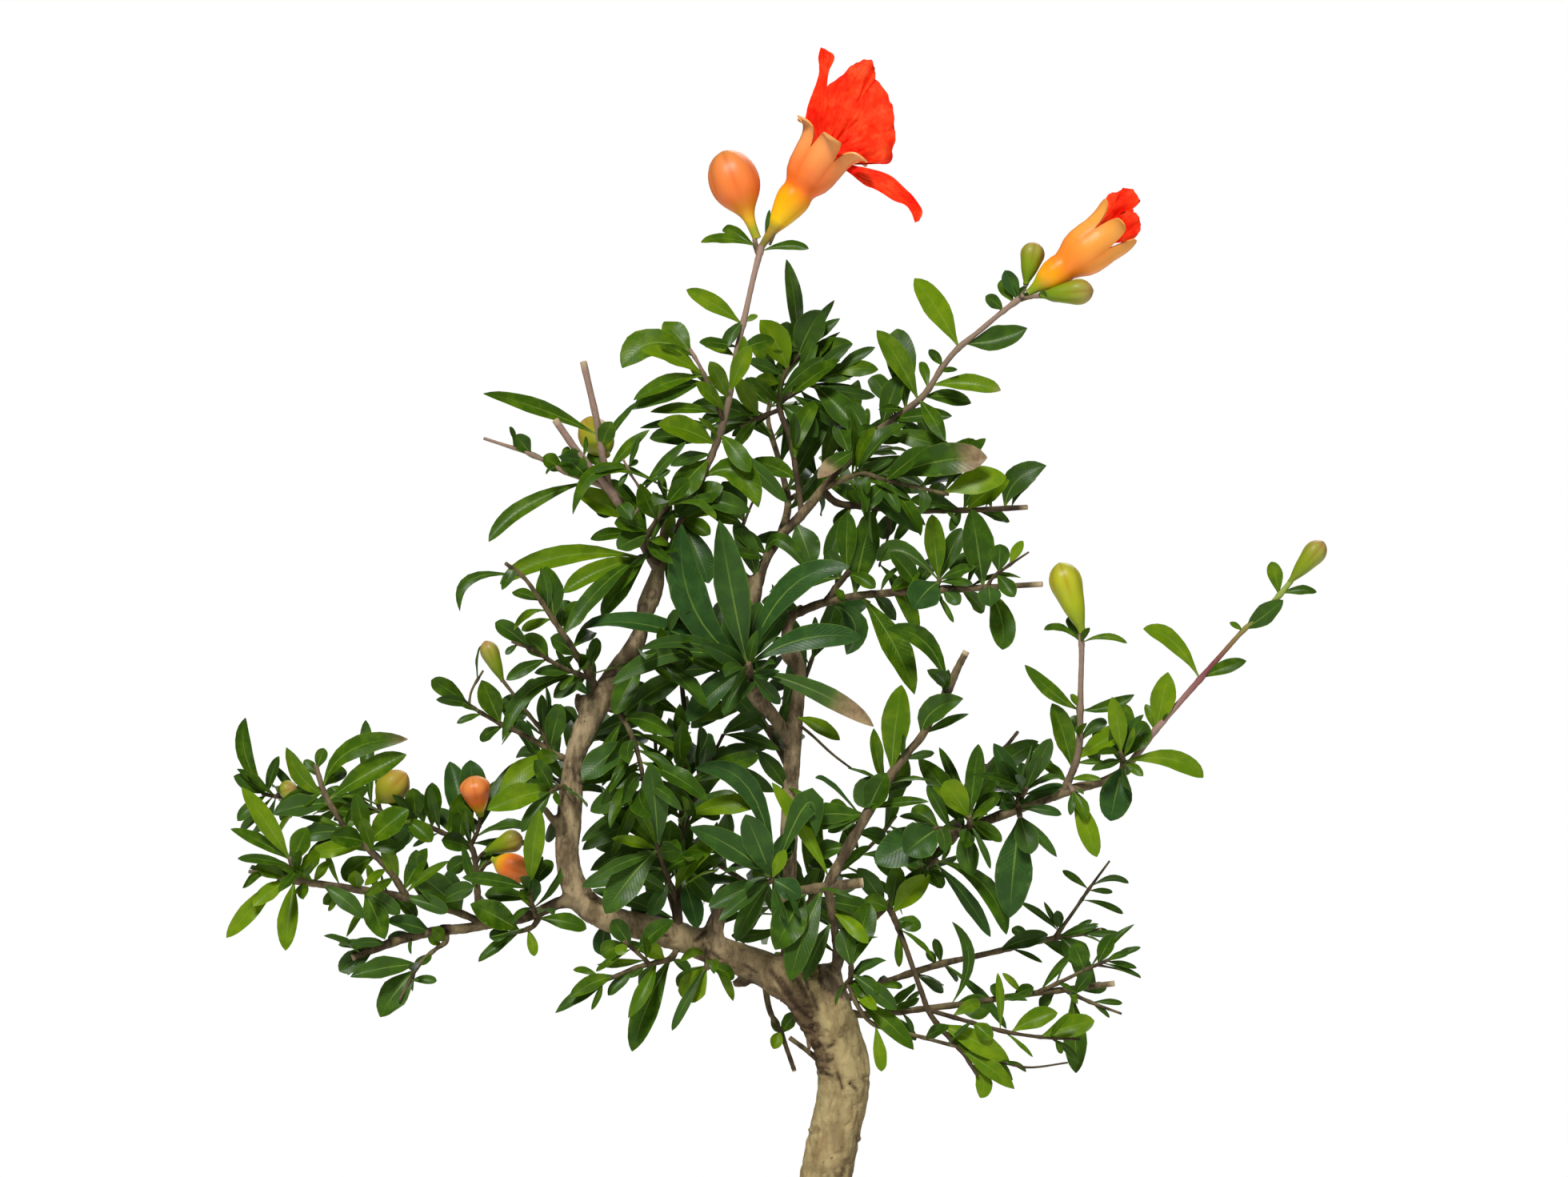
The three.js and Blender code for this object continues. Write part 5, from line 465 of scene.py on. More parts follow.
        (1350, 886, 1338, 868, 10, 10), (1352, 804, 1305, 787, 11, 10), (1352, 804, 1409, 804, 10, 10),
        (1341, 988, 1371, 1071, 27, 10), (1340, 986, 1358, 1023, 18, 20), (1338, 976, 1377, 974, 10, 20),
        (1334, 978, 1303, 955, 16, 0), (1344, 952, 1322, 925, 18, -20), (1348, 935, 1375, 950, 22, -40),
    ]},
    "right_end": {"tone": "mature", "spacing": 0, "slant": 0.4, "twigs": [
        [(1404, 965, 14, 5.6), (1404, 952, 34, 4), (1400, 940, 42, 3)],
    ], "leaves": [
        (1401, 943, 1390, 871, 25, 5), (1403, 948, 1432, 902, 40, 10), (1403, 950, 1407, 880, 28, -30),
        (1404, 952, 1504, 972, 27, 5), (1404, 955, 1388, 1026, 56, 15), (1404, 954, 1429, 970, 14, 20),
        (1402, 946, 1366, 915, 24, -20),
    ]},
    "far_right": {"tone": "young", "spacing": 0, "slant": 0.15, "twigs": [
        [(1408, 960, 14, 5.4), (1425, 938, 16, 4.8), (1444, 913, 18, 4.4), (1470, 883, 20, 4),
         (1499, 850, 22, 4.2), (1527, 818, 24, 3.4), (1554, 788, 26, 3.4), (1580, 764, 28, 3.4),
         (1600, 743, 30, 3.8), (1614, 726, 30, 3.8)],
    ], "leaves": [
        (1444, 912, 1460, 840, 34, 10), (1443, 914, 1432, 880, 12, -10), (1499, 848, 1429, 786, 26, 10),
        (1501, 848, 1558, 826, 20, 10), (1555, 786, 1604, 750, 28, 20), (1553, 788, 1537, 778, 8, 5),
        (1598, 744, 1589, 702, 20, 5), (1601, 742, 1646, 740, 14, 10),
    ]},
    "lower_first": {"tone": "mature", "spacing": 0, "slant": -0.3, "twigs": [
        [(1048, 1252, 4, 6), (1085, 1237, 14, 4.6), (1110, 1226, 16, 4.4), (1171, 1206, 18, 4.6),
         (1210, 1197, 20, 4), (1250, 1188, 22, 4), (1290, 1178, 24, 3.8), (1330, 1170, 26, 3.6),
         (1376, 1163, 28, 3.4)],
        [(1318, 1172, 25, 3), (1340, 1142, 32, 2.4), (1362, 1110, 38, 2), (1387, 1076, 42, 1.5)],
    ], "leaves": [
        (1248, 1189, 1310, 1168, 24, 20), (1325, 1172, 1358, 1206, 34, 20),
        (1332, 1170, 1366, 1238, 26, -20), (1322, 1172, 1373, 1158, 14, 20),
        (1335, 1168, 1365, 1150, 9, 5), (1361, 1112, 1328, 1088, 10, 5), (1363, 1109, 1411, 1104, 10, 5),
        (1360, 1113, 1391, 1115, 8, 10), (1352, 1125, 1404, 1142, 9, 5), (1324, 1165, 1274, 1127, 10, 5),
        (1324, 1164, 1305, 1127, 8, 10), (1326, 1162, 1321, 1138, 14, 10),
        (1262, 1186, 1303, 1203, 7, 10), (1176, 1205, 1168, 1173, 13, 10),
        (1180, 1204, 1258, 1286, 12, 10), (1170, 1206, 1158, 1188, 12, 10),
        (1300, 1176, 1340, 1196, 20, -30), (1105, 1228, 1128, 1234, 10, 5),
        (1290, 1178, 1265, 1160, 16, -10),
    ]},
    "lower_second": {"tone": "mature", "spacing": 0, "slant": 0.2, "twigs": [
        [(1056, 1266, 2, 6), (1085, 1268, -4, 4.8), (1120, 1265, -10, 4.4), (1160, 1260, -12, 4.4),
         (1210, 1254, -10, 4), (1272, 1244, -6, 4), (1330, 1237, -2, 4), (1393, 1229, 2, 3.8)],
        [(1296, 1241, -4, 3.2), (1330, 1225, 6, 2.6), (1355, 1213, 12, 2.2), (1396, 1195, 18, 1.6)],
        [(1330, 1237, -2, 3), (1362, 1252, 8, 2.4), (1402, 1267, 14, 1.7)],
    ], "leaves": [
        (1266, 1244, 1292, 1234, 18, 15), (1278, 1243, 1253, 1216, 10, 5),
        (1300, 1239, 1337, 1194, 12, 10), (1256, 1246, 1238, 1232, 18, 5),
        (1340, 1241, 1345, 1341, 32, -10), (1356, 1213, 1342, 1180, 24, 0),
        (1362, 1210, 1418, 1155, 8, 5), (1372, 1205, 1392, 1168, 22, 5), (1385, 1200, 1426, 1184, 10, 5),
        (1380, 1202, 1412, 1190, 10, 15), (1382, 1202, 1421, 1210, 9, 5), (1378, 1204, 1426, 1221, 7, 5),
        (1364, 1253, 1403, 1254, 9, 5), (1362, 1252, 1387, 1272, 7, 5), (1188, 1257, 1190, 1152, 12, 10),
        (1190, 1257, 1238, 1264, 34, 15), (1345, 1240, 1366, 1215, 20, 20),
        (1320, 1238, 1300, 1260, 16, -20),
    ]},
    "lower_hanging": {"tone": "young", "spacing": 0, "slant": 0.25, "twigs": [
        [(1110, 1131, -3, 4.6), (1118, 1148, 16, 4), (1130, 1178, 32, 3.6), (1142, 1212, 36, 3.4),
         (1152, 1240, 36, 3.6), (1162, 1266, 34, 3.8), (1180, 1290, 32, 3), (1205, 1318, 32, 2.6),
         (1222, 1345, 32, 2)],
        [(1160, 1262, 35, 3.2), (1215, 1278, 34, 2.8), (1255, 1289, 34, 2.6), (1300, 1296, 34, 2.2),
         (1350, 1299, 34, 1.8)],
        [(1203, 1316, 32, 2.2), (1245, 1326, 28, 1.8), (1286, 1334, 26, 1.6), (1335, 1328, 26, 1.3)],
    ], "leaves": [
        (1116, 1142, 1163, 1094, 32, 15), (1114, 1138, 1122, 1083, 26, 5),
        (1120, 1150, 1151, 1160, 22, 10), (1124, 1160, 1168, 1200, 7, 10),
        (1172, 1278, 1262, 1327, 30, 15), (1178, 1288, 1266, 1350, 28, 5),
        (1198, 1310, 1268, 1361, 24, 15), (1212, 1328, 1225, 1372, 22, 5),
        (1264, 1290, 1322, 1266, 28, 10), (1300, 1296, 1368, 1276, 30, 10),
        (1250, 1288, 1247, 1216, 12, 5), (1318, 1298, 1327, 1317, 9, 5), (1255, 1289, 1291, 1321, 6, 5),
        (1215, 1278, 1240, 1300, 22, 15), (1190, 1271, 1225, 1252, 18, -10),
        (1112, 1138, 1080, 1124, 24, 10),
    ]},
    "trunk_side": {"tone": "mature", "spacing": 0, "slant": 0.4, "twigs": [
        [(1046, 1240, 6, 5), (1062, 1226, 34, 4), (1064, 1206, 42, 3.2)],
        [(1060, 1228, 32, 3.4), (1075, 1262, 34, 3), (1096, 1282, 30, 2.8), (1140, 1293, 22, 2.6),
         (1196, 1308, 16, 2.2)],
    ], "leaves": [
        (1058, 1226, 1098, 1240, 30, 30), (1063, 1216, 1121, 1262, 26, 20),
        (1064, 1208, 1087, 1129, 36, -20), (1064, 1210, 1050, 1162, 26, -10),
        (1070, 1250, 1142, 1312, 26, 25), (1066, 1240, 1096, 1262, 16, 40),
        (1094, 1281, 1102, 1339, 18, 10),
    ]},
    "under_limb": {"tone": "mature", "spacing": 0, "slant": 0.3, "twigs": [
        [(848, 1182, 14, 5), (838, 1198, 34, 3.8), (815, 1204, 38, 3.2), (790, 1211, 40, 2.8),
         (765, 1222, 42, 2.4), (728, 1237, 44, 1.6)],
        [(812, 1205, 38, 2.8), (796, 1190, 48, 2.4), (780, 1176, 54, 2.2)],
    ], "leaves": [
        (842, 1196, 790, 1314, 44, 10), (832, 1200, 800, 1182, 22, 20), (796, 1210, 760, 1244, 16, 10),
        (768, 1221, 694, 1266, 18, 5), (772, 1219, 712, 1246, 22, 20), (784, 1180, 772, 1193, 16, 10),
        (780, 1176, 752, 1194, 26, -20), (790, 1186, 745, 1214, 10, -10), (806, 1205, 788, 1222, 12, 10),
        (796, 1190, 842, 1150, 26, 30), (790, 1184, 765, 1150, 24, 10), (820, 1202, 800, 1235, 20, -30),
    ]},
    "limb_underside": {"tone": "young", "spacing": 0, "slant": 0.5, "twigs": [
        [(886, 1190, 8, 5), (884, 1210, 28, 3.8)],
    ], "leaves": [
        (884, 1206, 840, 1288, 18, 15), (885, 1208, 857, 1251, 38, 5), (882, 1206, 846, 1232, 20, -20),
        (885, 1206, 918, 1222, 20, -10),
    ]},
    "under_fork": {"tone": "young", "spacing": 0, "slant": -0.4, "twigs": [
        [(955, 1222, 4, 5), (962, 1262, 8, 3.8), (976, 1290, 8, 3.4), (985, 1315, 8, 3.2),
         (993, 1338, 8, 3.2)],
    ], "leaves": [
        (975, 1288, 967, 1311, 18, 10), (978, 1292, 997, 1266, 20, 20), (965, 1264, 972, 1290, 12, -10),
    ]},
    "back_crown": {"tone": "mature", "spacing": 52, "slant": 0, "twigs": [
        [(975, 672, 0, 6), (985, 630, -70, 5), (975, 580, -140, 4.2), (960, 520, -200, 3.2),
         (975, 470, -240, 2.4)],
        [(984, 626, -76, 3.6), (1040, 590, -130, 3), (1080, 560, -180, 2.4)],
    ], "leaves": []},
    "back_middle": {"tone": "deep", "spacing": 52, "slant": 0, "twigs": [
        [(989, 965, -15, 6), (965, 920, -80, 5), (930, 870, -150, 4.2), (890, 820, -215, 3.2),
         (860, 790, -250, 2.4)],
        [(962, 916, -86, 3.6), (1000, 860, -150, 3), (1020, 810, -200, 2.4)],
    ], "leaves": []},
    "back_left": {"tone": "deep", "spacing": 52, "slant": 0, "twigs": [
        [(712, 1030, 18, 6), (706, 1000, -60, 5), (720, 950, -130, 4), (740, 900, -190, 3),
         (745, 860, -225, 2.4)],
        [(708, 990, -76, 3.4), (680, 960, -130, 2.8), (665, 925, -170, 2.2)],
    ], "leaves": []},
    "back_right": {"tone": "mature", "spacing": 52, "slant": 0, "twigs": [
        [(1193, 1044, 3, 6), (1206, 1008, -60, 5), (1228, 968, -125, 4.2), (1256, 935, -185, 3),
         (1272, 915, -215, 2.4)],
    ], "leaves": []},
    "back_low": {"tone": "mature", "spacing": 52, "slant": 0, "twigs": [
        [(1006, 1228, 0, 7), (985, 1165, -80, 5), (955, 1120, -150, 4.2), (905, 1085, -210, 3.2),
         (870, 1060, -250, 2.4)],
        [(984, 1160, -86, 3.6), (1035, 1100, -150, 3), (1085, 1060, -200, 2.6),
         (1120, 1020, -235, 2.2)],
    ], "leaves": []},
}

# ---- Leaf habits -----------------------------------------------------------------------------------

# Leaves are named by their tips. How green: 0 is a deep blue-green, 0.3 a greyish green, 0.5 the
# common green, and 1 a young yellow-green.
TONE_OF_SHOOT = {"young": 0.67, "mature": 0.52, "deep": 0.2}
TONED_TIPS = {
    0.95: [(858, 362), (947, 394), (803, 438), (887, 452), (938, 432), (918, 470), (1096, 413),
           (1251, 488), (1258, 596), (1165, 643), (1279, 676), (1127, 856), (958, 1004), (965, 978),
           (982, 1062), (1085, 1179), (1163, 1094), (1102, 1339), (1096, 1262), (1371, 1071),
           (1368, 1276), (1322, 1266), (1262, 1327), (1266, 1350), (1268, 1361), (1225, 1372),
           (1247, 1216), (1180, 977), (1390, 871), (1504, 972), (1377, 974), (1460, 840), (358, 934),
           (302, 984), (316, 1132), (385, 1068), (609, 1012), (625, 990), (675, 1012), (668, 1195),
           (765, 1048), (772, 1193), (857, 1251), (800, 1182), (967, 1311), (625, 730), (704, 741),
           (720, 616), (1143, 348), (283, 1172), (357, 1188), (1429, 786), (1411, 911)],
    0.08: [(899, 650), (852, 655), (725, 787), (1062, 708), (1142, 761), (1238, 758), (1058, 818),
           (868, 960), (862, 1034), (932, 1018), (1131, 1067), (1262, 1147), (1388, 1026), (562, 952),
           (812, 953), (668, 1098), (1077, 798), (1094, 1079), (728, 974)],
    0.42: [(920, 1177), (969, 1187), (988, 1226), (757, 1142)],
    0.3: [(800, 535), (846, 644), (1043, 375), (1308, 582), (1150, 667), (1221, 708), (1204, 873),
          (1211, 892), (1005, 1227), (1050, 1162), (1121, 1262), (1238, 1171), (1215, 968),
          (1310, 1168), (1258, 1286), (1384, 903), (1604, 750), (341, 1018), (456, 1148),
          (424, 1214), (612, 1172), (840, 1288), (641, 954), (1092, 908)],
}
# The share of the leaf that is dry and tan, from the tip.
DRY_TIPS = {(1022, 598): 0.34, (1234, 572): 0.24, (1092, 908): 0.32, (510, 924): 0.12,
            (1251, 488): 0.08, (725, 787): 0.07}
# A leaf that bows in the elevation passes halfway through this point.
BOWED_TIPS = {
    (575, 764): (588, 724), (628, 926): (664, 866), (716, 643): (758, 586), (611, 677): (660, 629),
    (1092, 908): (1020, 866), (604, 492): (677, 511), (625, 730): (704, 694), (868, 960): (935, 985),
    (1411, 1104): (1388, 1098), (1058, 818): (1068, 780), (1143, 868): (1118, 804),
    (725, 787): (812, 784), (1077, 798): (1005, 798), (510, 924): (438, 936), (307, 897): (306, 944),
    (1504, 972): (1462, 950), (876, 303): (908, 298), (1011, 311): (984, 306),
    (1409, 804): (1380, 796), (1305, 787): (1328, 786), (764, 856): (846, 818),
    (800, 812): (866, 806), (948, 634): (920, 590), (940, 575): (974, 586), (852, 655): (868, 760),
    (1258, 1168): (1230, 1106), (1238, 1171): (1206, 1123), (1190, 1152): (1210, 1200),
    (1108, 786): (1158, 802), (1204, 873): (1166, 890), (1284, 410): (1244, 427),
    (778, 460): (814, 430), (983, 324): (996, 384), (358, 934): (376, 972), (1308, 582): (1270, 600),
    (1604, 750): (1578, 772), (1429, 786): (1466, 802), (1253, 812): (1252, 772),
    (1225, 1372): (1229, 1350), (1062, 708): (984, 736), (1096, 701): (1128, 690),
    (1146, 789): (1128, 740), (1004, 709): (972, 674), (1019, 972): (1042, 983),
    (1027, 1050): (1008, 1004), (1082, 1010): (1088, 984), (1281, 831): (1316, 866),
    (1418, 868): (1384, 882), (1384, 903): (1366, 910),
}
# Leaves narrower than on the solid, as shares of its width.
SLIM_TIPS = {(1022, 598): 0.5, (1234, 572): 0.8, (790, 1314): 0.8, (840, 1288): 0.8, (1388, 1026): 0.8}
# Leaves that the photograph shows sky in place of.
LEFT_OUT = ((968, 545),)
# How far from a leaf's tip, in drawing units, an entry of these tables may be.
TIP_REACH = 9

# Small leaves for each shoot that the solids leave out: how many stand on its twigs, and how long.
SMALL_LEAVES = {
    "flower_stalk": (12, 62), "crown_centre": (22, 84), "half_flower": (8, 46), "upper_right": (12, 72),
    "branch_one": (8, 48), "branch_two": (10, 58), "front_tuft": (10, 70), "top_left": (10, 54),
    "limb_top": (16, 78), "left_upper": (10, 52), "left_middle": (10, 50), "left_lower": (6, 60),
    "limb_right_upper": (10, 74), "limb_right_lower": (12, 76), "inner_stems": (40, 84),
    "left_branch": (24, 54), "left_rear": (34, 58), "left_fork": (10, 54), "left_tip": (4, 50),
    "left_hanging": (4, 46), "centre_front": (8, 66), "stub_shoot": (14, 64), "right_first": (12, 62),
    "right_under": (6, 62), "right_second": (12, 60), "right_upright": (6, 38), "right_end": (8, 54),
    "far_right": (2, 22), "lower_first": (12, 48), "lower_second": (12, 50), "lower_hanging": (6, 46),
    "trunk_side": (8, 60), "under_limb": (6, 66), "limb_underside": (4, 60), "under_fork": (0, 36),
    "back_crown": (30, 92), "back_middle": (28, 92), "back_left": (24, 88), "back_right": (16, 84),
    "back_low": (34, 88),
}

# More leaves seen from the front that the solids leave out, for the shoot that carries or hides their
# foot: (base u, v, depth, tip u, v, depth, width, tone).
MORE_LEAVES = {
    "flower_stalk": [(962, 292, 10, 984, 268, 16, 6, 0.1), (956, 296, 12, 962, 262, 16, 6, 0.2),
                     (850, 655, 16, 853, 748, 40, 46, 0.42), (851, 652, 16, 886, 729, 46, 34, 0.12),
                     (866, 622, 18, 938, 640, 36, 30, 0.42), (851, 652, 14, 905, 632, 30, 22, 0.75),
                     (925, 470, 22, 930, 420, 30, 14, 0.8), (930, 400, 16, 902, 436, 26, 18, 0.35),
                     (902, 552, 26, 984, 628, 30, 22, 0.35), (884, 478, 38, 790, 512, 60, 30, 0.62),
                     (896, 552, 28, 812, 548, 40, 30, 0.5), (890, 568, 26, 838, 582, 44, 18, 0.35),
                     (922, 434, 20, 874, 428, 40, 16, 0.6)],
    "branch_two": [(930, 652, 10, 903, 602, 20, 40, 0.35), (944, 620, 10, 930, 562, 18, 20, 0.72),
                   (928, 656, 6, 886, 642, 10, 22, 0.6), (924, 686, 14, 1004, 709, 20, 22, 0.42),
                   (958, 700, 0, 918, 690, 26, 16, 0.5), (956, 702, 2, 1008, 708, 22, 20, 0.55),
                   (1000, 762, -18, 952, 752, 20, 24, 0.25), (945, 740, 2, 915, 772, 20, 22, 0.6),
                   (1052, 722, 14, 962, 740, 16, 26, 0.45), (948, 728, 2, 918, 652, 10, 28, 0.3),
                   (960, 695, 0, 918, 662, 12, 22, 0.55), (1172, 724, 58, 1096, 701, 34, 28, 0.3)],
    "crown_centre": [(994, 652, 0, 1015, 708, 14, 38, 0.45), (978, 470, -18, 935, 452, 0, 20, 0.35),
                     (1002, 440, -22, 940, 432, 0, 18, 0.55), (976, 480, -16, 944, 474, 4, 18, 0.9),
                     (1040, 468, -18, 1094, 434, -10, 16, 0.3), (1040, 468, -18, 1098, 462, -6, 22, 0.5),
                     (1014, 478, -14, 1064, 430, 0, 18, 0.2), (1002, 440, -22, 1050, 398, -16, 16, 0.4)],
    "branch_one": [(1100, 706, 0, 1146, 789, 8, 24, 0.45), (1064, 634, 0, 1034, 704, 10, 27, 0.48),
                   (1100, 635, 0, 1072, 668, 12, 16, 0.6)],
    "limb_right_lower": [(806, 990, 40, 738, 1014, 30, 30, 0.5), (802, 962, 36, 728, 978, 30, 24, 0.6),
                         (806, 1000, 38, 727, 1052, 34, 15, 0.3)],
    "inner_stems": [(820, 1050, 60, 738, 1088, 40, 24, 0.45), (832, 1060, 0, 745, 1060, -20, 26, 0.3),
                    (836, 1110, 6, 790, 1142, 10, 26, 0.2), (838, 1100, 10, 812, 1145, 20, 20, 0.3),
                    (852, 1095, 28, 872, 1160, 50, 28, 0.15), (850, 1085, 28, 890, 1128, 45, 24, 0.3),
                    (904, 918, -8, 975, 938, 0, 18, 0.35), (904, 918, -8, 952, 893, 0, 22, 0.3),
                    (886, 956, 0, 948, 935, 20, 26, 0.3), (886, 956, 0, 968, 990, -10, 24, 0.4),
                    (985, 990, -14, 946, 938, 0, 24, 0.25), (852, 1052, 28, 808, 1116, 44, 28, 0.3),
                    (832, 1086, 40, 728, 1108, 30, 28, 0.3), (826, 1020, 0, 728, 1062, 6, 22, 0.4),
                    (994, 896, -10, 1050, 925, 14, 20, 0.85), (846, 1150, 18, 740, 1112, 24, 18, 0.2)],
    "stub_shoot": [(1043, 1175, 24, 1068, 1200, 30, 16, 0.6), (1083, 1018, 28, 1035, 1040, 30, 18, 0.5),
                   (1084, 1018, 28, 1002, 1026, 30, 36, 0.45), (1110, 972, 26, 1082, 1010, 32, 36, 0.28),
                   (1078, 1022, 50, 1019, 972, 52, 7, 0.05)],
    "front_tuft": [(982, 984, -8, 1027, 1050, 50, 14, 0.68)],
    "limb_underside": [(758, 1150, 5, 752, 1194, 0, 26, 0.12)],
    "under_limb": [(838, 1198, 34, 862, 1214, 30, 16, 0.4)],
    "left_rear": [(597, 1020, -44, 588, 950, -50, 36, 0.1), (528, 1030, -60, 490, 1058, -50, 26, 0.1),
                  (530, 1030, -60, 520, 990, -54, 24, 0.15)],
    "left_branch": [(405, 990, 18, 345, 1015, 24, 28, 0.75), (436, 1040, 28, 372, 1046, 30, 24, 0.25),
                    (440, 1045, 28, 384, 1070, 34, 20, 0.55), (392, 1104, 22, 412, 1076, 30, 14, 0.9),
                    (478, 1078, 30, 512, 1040, 34, 22, 0.3), (462, 1062, 34, 500, 1058, 40, 20, 0.5),
                    (579, 1142, 14, 522, 1089, 34, 28, 0.6), (577, 1142, 14, 560, 1088, 24, 26, 0.2),
                    (545, 1132, 16, 592, 1108, 34, 24, 0.3), (528, 1127, 18, 520, 1062, 36, 28, 0.55),
                    (505, 1121, 18, 560, 1140, 30, 24, 0.3), (450, 1112, 20, 500, 1142, 24, 22, 0.3)],
    "right_under": [(1106, 1134, -3, 1072, 1085, 10, 26, 0.45), (1135, 1104, -2, 1092, 1070, 8, 24, 0.5)],
    "left_upper": [(736, 843, 6, 692, 872, 14, 24, 0.45)],
    "half_flower": [(1272, 376, 6, 1256, 338, 12, 22, 0.05), (1276, 374, 8, 1263, 344, 14, 9, 0.3)],
    "left_middle": [(692, 942, 10, 688, 880, 20, 22, 0.5)],
}
# Fine twigs that the solids leave out, as routes of (u, v, depth, radius).
MORE_TWIGS = {
    "front_tuft": [[(994, 902, -12, 2.4), (1014, 918, 0, 2), (1040, 942, 6, 1.7), (1065, 961, 8, 1.5)]],
    "under_fork": [[(1026, 1328, 0, 4), (1010, 1314, 8, 3.6), (987, 1297, 12, 3.2)]],
    "lower_second": [[(1372, 1206, 78, 1.6), (1400, 1212, 80, 1.2), (1426, 1222, 82, 0.9)]],
    "branch_two": [[(913, 694, -18, 3), (926, 662, 4, 2.2), (944, 620, 10, 1.4)]],
    "branch_one": [[(1113, 663, -35, 1.8), (1104, 690, -15, 1.4), (1099, 708, 0, 1)]],
    "flower_stalk": [[(962, 306, 8, 2), (968, 292, 14, 1.4), (965, 280, 16, 1)]],
}
# How far from a twig, in drawing units, the foot of such a leaf may be drawn.
SEAT_REACH = 12
# Open sky between the leaves: (u, v, radius). No leaf that is placed by rule alone stands there.
OPEN_SKY = [(957, 568, 30), (1035, 845, 34), (1042, 960, 44), (610, 915, 26), (1215, 905, 26),
            (790, 905, 14), (955, 262, 26), (935, 325, 24), (650, 850, 16), (1262, 912, 28),
            (1195, 1330, 24), (615, 690, 20), (625, 575, 18), (1195, 790, 36), (1215, 850, 24),
            (1195, 935, 20), (1112, 765, 14), (1222, 757, 14), (1240, 820, 16), (1262, 650, 14),
            (1285, 655, 10), (962, 652, 14), (955, 545, 12), (652, 1200, 16), (1190, 1180, 20)]
# Where along a leaf, from its base, it is looked for in them.
SKY_SHARES = (0.45, 0.75, 1)

# ---- Flowers, buds and young fruits ----------------------------------------------------------------

BUD_PROFILES = {
    "plump": [(0, 0.18), (0.1, 0.2), (0.18, 0.25), (0.25, 0.36), (0.32, 0.56), (0.4, 0.79), (0.49, 0.94),
              (0.58, 1), (0.68, 0.99), (0.78, 0.92), (0.87, 0.77), (0.94, 0.56), (0.98, 0.32)],
    "club": [(0, 0.24), (0.05, 0.34), (0.16, 0.5), (0.27, 0.65), (0.37, 0.75), (0.48, 0.83),
             (0.6, 0.95), (0.7, 1), (0.8, 0.95), (0.89, 0.76), (0.95, 0.5), (0.98, 0.28)],
    "round": [(0, 0.2), (0.06, 0.42), (0.15, 0.66), (0.26, 0.87), (0.4, 0.98), (0.52, 1),
              (0.66, 0.95), (0.78, 0.82), (0.87, 0.6), (0.93, 0.42), (0.97, 0.3)],
}

# Buds and young fruits: shoot, profile, slot, radius, and the (u, v, depth) of the base and the tip.
BUDS = {
    "bud_orange": ("flower_stalk", "plump", "bud_orange", 31, (943, 290, 2), (903, 189, -4)),
    "bud_green_upper": ("half_flower", "club", "bud_green", 15, (1283, 352, 0), (1294, 303, -8)),
    "bud_green_lower": ("half_flower", "club", "bud_green", 16, (1304, 369, 16), (1367, 363, 30)),
    "bud_yellow": ("right_upright", "club", "bud_yellow", 20, (1351, 784, 14), (1324, 703, 14)),
    "bud_far_right": ("far_right", "club", "bud_green", 14, (1615, 724, 30), (1655, 677, 34)),
    "bud_small_left": ("left_middle", "club", "bud_green", 11.5, (627, 848, 22), (606, 801, 24)),
    "bud_olive": ("left_rear", "club", "bud_green", 14, (610, 1063, -36), (653, 1046, -24)),
    "bud_orange_left": ("left_rear", "club", "bud_orange", 19, (600, 1016, -40), (591, 971, -24)),
    "bud_orange_lower": ("left_rear", "round", "bud_orange", 18, (618, 1075, -17), (664, 1095, 2)),
    "fruit_yellow_left": ("left_rear", "round", "fruit", 20, (473, 1001, -57), (508, 966, -50)),
    "fruit_green_left": ("left_rear", "round", "bud_green", 12, (352, 989, -63), (368, 985, -46)),
    "fruit_yellow_top": ("top_left", "round", "fruit", 21, (757, 566, -3), (733, 526, -60)),
}

# Calyxes: profile as (reach, radius) from the foot to the mouth, then the lobes' length and the angle
# that each lobe curls to, in order round the mouth.
OPEN_FLOWER = {
    "on": "flower_stalk", "base": (954, 305, 8), "axis": (0.556, -0.831, 0.08), "wall": 5.5,
    "profile": [(0, 4.4), (14, 5.8), (24, 8), (32, 11.6), (41, 15), (54, 19), (64, 21.4), (72, 21.6),
                (80, 20), (86, 22.2), (96, 29), (108, 33), (120, 34.5), (132, 36)],
    "lobe_length": 37, "curls": (1.9, 1.5, 1.8, 1.8, 2.1, 1.8), "floor": 96,
}
HALF_FLOWER = {
    "on": "half_flower", "base": (1288, 364.5, 10), "axis": (0.805, -0.593, 0.08), "wall": 4.5,
    "profile": [(0, 4.8), (10, 7.6), (22, 14.4), (34, 18.8), (46, 19.8), (53, 19), (61, 22), (72, 28),
                (84, 31.6), (98, 32.5), (108, 32)],
    "lobe_length": 36, "curls": (-0.3, 0.2, 0.5, 0.5, 1.1, -0.35), "floor": 84,
}
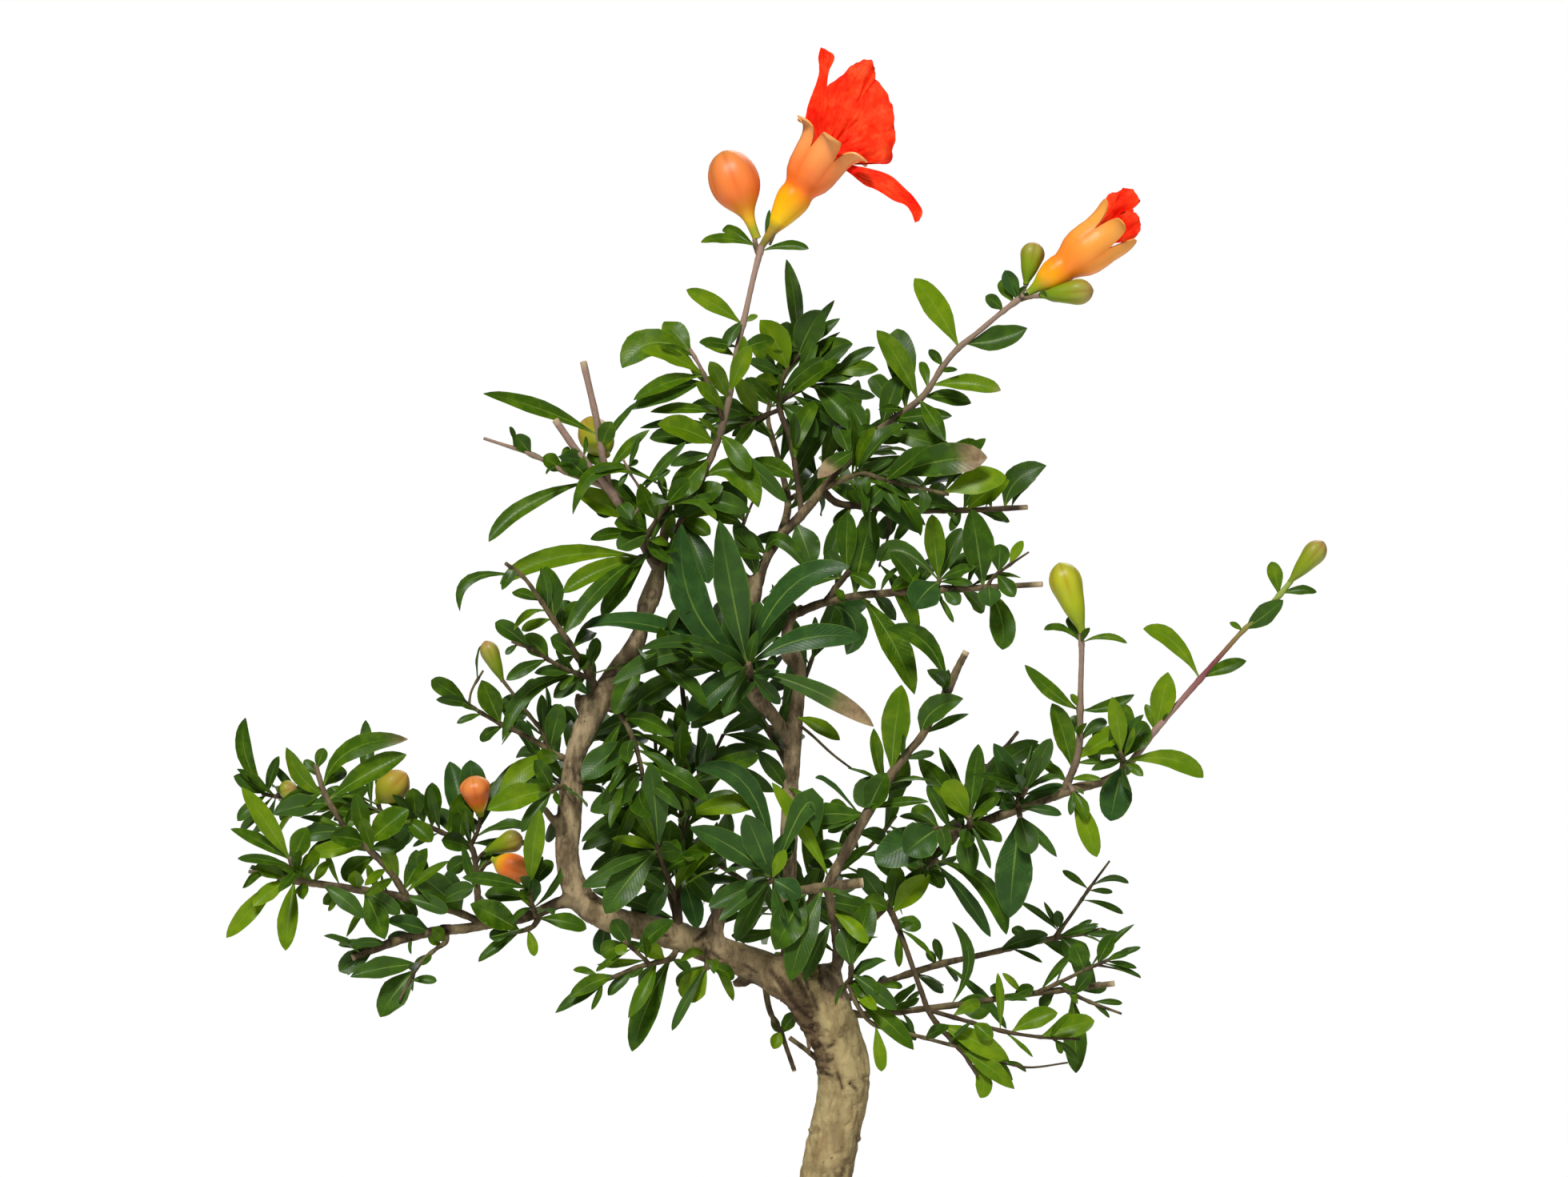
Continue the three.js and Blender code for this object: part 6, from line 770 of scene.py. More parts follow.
# Petals. A broad one is a fan from its claw, "foot", to its free "edge". A narrow one is a strip
# between its two "sides", each from the claw to the tip. All points are (u, v, depth).
OPEN_PETALS = [
    {"sides": ([(1016, 190, 2), (1007, 160, 4), (1008, 143, 6), (1012, 126, 8), (1020, 105, 10),
                (1024, 88, 12), (1023, 71, 14), (1026, 59, 16)],
               [(1034, 190, 8), (1034, 160, 10), (1034, 143, 10), (1035, 126, 10), (1034, 106, 12),
                (1036, 90, 14), (1043, 71, 12), (1032, 62, 16)])},
    {"foot": (1036, 194, 10), "edge": [(1086, 84, 8), (1098, 104, 18), (1110, 119, 22), (1116, 134, 24),
                                       (1117, 156, 24), (1120, 168, 22), (1115, 186, 18), (1114, 203, 14),
                                       (1088, 206, 10), (1060, 205, 8)]},
    {"foot": (1032, 192, 12), "edge": [(1034, 110, 8), (1050, 95, 12), (1067, 81, 16), (1078, 75, 16),
                                       (1092, 78, 18), (1093, 92, 18), (1096, 106, 14), (1102, 126, 6)]},
    {"foot": (1030, 186, -14), "edge": [(1038, 112, -40), (1062, 92, -48), (1090, 98, -50),
                                        (1108, 132, -44)]},
    {"foot": (1040, 198, -16), "edge": [(1096, 110, -34), (1115, 150, -38), (1112, 188, -32),
                                        (1080, 205, -26)]},
    {"foot": (1036, 196, -20), "edge": [(1066, 112, -64), (1096, 146, -72), (1092, 188, -58)]},
    {"sides": ([(1050, 196, 4), (1067, 206, 8), (1088, 211, 12), (1112, 219, 18), (1132, 236, 22),
                (1143, 247, 24), (1153, 264, 24), (1149, 276, 24)],
               [(1048, 206, 6), (1067, 220, 10), (1081, 231, 14), (1096, 238, 18), (1119, 252, 22),
                (1131, 256, 24), (1139, 265, 24), (1144, 278, 24)])},
]
HALF_PETALS = [
    {"foot": (1362, 304, 2), "edge": [(1378, 254, 6), (1386, 243, 10), (1399, 239, 14), (1407, 235, 14),
                                      (1417, 239, 14), (1425, 251, 12), (1413, 262, 16)]},
    {"foot": (1370, 306, 8), "edge": [(1392, 274, 20), (1400, 267, 24), (1412, 264, 26), (1421, 268, 26),
                                      (1426, 280, 22), (1422, 293, 18), (1413, 302, 14)]},
    {"foot": (1366, 304, -4), "edge": [(1384, 254, -14), (1402, 248, -20), (1416, 262, -18),
                                       (1420, 284, -10)]},
    {"foot": (1372, 308, -4), "edge": [(1394, 264, -4), (1410, 266, -6), (1421, 280, -6),
                                       (1412, 300, -6)]},
]
# Stamens: their spread in metres, and their foot and reach above the cup's floor in drawing units.
STAMENS = {"filaments": 30, "spread": 0.0016, "foot": 4, "reach": 52, "lengths": (0.7, 1)}

# ---- Places and routes -----------------------------------------------------------------------------

FACING = np.array([0.0, -1.0, 0.0])
UPWARDS = np.array([0.0, 0.0, 1.0])


def place(points):
    """Points (u, v, depth) as places in metres, each moved along its sight line from the eye."""
    points = np.asarray(points, float)
    u, v = points[..., 0], points[..., 1]
    lean = (LEAN_LEFT * np.maximum(0, LEAN_LEFT_FROM - u)
            + LEAN_RIGHT * np.maximum(0, u - LEAN_RIGHT_FROM)
            + LEAN_TOP * np.maximum(0, LEAN_TOP_FROM - v))
    depth = points[..., 2] + lean
    spread = 1 - depth * UNIT / EYE_DISTANCE
    x = (u - EYE_U) * UNIT * spread
    z = EYE_HEIGHT + (EYE_V - v) * UNIT * spread
    return np.stack([x, -depth * UNIT, z], axis=-1)


def drawn_at(point):
    """Where a point stands in the front elevation, as (u, v)."""
    span = (EYE_DISTANCE + point[1]) / EYE_DISTANCE * UNIT
    return EYE_U + point[0] / span, EYE_V + (EYE_HEIGHT - point[2]) / span


def slant_gain(shoot, point):
    """The depth that a shoot's slant adds at a point."""
    root = shoot["twigs"][0][0]
    return shoot["slant"] * math.hypot(point[0] - root[0], point[1] - root[1])


def slanted_twigs(shoot):
    return [[(u, v, depth + slant_gain(shoot, (u, v)), radius) for u, v, depth, radius in route]
            for route in shoot["twigs"]]


def unit(vectors):
    return vectors / np.maximum(np.linalg.norm(vectors, axis=-1, keepdims=True), 1e-12)


def turned(vector, axis, angle):
    """The vector turned round a unit axis."""
    return (vector * math.cos(angle) + np.cross(axis, vector) * math.sin(angle)
            + axis * axis.dot(vector) * (1 - math.cos(angle)))


def smooth_route(route, steps):
    """A Catmull-Rom curve through a route of (u, v, depth, radius)."""
    points = np.asarray(route, float)
    padded = np.vstack([2 * points[0] - points[1], points, 2 * points[-1] - points[-2]])
    curve = []
    for i in range(len(points) - 1):
        before, start, end, after = padded[i:i + 4]
        for t in np.arange(steps) / steps:
            curve.append(0.5 * (2 * start + (end - before) * t
                                + (2 * before - 5 * start + 4 * end - after) * t ** 2
                                + (3 * start - before - 3 * end + after) * t ** 3))
    curve.append(points[-1])
    return np.array(curve)


def frames_along(centres):
    """Normals and binormals that don't twist along a line of centres."""
    tangents = unit(np.gradient(centres, axis=0))
    normal = unit(np.cross(tangents[0], FACING) + 1e-9)
    normals = []
    for tangent in tangents:
        normal = unit(normal - tangent * normal.dot(tangent))
        normals.append(normal)
    normals = np.array(normals)
    return normals, np.cross(tangents, normals)


# ---- Mesh kit --------------------------------------------------------------------------------------


class Skin:
    """Gathers vertices, faces and named numbers per vertex for one mesh."""

    def __init__(self):
        self.points = []
        self.faces = []
        self.numbers = {}
        self.count = 0

    def add(self, points, faces, **numbers):
        """Adds a part, with a number for each of its points or one for them all."""
        points = np.asarray(points, float).reshape(-1, 3)
        self.points.append(points)
        self.faces.extend([tuple(i + self.count for i in face) for face in faces])
        for name, values in numbers.items():
            values = np.full(len(points), values, float) if np.ndim(values) == 0 else values
            self.numbers.setdefault(name, []).append(np.asarray(values, float).reshape(-1))
        self.count += len(points)

    def build(self, name, sharp_angle=40):
        """The mesh as an object, creased where it turns by more than the angle in degrees."""
        mesh = bpy.data.meshes.new(name)
        mesh.from_pydata(np.vstack(self.points).tolist(), [], self.faces)
        for label, parts in self.numbers.items():
            mark(mesh, label, np.concatenate(parts))
        mesh.validate()
        mesh.shade_smooth()
        mesh.set_sharp_from_angle(angle=math.radians(sharp_angle))
        piece = bpy.data.objects.new(name, mesh)
        bpy.context.scene.collection.objects.link(piece)
        return piece


def ring_faces(rings, sides):
    """Quads between rings of equal size, and one face over each end."""
    faces = []
    for ring in range(rings - 1):
        for side in range(sides):
            a, b = ring * sides + side, ring * sides + (side + 1) % sides
            faces.append((a, b, b + sides, a + sides))
    faces.append(tuple(reversed(range(sides))))
    faces.append(tuple((rings - 1) * sides + side for side in range(sides)))
    return faces


def angles_round(sides):
    return np.arange(sides) / sides * 2 * math.pi


def tube_rings(centres, radii, sides):
    """A ring of points round each centre."""
    normals, binormals = frames_along(centres)
    angles = angles_round(sides)
    around = (normals[:, None] * np.cos(angles)[None, :, None]
              + binormals[:, None] * np.sin(angles)[None, :, None])
    return centres[:, None] + around * np.asarray(radii)[:, None, None]


def mark(mesh, label, values):
    """Writes a named number for each vertex."""
    attribute = mesh.attributes.new(label, "FLOAT", "POINT")
    attribute.data.foreach_set("value", np.asarray(values, np.float32))


def dress(piece, node, material):
    """The piece takes the place of a solid, or just adds to them, and wears the given material."""
    piece.data.materials.append(material)
    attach(piece, "root")
    if node:
        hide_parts(node)


# ---- Materials -------------------------------------------------------------------------------------


class Shade:
    """A small helper for node materials: each call adds a node and returns its output."""

    def __init__(self, name):
        self.material = bpy.data.materials.new(name)
        self.material.use_nodes = True
        self.tree = self.material.node_tree
        self.surface = self.tree.nodes["Principled BSDF"]
        self.position = self.node("ShaderNodeTexCoord").outputs["Object"]

    def node(self, kind, **settings):
        made = self.tree.nodes.new(kind)
        for key, value in settings.items():
            setattr(made, key, value)
        return made

    def feed(self, socket, value):
        if isinstance(value, bpy.types.NodeSocket):
            self.tree.links.new(value, socket)
        else:
            socket.default_value = (*value, 1) if isinstance(value, tuple) and len(value) == 3 else value

    def number(self, name):
        return self.node("ShaderNodeAttribute", attribute_name=name).outputs["Fac"]

    def math(self, operation, *values):
        made = self.node("ShaderNodeMath", operation=operation)
        for socket, value in zip(made.inputs, values):
            self.feed(socket, value)
        return made.outputs[0]

    def times(self, first, second):
        return self.math("MULTIPLY", first, second)

    def rest(self, value):
        """What the value leaves of 1."""
        return self.math("SUBTRACT", 1, value)

    def step(self, value, low, high):
        made = self.node("ShaderNodeMapRange", interpolation_type="SMOOTHSTEP")
        self.feed(made.inputs["Value"], value)
        self.feed(made.inputs["From Min"], low)
        self.feed(made.inputs["From Max"], high)
        return made.outputs[0]

    def noise(self, scale, detail=3, roughness=0.55, stretch=(1, 1, 1)):
        mapped = self.node("ShaderNodeMapping")
        self.feed(mapped.inputs["Vector"], self.position)
        mapped.inputs["Scale"].default_value = stretch
        made = self.node("ShaderNodeTexNoise")
        self.feed(made.inputs["Vector"], mapped.outputs[0])
        made.inputs["Scale"].default_value = scale
        made.inputs["Detail"].default_value = detail
        made.inputs["Roughness"].default_value = roughness
        return made.outputs["Fac"]

    def ramp(self, value, *stops):
        made = self.node("ShaderNodeValToRGB")
        self.feed(made.inputs[0], value)
        band = made.color_ramp
        while len(band.elements) < len(stops):
            band.elements.new(1)
        for element, (at, colour) in zip(band.elements, stops):
            element.position = at
            element.color = (*colour, 1)
        return made.outputs[0]

    def mix(self, share, first, second, blend="MIX"):
        made = self.node("ShaderNodeMix", data_type="RGBA", blend_type=blend)
        self.feed(made.inputs[0], share)
        for socket, value in ((made.inputs[6], first), (made.inputs[7], second)):
            self.feed(socket, value if isinstance(value, bpy.types.NodeSocket) else (*value, 1))
        return made.outputs[2]

    def tint(self, colour, share, strength, tone):
        """The colour with a tone laid over it, as strongly as the share and the strength say."""
        return self.mix(self.times(share, strength), colour, tone)

    def bump(self, height, strength, distance):
        made = self.node("ShaderNodeBump")
        self.feed(made.inputs["Height"], height)
        made.inputs["Strength"].default_value = strength
        made.inputs["Distance"].default_value = distance
        self.feed(self.surface.inputs["Normal"], made.outputs[0])

    def glow_through(self, weight, radius):
        """Lets light through, as thin or fleshy tissue does."""
        self.surface.inputs["Subsurface Weight"].default_value = weight
        self.surface.inputs["Subsurface Radius"].default_value = radius

    def finish(self, colour, roughness, specular):
        self.feed(self.surface.inputs["Base Color"], colour)
        self.feed(self.surface.inputs["Roughness"], roughness)
        self.surface.inputs["Specular IOR Level"].default_value = specular
        return self.material


LEAF_FACE = ((0, (0.021, 0.062, 0.011)), (0.3, (0.037, 0.078, 0.012)), (0.55, (0.023, 0.062, 0.001)),
             (0.75, (0.052, 0.118, 0.001)), (1, (0.11, 0.2, 0.002)))
LEAF_BLOTCH = ((0, (0.036, 0.098, 0.015)), (0.5, (0.05, 0.117, 0.003)), (1, (0.165, 0.25, 0.003)))
LEAF_BACK = ((0, (0.055, 0.11, 0.025)), (0.5, (0.09, 0.165, 0.018)), (1, (0.18, 0.28, 0.018)))
LEAF_DRY = ((0.35, (0.16, 0.1, 0.05)), (0.65, (0.34, 0.25, 0.13)))
LEAF_VEIN, LEAF_MIDRIB = (0.11, 0.2, 0.05), (0.2, 0.3, 0.045)
LEAF_EDGE, LEAF_STALK = (0.17, 0.27, 0.03), (0.22, 0.3, 0.06)
# The side veins' angle to the midrib, and how closely they stand.
VEIN_SLOPE, VEIN_RATE = 0.16, 62


def leaf_material():
    """Blades: tone by leaf, a pale midrib, faint side veins, a pale edge, and a lighter underside."""
    shade = Shade("leaf")
    tone, along, across = (shade.number(name) for name in ("tone", "along", "across"))
    under, dry = shade.number("under"), shade.number("dry")
    blotch = shade.noise(240, 4, 0.6)
    face = shade.mix(shade.step(blotch, 0.4, 0.75), shade.ramp(tone, *LEAF_FACE),
                     shade.ramp(tone, *LEAF_BLOTCH))
    side = shade.math("ABSOLUTE", across)
    slope = shade.math("SUBTRACT", along, shade.times(side, VEIN_SLOPE))
    vein = shade.math("ABSOLUTE", shade.math("SINE", shade.times(slope, VEIN_RATE)))
    vein_line = shade.rest(shade.step(vein, 0, 0.28))
    face = shade.tint(face, vein_line, 0.12, LEAF_VEIN)
    colour = shade.mix(under, face, shade.ramp(tone, *LEAF_BACK))
    # The midrib is widest and palest at the leaf's foot.
    breadth = shade.math("SUBTRACT", 0.13, shade.times(along, 0.1))
    midrib = shade.rest(shade.step(side, shade.times(breadth, 0.3), breadth))
    colour = shade.tint(colour, midrib, shade.math("SUBTRACT", 0.8, shade.times(along, 0.72)), LEAF_MIDRIB)
    colour = shade.tint(colour, shade.step(side, 0.9, 1), 0.3, LEAF_EDGE)
    colour = shade.tint(colour, shade.rest(shade.step(along, 0.02, 0.13)), 0.7, LEAF_STALK)
    colour = shade.mix(dry, colour, shade.ramp(blotch, *LEAF_DRY))
    relief = shade.math("ADD", shade.times(vein_line, -0.5), blotch)
    shade.bump(relief, 0.35, 0.0003)
    return shade.finish(colour, 0.34, 0.12)


# Bark by girth, from twig to trunk: where the streaks are light, and where they are dark.
BARK_LIGHT = ((0.02, (0.14, 0.11, 0.045)), (0.14, (0.17, 0.125, 0.06)), (0.3, (0.35, 0.265, 0.15)),
              (0.6, (0.4, 0.3, 0.15)), (0.85, (0.43, 0.34, 0.155)))
BARK_DARK = ((0.02, (0.035, 0.024, 0.012)), (0.2, (0.06, 0.04, 0.02)), (0.6, (0.21, 0.145, 0.072)),
             (0.85, (0.28, 0.205, 0.09)))
# Young twigs by their freshness: brown, pinkish, purple and green.
BARK_YOUNG = ((0.3, (0.22, 0.16, 0.1)), (0.6, (0.34, 0.22, 0.17)), (0.78, (0.2, 0.045, 0.06)),
              (0.86, (0.22, 0.14, 0.05)), (1, (0.25, 0.33, 0.06)))
LICHEN, TAN, SCAR = (0.38, 0.33, 0.14), (0.3, 0.19, 0.085), (0.05, 0.03, 0.018)
# Painted shade: the inside of the trunk's bend is darkened, and more so along furrows drawn by noise.
BEND_SHADE_TONE, FURROW_SHADE_TONE = (0.13, 0.08, 0.04), (0.05, 0.03, 0.016)
# The dark of cracks and knot rims, partly their own and partly painted shade in the crevices; the darkest
# twigs take it too.
CRACK_AND_SHADE_TONE, CUT_TONE = (0.035, 0.018, 0.009), (0.5, 0.38, 0.23)


def bark_material():
    """Wood and twigs: tan on the trunk, brown on limbs, dark on twigs, green where a shoot is young, with
    painted shade in the bend and, in part, in the cracks.
    """
    shade = Shade("bark")
    girth, fresh, cut = (shade.number(name) for name in ("girth", "fresh", "cut"))
    wrinkle_and_shade, crack = shade.number("wrinkle_and_shade"), shade.number("crack")
    streak = shade.noise(260, 5, 0.65, (1, 1, 0.4))
    fleck = shade.noise(620, 4, 0.7)
    colour = shade.mix(shade.step(streak, 0.36, 0.62), shade.ramp(girth, *BARK_DARK),
                       shade.ramp(girth, *BARK_LIGHT))
    thick = shade.step(girth, 0.4, 0.75)
    patch = shade.step(shade.noise(70, 4, 0.6), 0.5, 0.66)
    colour = shade.tint(colour, shade.times(patch, thick), 0.6, LICHEN)
    stain = shade.step(shade.noise(150, 4, 0.6, (1, 1, 0.6)), 0.52, 0.66)
    colour = shade.tint(colour, shade.times(stain, thick), 0.5, TAN)
    colour = shade.tint(colour, shade.rest(shade.step(fleck, 0.3, 0.38)), 0.75, SCAR)
    colour = shade.mix(shade.step(fresh, 0.15, 0.5), colour, shade.ramp(fresh, *BARK_YOUNG))
    # Painted shade over the inside of the trunk's bend, deeper along furrows drawn by noise.
    colour = shade.tint(colour, wrinkle_and_shade, 0.85, BEND_SHADE_TONE)
    furrow_shade = shade.step(shade.noise(520, 3, 0.6, (0.7, 0.7, 1.3)), 0.5, 0.62)
    colour = shade.tint(colour, shade.times(wrinkle_and_shade, furrow_shade), 0.85, FURROW_SHADE_TONE)
    # Cracks and knot rims darkened, partly their own dark and partly painted shade in the crevices; dark
    # twigs take the same tone.
    colour = shade.mix(crack, colour, CRACK_AND_SHADE_TONE)
    colour = shade.mix(cut, colour, CUT_TONE)
    shade.bump(shade.math("ADD", streak, shade.times(fleck, 0.6)), 0.7, 0.0008)
    return shade.finish(colour, 0.82, 0.25)


# The seams between ribs and lobes are darkened, partly their own colour and partly painted shade in the
# grooves.
SEAM_SHADE_TONE, INNER_TONE = (0.86, 0.58, 0.35), (0.86, 0.46, 0.12)


def skin_material(name, stops, blush, roughness=0.38):
    """A waxy skin coloured along its axis, with a blush in patches and darker seams that are partly painted
    shade.
    """
    shade = Shade(name)
    wander = shade.times(shade.math("SUBTRACT", shade.noise(160), 0.5), 0.07)
    colour = shade.ramp(shade.math("ADD", shade.number("reach"), wander), *stops)
    patch = shade.step(shade.noise(220, 4, 0.6, (1, 1, 0.5)), 0.45, 0.75)
    colour = shade.tint(colour, patch, 0.3, blush)
    # Darker along the seams: partly their own colour, partly painted shade in the grooves.
    colour = shade.tint(colour, shade.number("seam"), 0.7, shade.mix(1, colour, SEAM_SHADE_TONE, "MULTIPLY"))
    colour = shade.tint(colour, shade.number("inner"), 0.5, INNER_TONE)
    shade.bump(shade.noise(900, 3, 0.6), 0.12, 0.0003)
    shade.glow_through(0.12, (0.003, 0.001, 0.0005))
    return shade.finish(colour, roughness, 0.2)


PETAL_TISSUE = ((0.32, (0.84, 0.009, 0.002)), (0.5, (1.0, 0.036, 0.006)), (0.7, (1.0, 0.088, 0.022)))
PETAL_CLAW = (0.72, 0.006, 0.002)


def petal_material():
    """Scarlet tissue, deeper in blotches and at the claw, and finely crinkled."""
    shade = Shade("petal")
    colour = shade.ramp(shade.noise(210, 5, 0.62), *PETAL_TISSUE)
    claw = shade.rest(shade.step(shade.number("along"), 0.05, 0.4))
    colour = shade.tint(colour, claw, 0.7, PETAL_CLAW)
    shade.bump(shade.noise(420, 4, 0.6), 0.4, 0.0005)
    shade.glow_through(0.15, (0.002, 0.0004, 0.0002))
    return shade.finish(colour, 0.6, 0.07)


def plain_material(name, light, dark, scale, roughness, bump=0.3, depth=0.0004):
    """Two tones in grains."""
    shade = Shade(name)
    grain = shade.noise(scale, 5, 0.65)
    shade.bump(grain, bump, depth)
    return shade.finish(shade.mix(shade.step(grain, 0.35, 0.68), dark, light), roughness, 0.3)


CLAY = ((0.3, (0.13, 0.06, 0.038)), (0.55, (0.2, 0.095, 0.06)), (0.75, (0.27, 0.145, 0.095)))
CLAY_GRIT = (0.42, 0.3, 0.21)


def pot_material():
    """Unglazed brown clay, mottled and finely gritty."""
    shade = Shade("pot_clay")
    mottle, grit = shade.noise(28, 5, 0.6), shade.noise(1500, 3, 0.7)
    colour = shade.tint(shade.ramp(mottle, *CLAY), shade.step(grit, 0.62, 0.7), 0.4, CLAY_GRIT)
    shade.bump(shade.math("ADD", grit, shade.times(mottle, 0.4)), 0.25, 0.0003)
    return shade.finish(colour, 0.7, 0.35)


# ---- Wood ------------------------------------------------------------------------------------------

# The radius, in drawing units, that counts as a full girth.
GIRTH_FULL = 40
# Tubes: steps between the points of a route, and sides where it is thin and where it is thick.
WOOD_STEPS, THIN_SIDES, THICK_SIDES, THICK_FROM = 5, 14, 28, 12
WOOD_VOXEL = 0.00062
SOFTENING, SOFTEN_ROUNDS = 0.6, 5


def wood_surface():
    """All the wood's routes as smooth tubes, run together into one skin."""
    skin = Skin()
    for route in [*WOOD.values(), *FOLDS]:
        curve = smooth_route(route, WOOD_STEPS)
        centres = place(curve[:, :3])
        sides = THICK_SIDES if curve[:, 3].max() > THICK_FROM else THIN_SIDES
        rings = tube_rings(centres, curve[:, 3] * UNIT, sides)
        skin.add(rings, ring_faces(len(centres), sides))
    rough = skin.build("wood")
    remesh = rough.modifiers.new("join", "REMESH")
    remesh.mode = "VOXEL"
    remesh.voxel_size = WOOD_VOXEL
    soften = rough.modifiers.new("soften", "SMOOTH")
    soften.factor, soften.iterations = SOFTENING, SOFTEN_ROUNDS
    depsgraph = bpy.context.evaluated_depsgraph_get()
    mesh = bpy.data.meshes.new_from_object(rough.evaluated_get(depsgraph))
    rough.modifiers.clear()
    rough.data = mesh
    return rough


def route_tree(routes):
    """The routes' centres, to look up the girth of the wood near a point."""
    curves = [smooth_route(route, WOOD_STEPS) for route in routes]
    tree = KDTree(sum(len(curve) for curve in curves))
    girths = []
    for curve in curves:
        for centre, radius in zip(place(curve[:, :3]), curve[:, 3]):
            tree.insert(centre, len(girths))
            girths.append(radius)
    tree.balance()
    return tree, girths


# Folds where the stems run down into the trunk: routes of (u, v, depth, radius).
FOLDS = [
    [(984, 1196, 14, 5), (988, 1215, 22, 6), (996, 1236, 29, 7), (1004, 1258, 31, 6), (1008, 1280, 28, 4)],
    [(1000, 1200, 14, 5), (1006, 1222, 28, 6), (1016, 1246, 32, 6.5), (1024, 1268, 31, 5),
     (1028, 1285, 29, 3.5)],
    [(1024, 1205, 12, 5), (1026, 1228, 28, 6), (1034, 1250, 30, 6), (1042, 1275, 26, 4)],
    [(960, 1215, 22, 5), (978, 1238, 24, 6), (996, 1262, 26, 6), (1008, 1290, 24, 4.5),
     (1012, 1320, 22, 3)],
    [(898, 1130, 30, 6), (897, 1160, 30, 6.5), (908, 1188, 24, 6), (926, 1206, 20, 4)],
]
# Cracks on the wood's front: from (u, v) to (u, v), with half the width. Their dark is partly their own and
# partly painted shade in the crevice.
CRACKS = [((1034, 1309), (1043, 1305), 3.2), ((1046, 1341), (1049, 1349), 3.6),
          ((1049, 1349), (1053, 1361), 3.6), ((1063, 1354), (1071, 1362), 3.4),
          ((1024, 1341), (1040, 1345), 3.2), ((984, 1200), (990, 1224), 5.4),
          ((996, 1222), (1008, 1246), 4.4), ((1004, 1210), (1010, 1236), 4),
          ((965, 1214), (990, 1252), 6), ((990, 1252), (1006, 1268), 5), ((976, 1222), (988, 1244), 4.4),
          ((1022, 1196), (1026, 1226), 5), ((1014, 1240), (1022, 1262), 4), ((930, 1206), (946, 1216), 3.4),
          ((880, 1180), (884, 1196), 3.6), ((888, 1190), (900, 1200), 3.6), ((869, 1176), (880, 1164), 3.6),
          ((716, 960), (720, 975), 3.4), ((726, 968), (731, 976), 3.4), ((820, 1166), (834, 1170), 3)]
# Knots on the wood's front: (u, v, radius, height).
KNOTS = [(1048, 1464, 8, 2.4), (1030, 1470, 6, 2), (1037, 1321, 6, 1.4), (1020, 1304, 7, 2.4),
         (1018, 1285, 6, 2), (1012, 1268, 6, 2.2), (1013, 1412, 6, 2.6), (1083, 1348, 5, 2),
         (1076, 1424, 7, 2.2), (1058, 1285, 5, 1.5), (1051, 1293, 4, 1.3), (1020, 1412, 4, 1),
         (726, 972, 9, 2.4), (712, 955, 7, 1.8), (741, 1118, 7, 1.6), (884, 1184, 8, 2.4),
         (840, 1195, 8, 2), (722, 868, 6, 2), (706, 1050, 6, 1.4), (988, 1030, 6, 1.4),
         (985, 950, 6, 1.6), (948, 872, 7, 1.6), (815, 742, 8, 2.2), (804, 760, 7, 2)]
# A knot's bulge and its dark rim, as shares of its radius, and how far from it they are looked for. The
# rim's dark is partly its own bark and partly painted shade at the bulge's foot.
KNOT_BULGE, KNOT_RIM, KNOT_RIM_WIDTH, KNOT_RIM_SHADE, KNOT_REACH = 0.6, 0.75, 2.4, 0.55, 20
# The wrinkled inside of the trunk's bend, where painted shade also darkens the bark: the drawn heights that
# it lies between, how long it takes to fade in and out there, and where it starts and how fast it sets in
# beside the trunk's middle, as shares of the trunk's radius.
WRINKLED = {"from": 1230, "to": 1360, "fade_in": 20, "fade_out": 30, "side": -0.1, "edge": 0.5,
            "wander": 0.25, "wander_scale": 300}
# How far the cracks go in and the wrinkles stand out, in drawing units.
CRACK_DEPTH, WRINKLE_HEIGHT, WRINKLE_SCALE = 2.6, 2.4, 620
# The bark's own relief: scales, and heights as shares of the wood's radius, which counts up to
# most_radius.
BARK_RELIEF = {"knot_scales": (70, 150), "knots": 0.1, "wrinkle_scale": (240, 240, 520),
               "wrinkles": 0.035, "crack_scale": (420, 420, 150), "cracks": 0.07, "crack_width": 0.16,
               "most_radius": 34}
# The routes that end in a pruning cut, how far its bare wood shows in metres, and how strongly.
CUT_ROUTES = ("left_limb", "left_stub", "side_stub", "central_stem", "leader_fork", "left_branch")
CUT_REACH, CUT_STRENGTH = 0.0012, 0.6
# The wood's front is where its surface faces no further back than this.
FRONT_LIMIT = 0.1


def to_segment(u, v, start, end):
    """Distance from (u, v) to a straight segment."""
    du, dv = end[0] - start[0], end[1] - start[1]
    share = min(1, max(0, ((u - start[0]) * du + (v - start[1]) * dv) / (du * du + dv * dv)))
    return math.hypot(start[0] + du * share - u, start[1] + dv * share - v)


def wood_marks(u, v, front):
    """How cracked the wood is at a point of its front, from 0 to 1, and how far a knot raises it. Knot rims
    count as cracks, and the share darkens the bark, partly as painted shade.
    """
    if not front:
        return 0, 0
    crack = max(0, *(1 - to_segment(u, v, start, end) / width for start, end, width in CRACKS))
    raised = 0
    for knot_u, knot_v, radius, height in KNOTS:
        distance = math.hypot(u - knot_u, v - knot_v)
        if distance < KNOT_REACH:
            raised += height * math.exp(-(distance / radius / KNOT_BULGE) ** 2)
            # The knot's dark rim: partly its own bark, partly painted shade at the foot of its bulge.
            rim = 1 - abs(distance - radius * KNOT_RIM) / KNOT_RIM_WIDTH
            crack = max(crack, KNOT_RIM_SHADE * rim)
    return crack, raised


def scaled(point, scale):
    return Vector([value * factor for value, factor in zip(point, scale)])


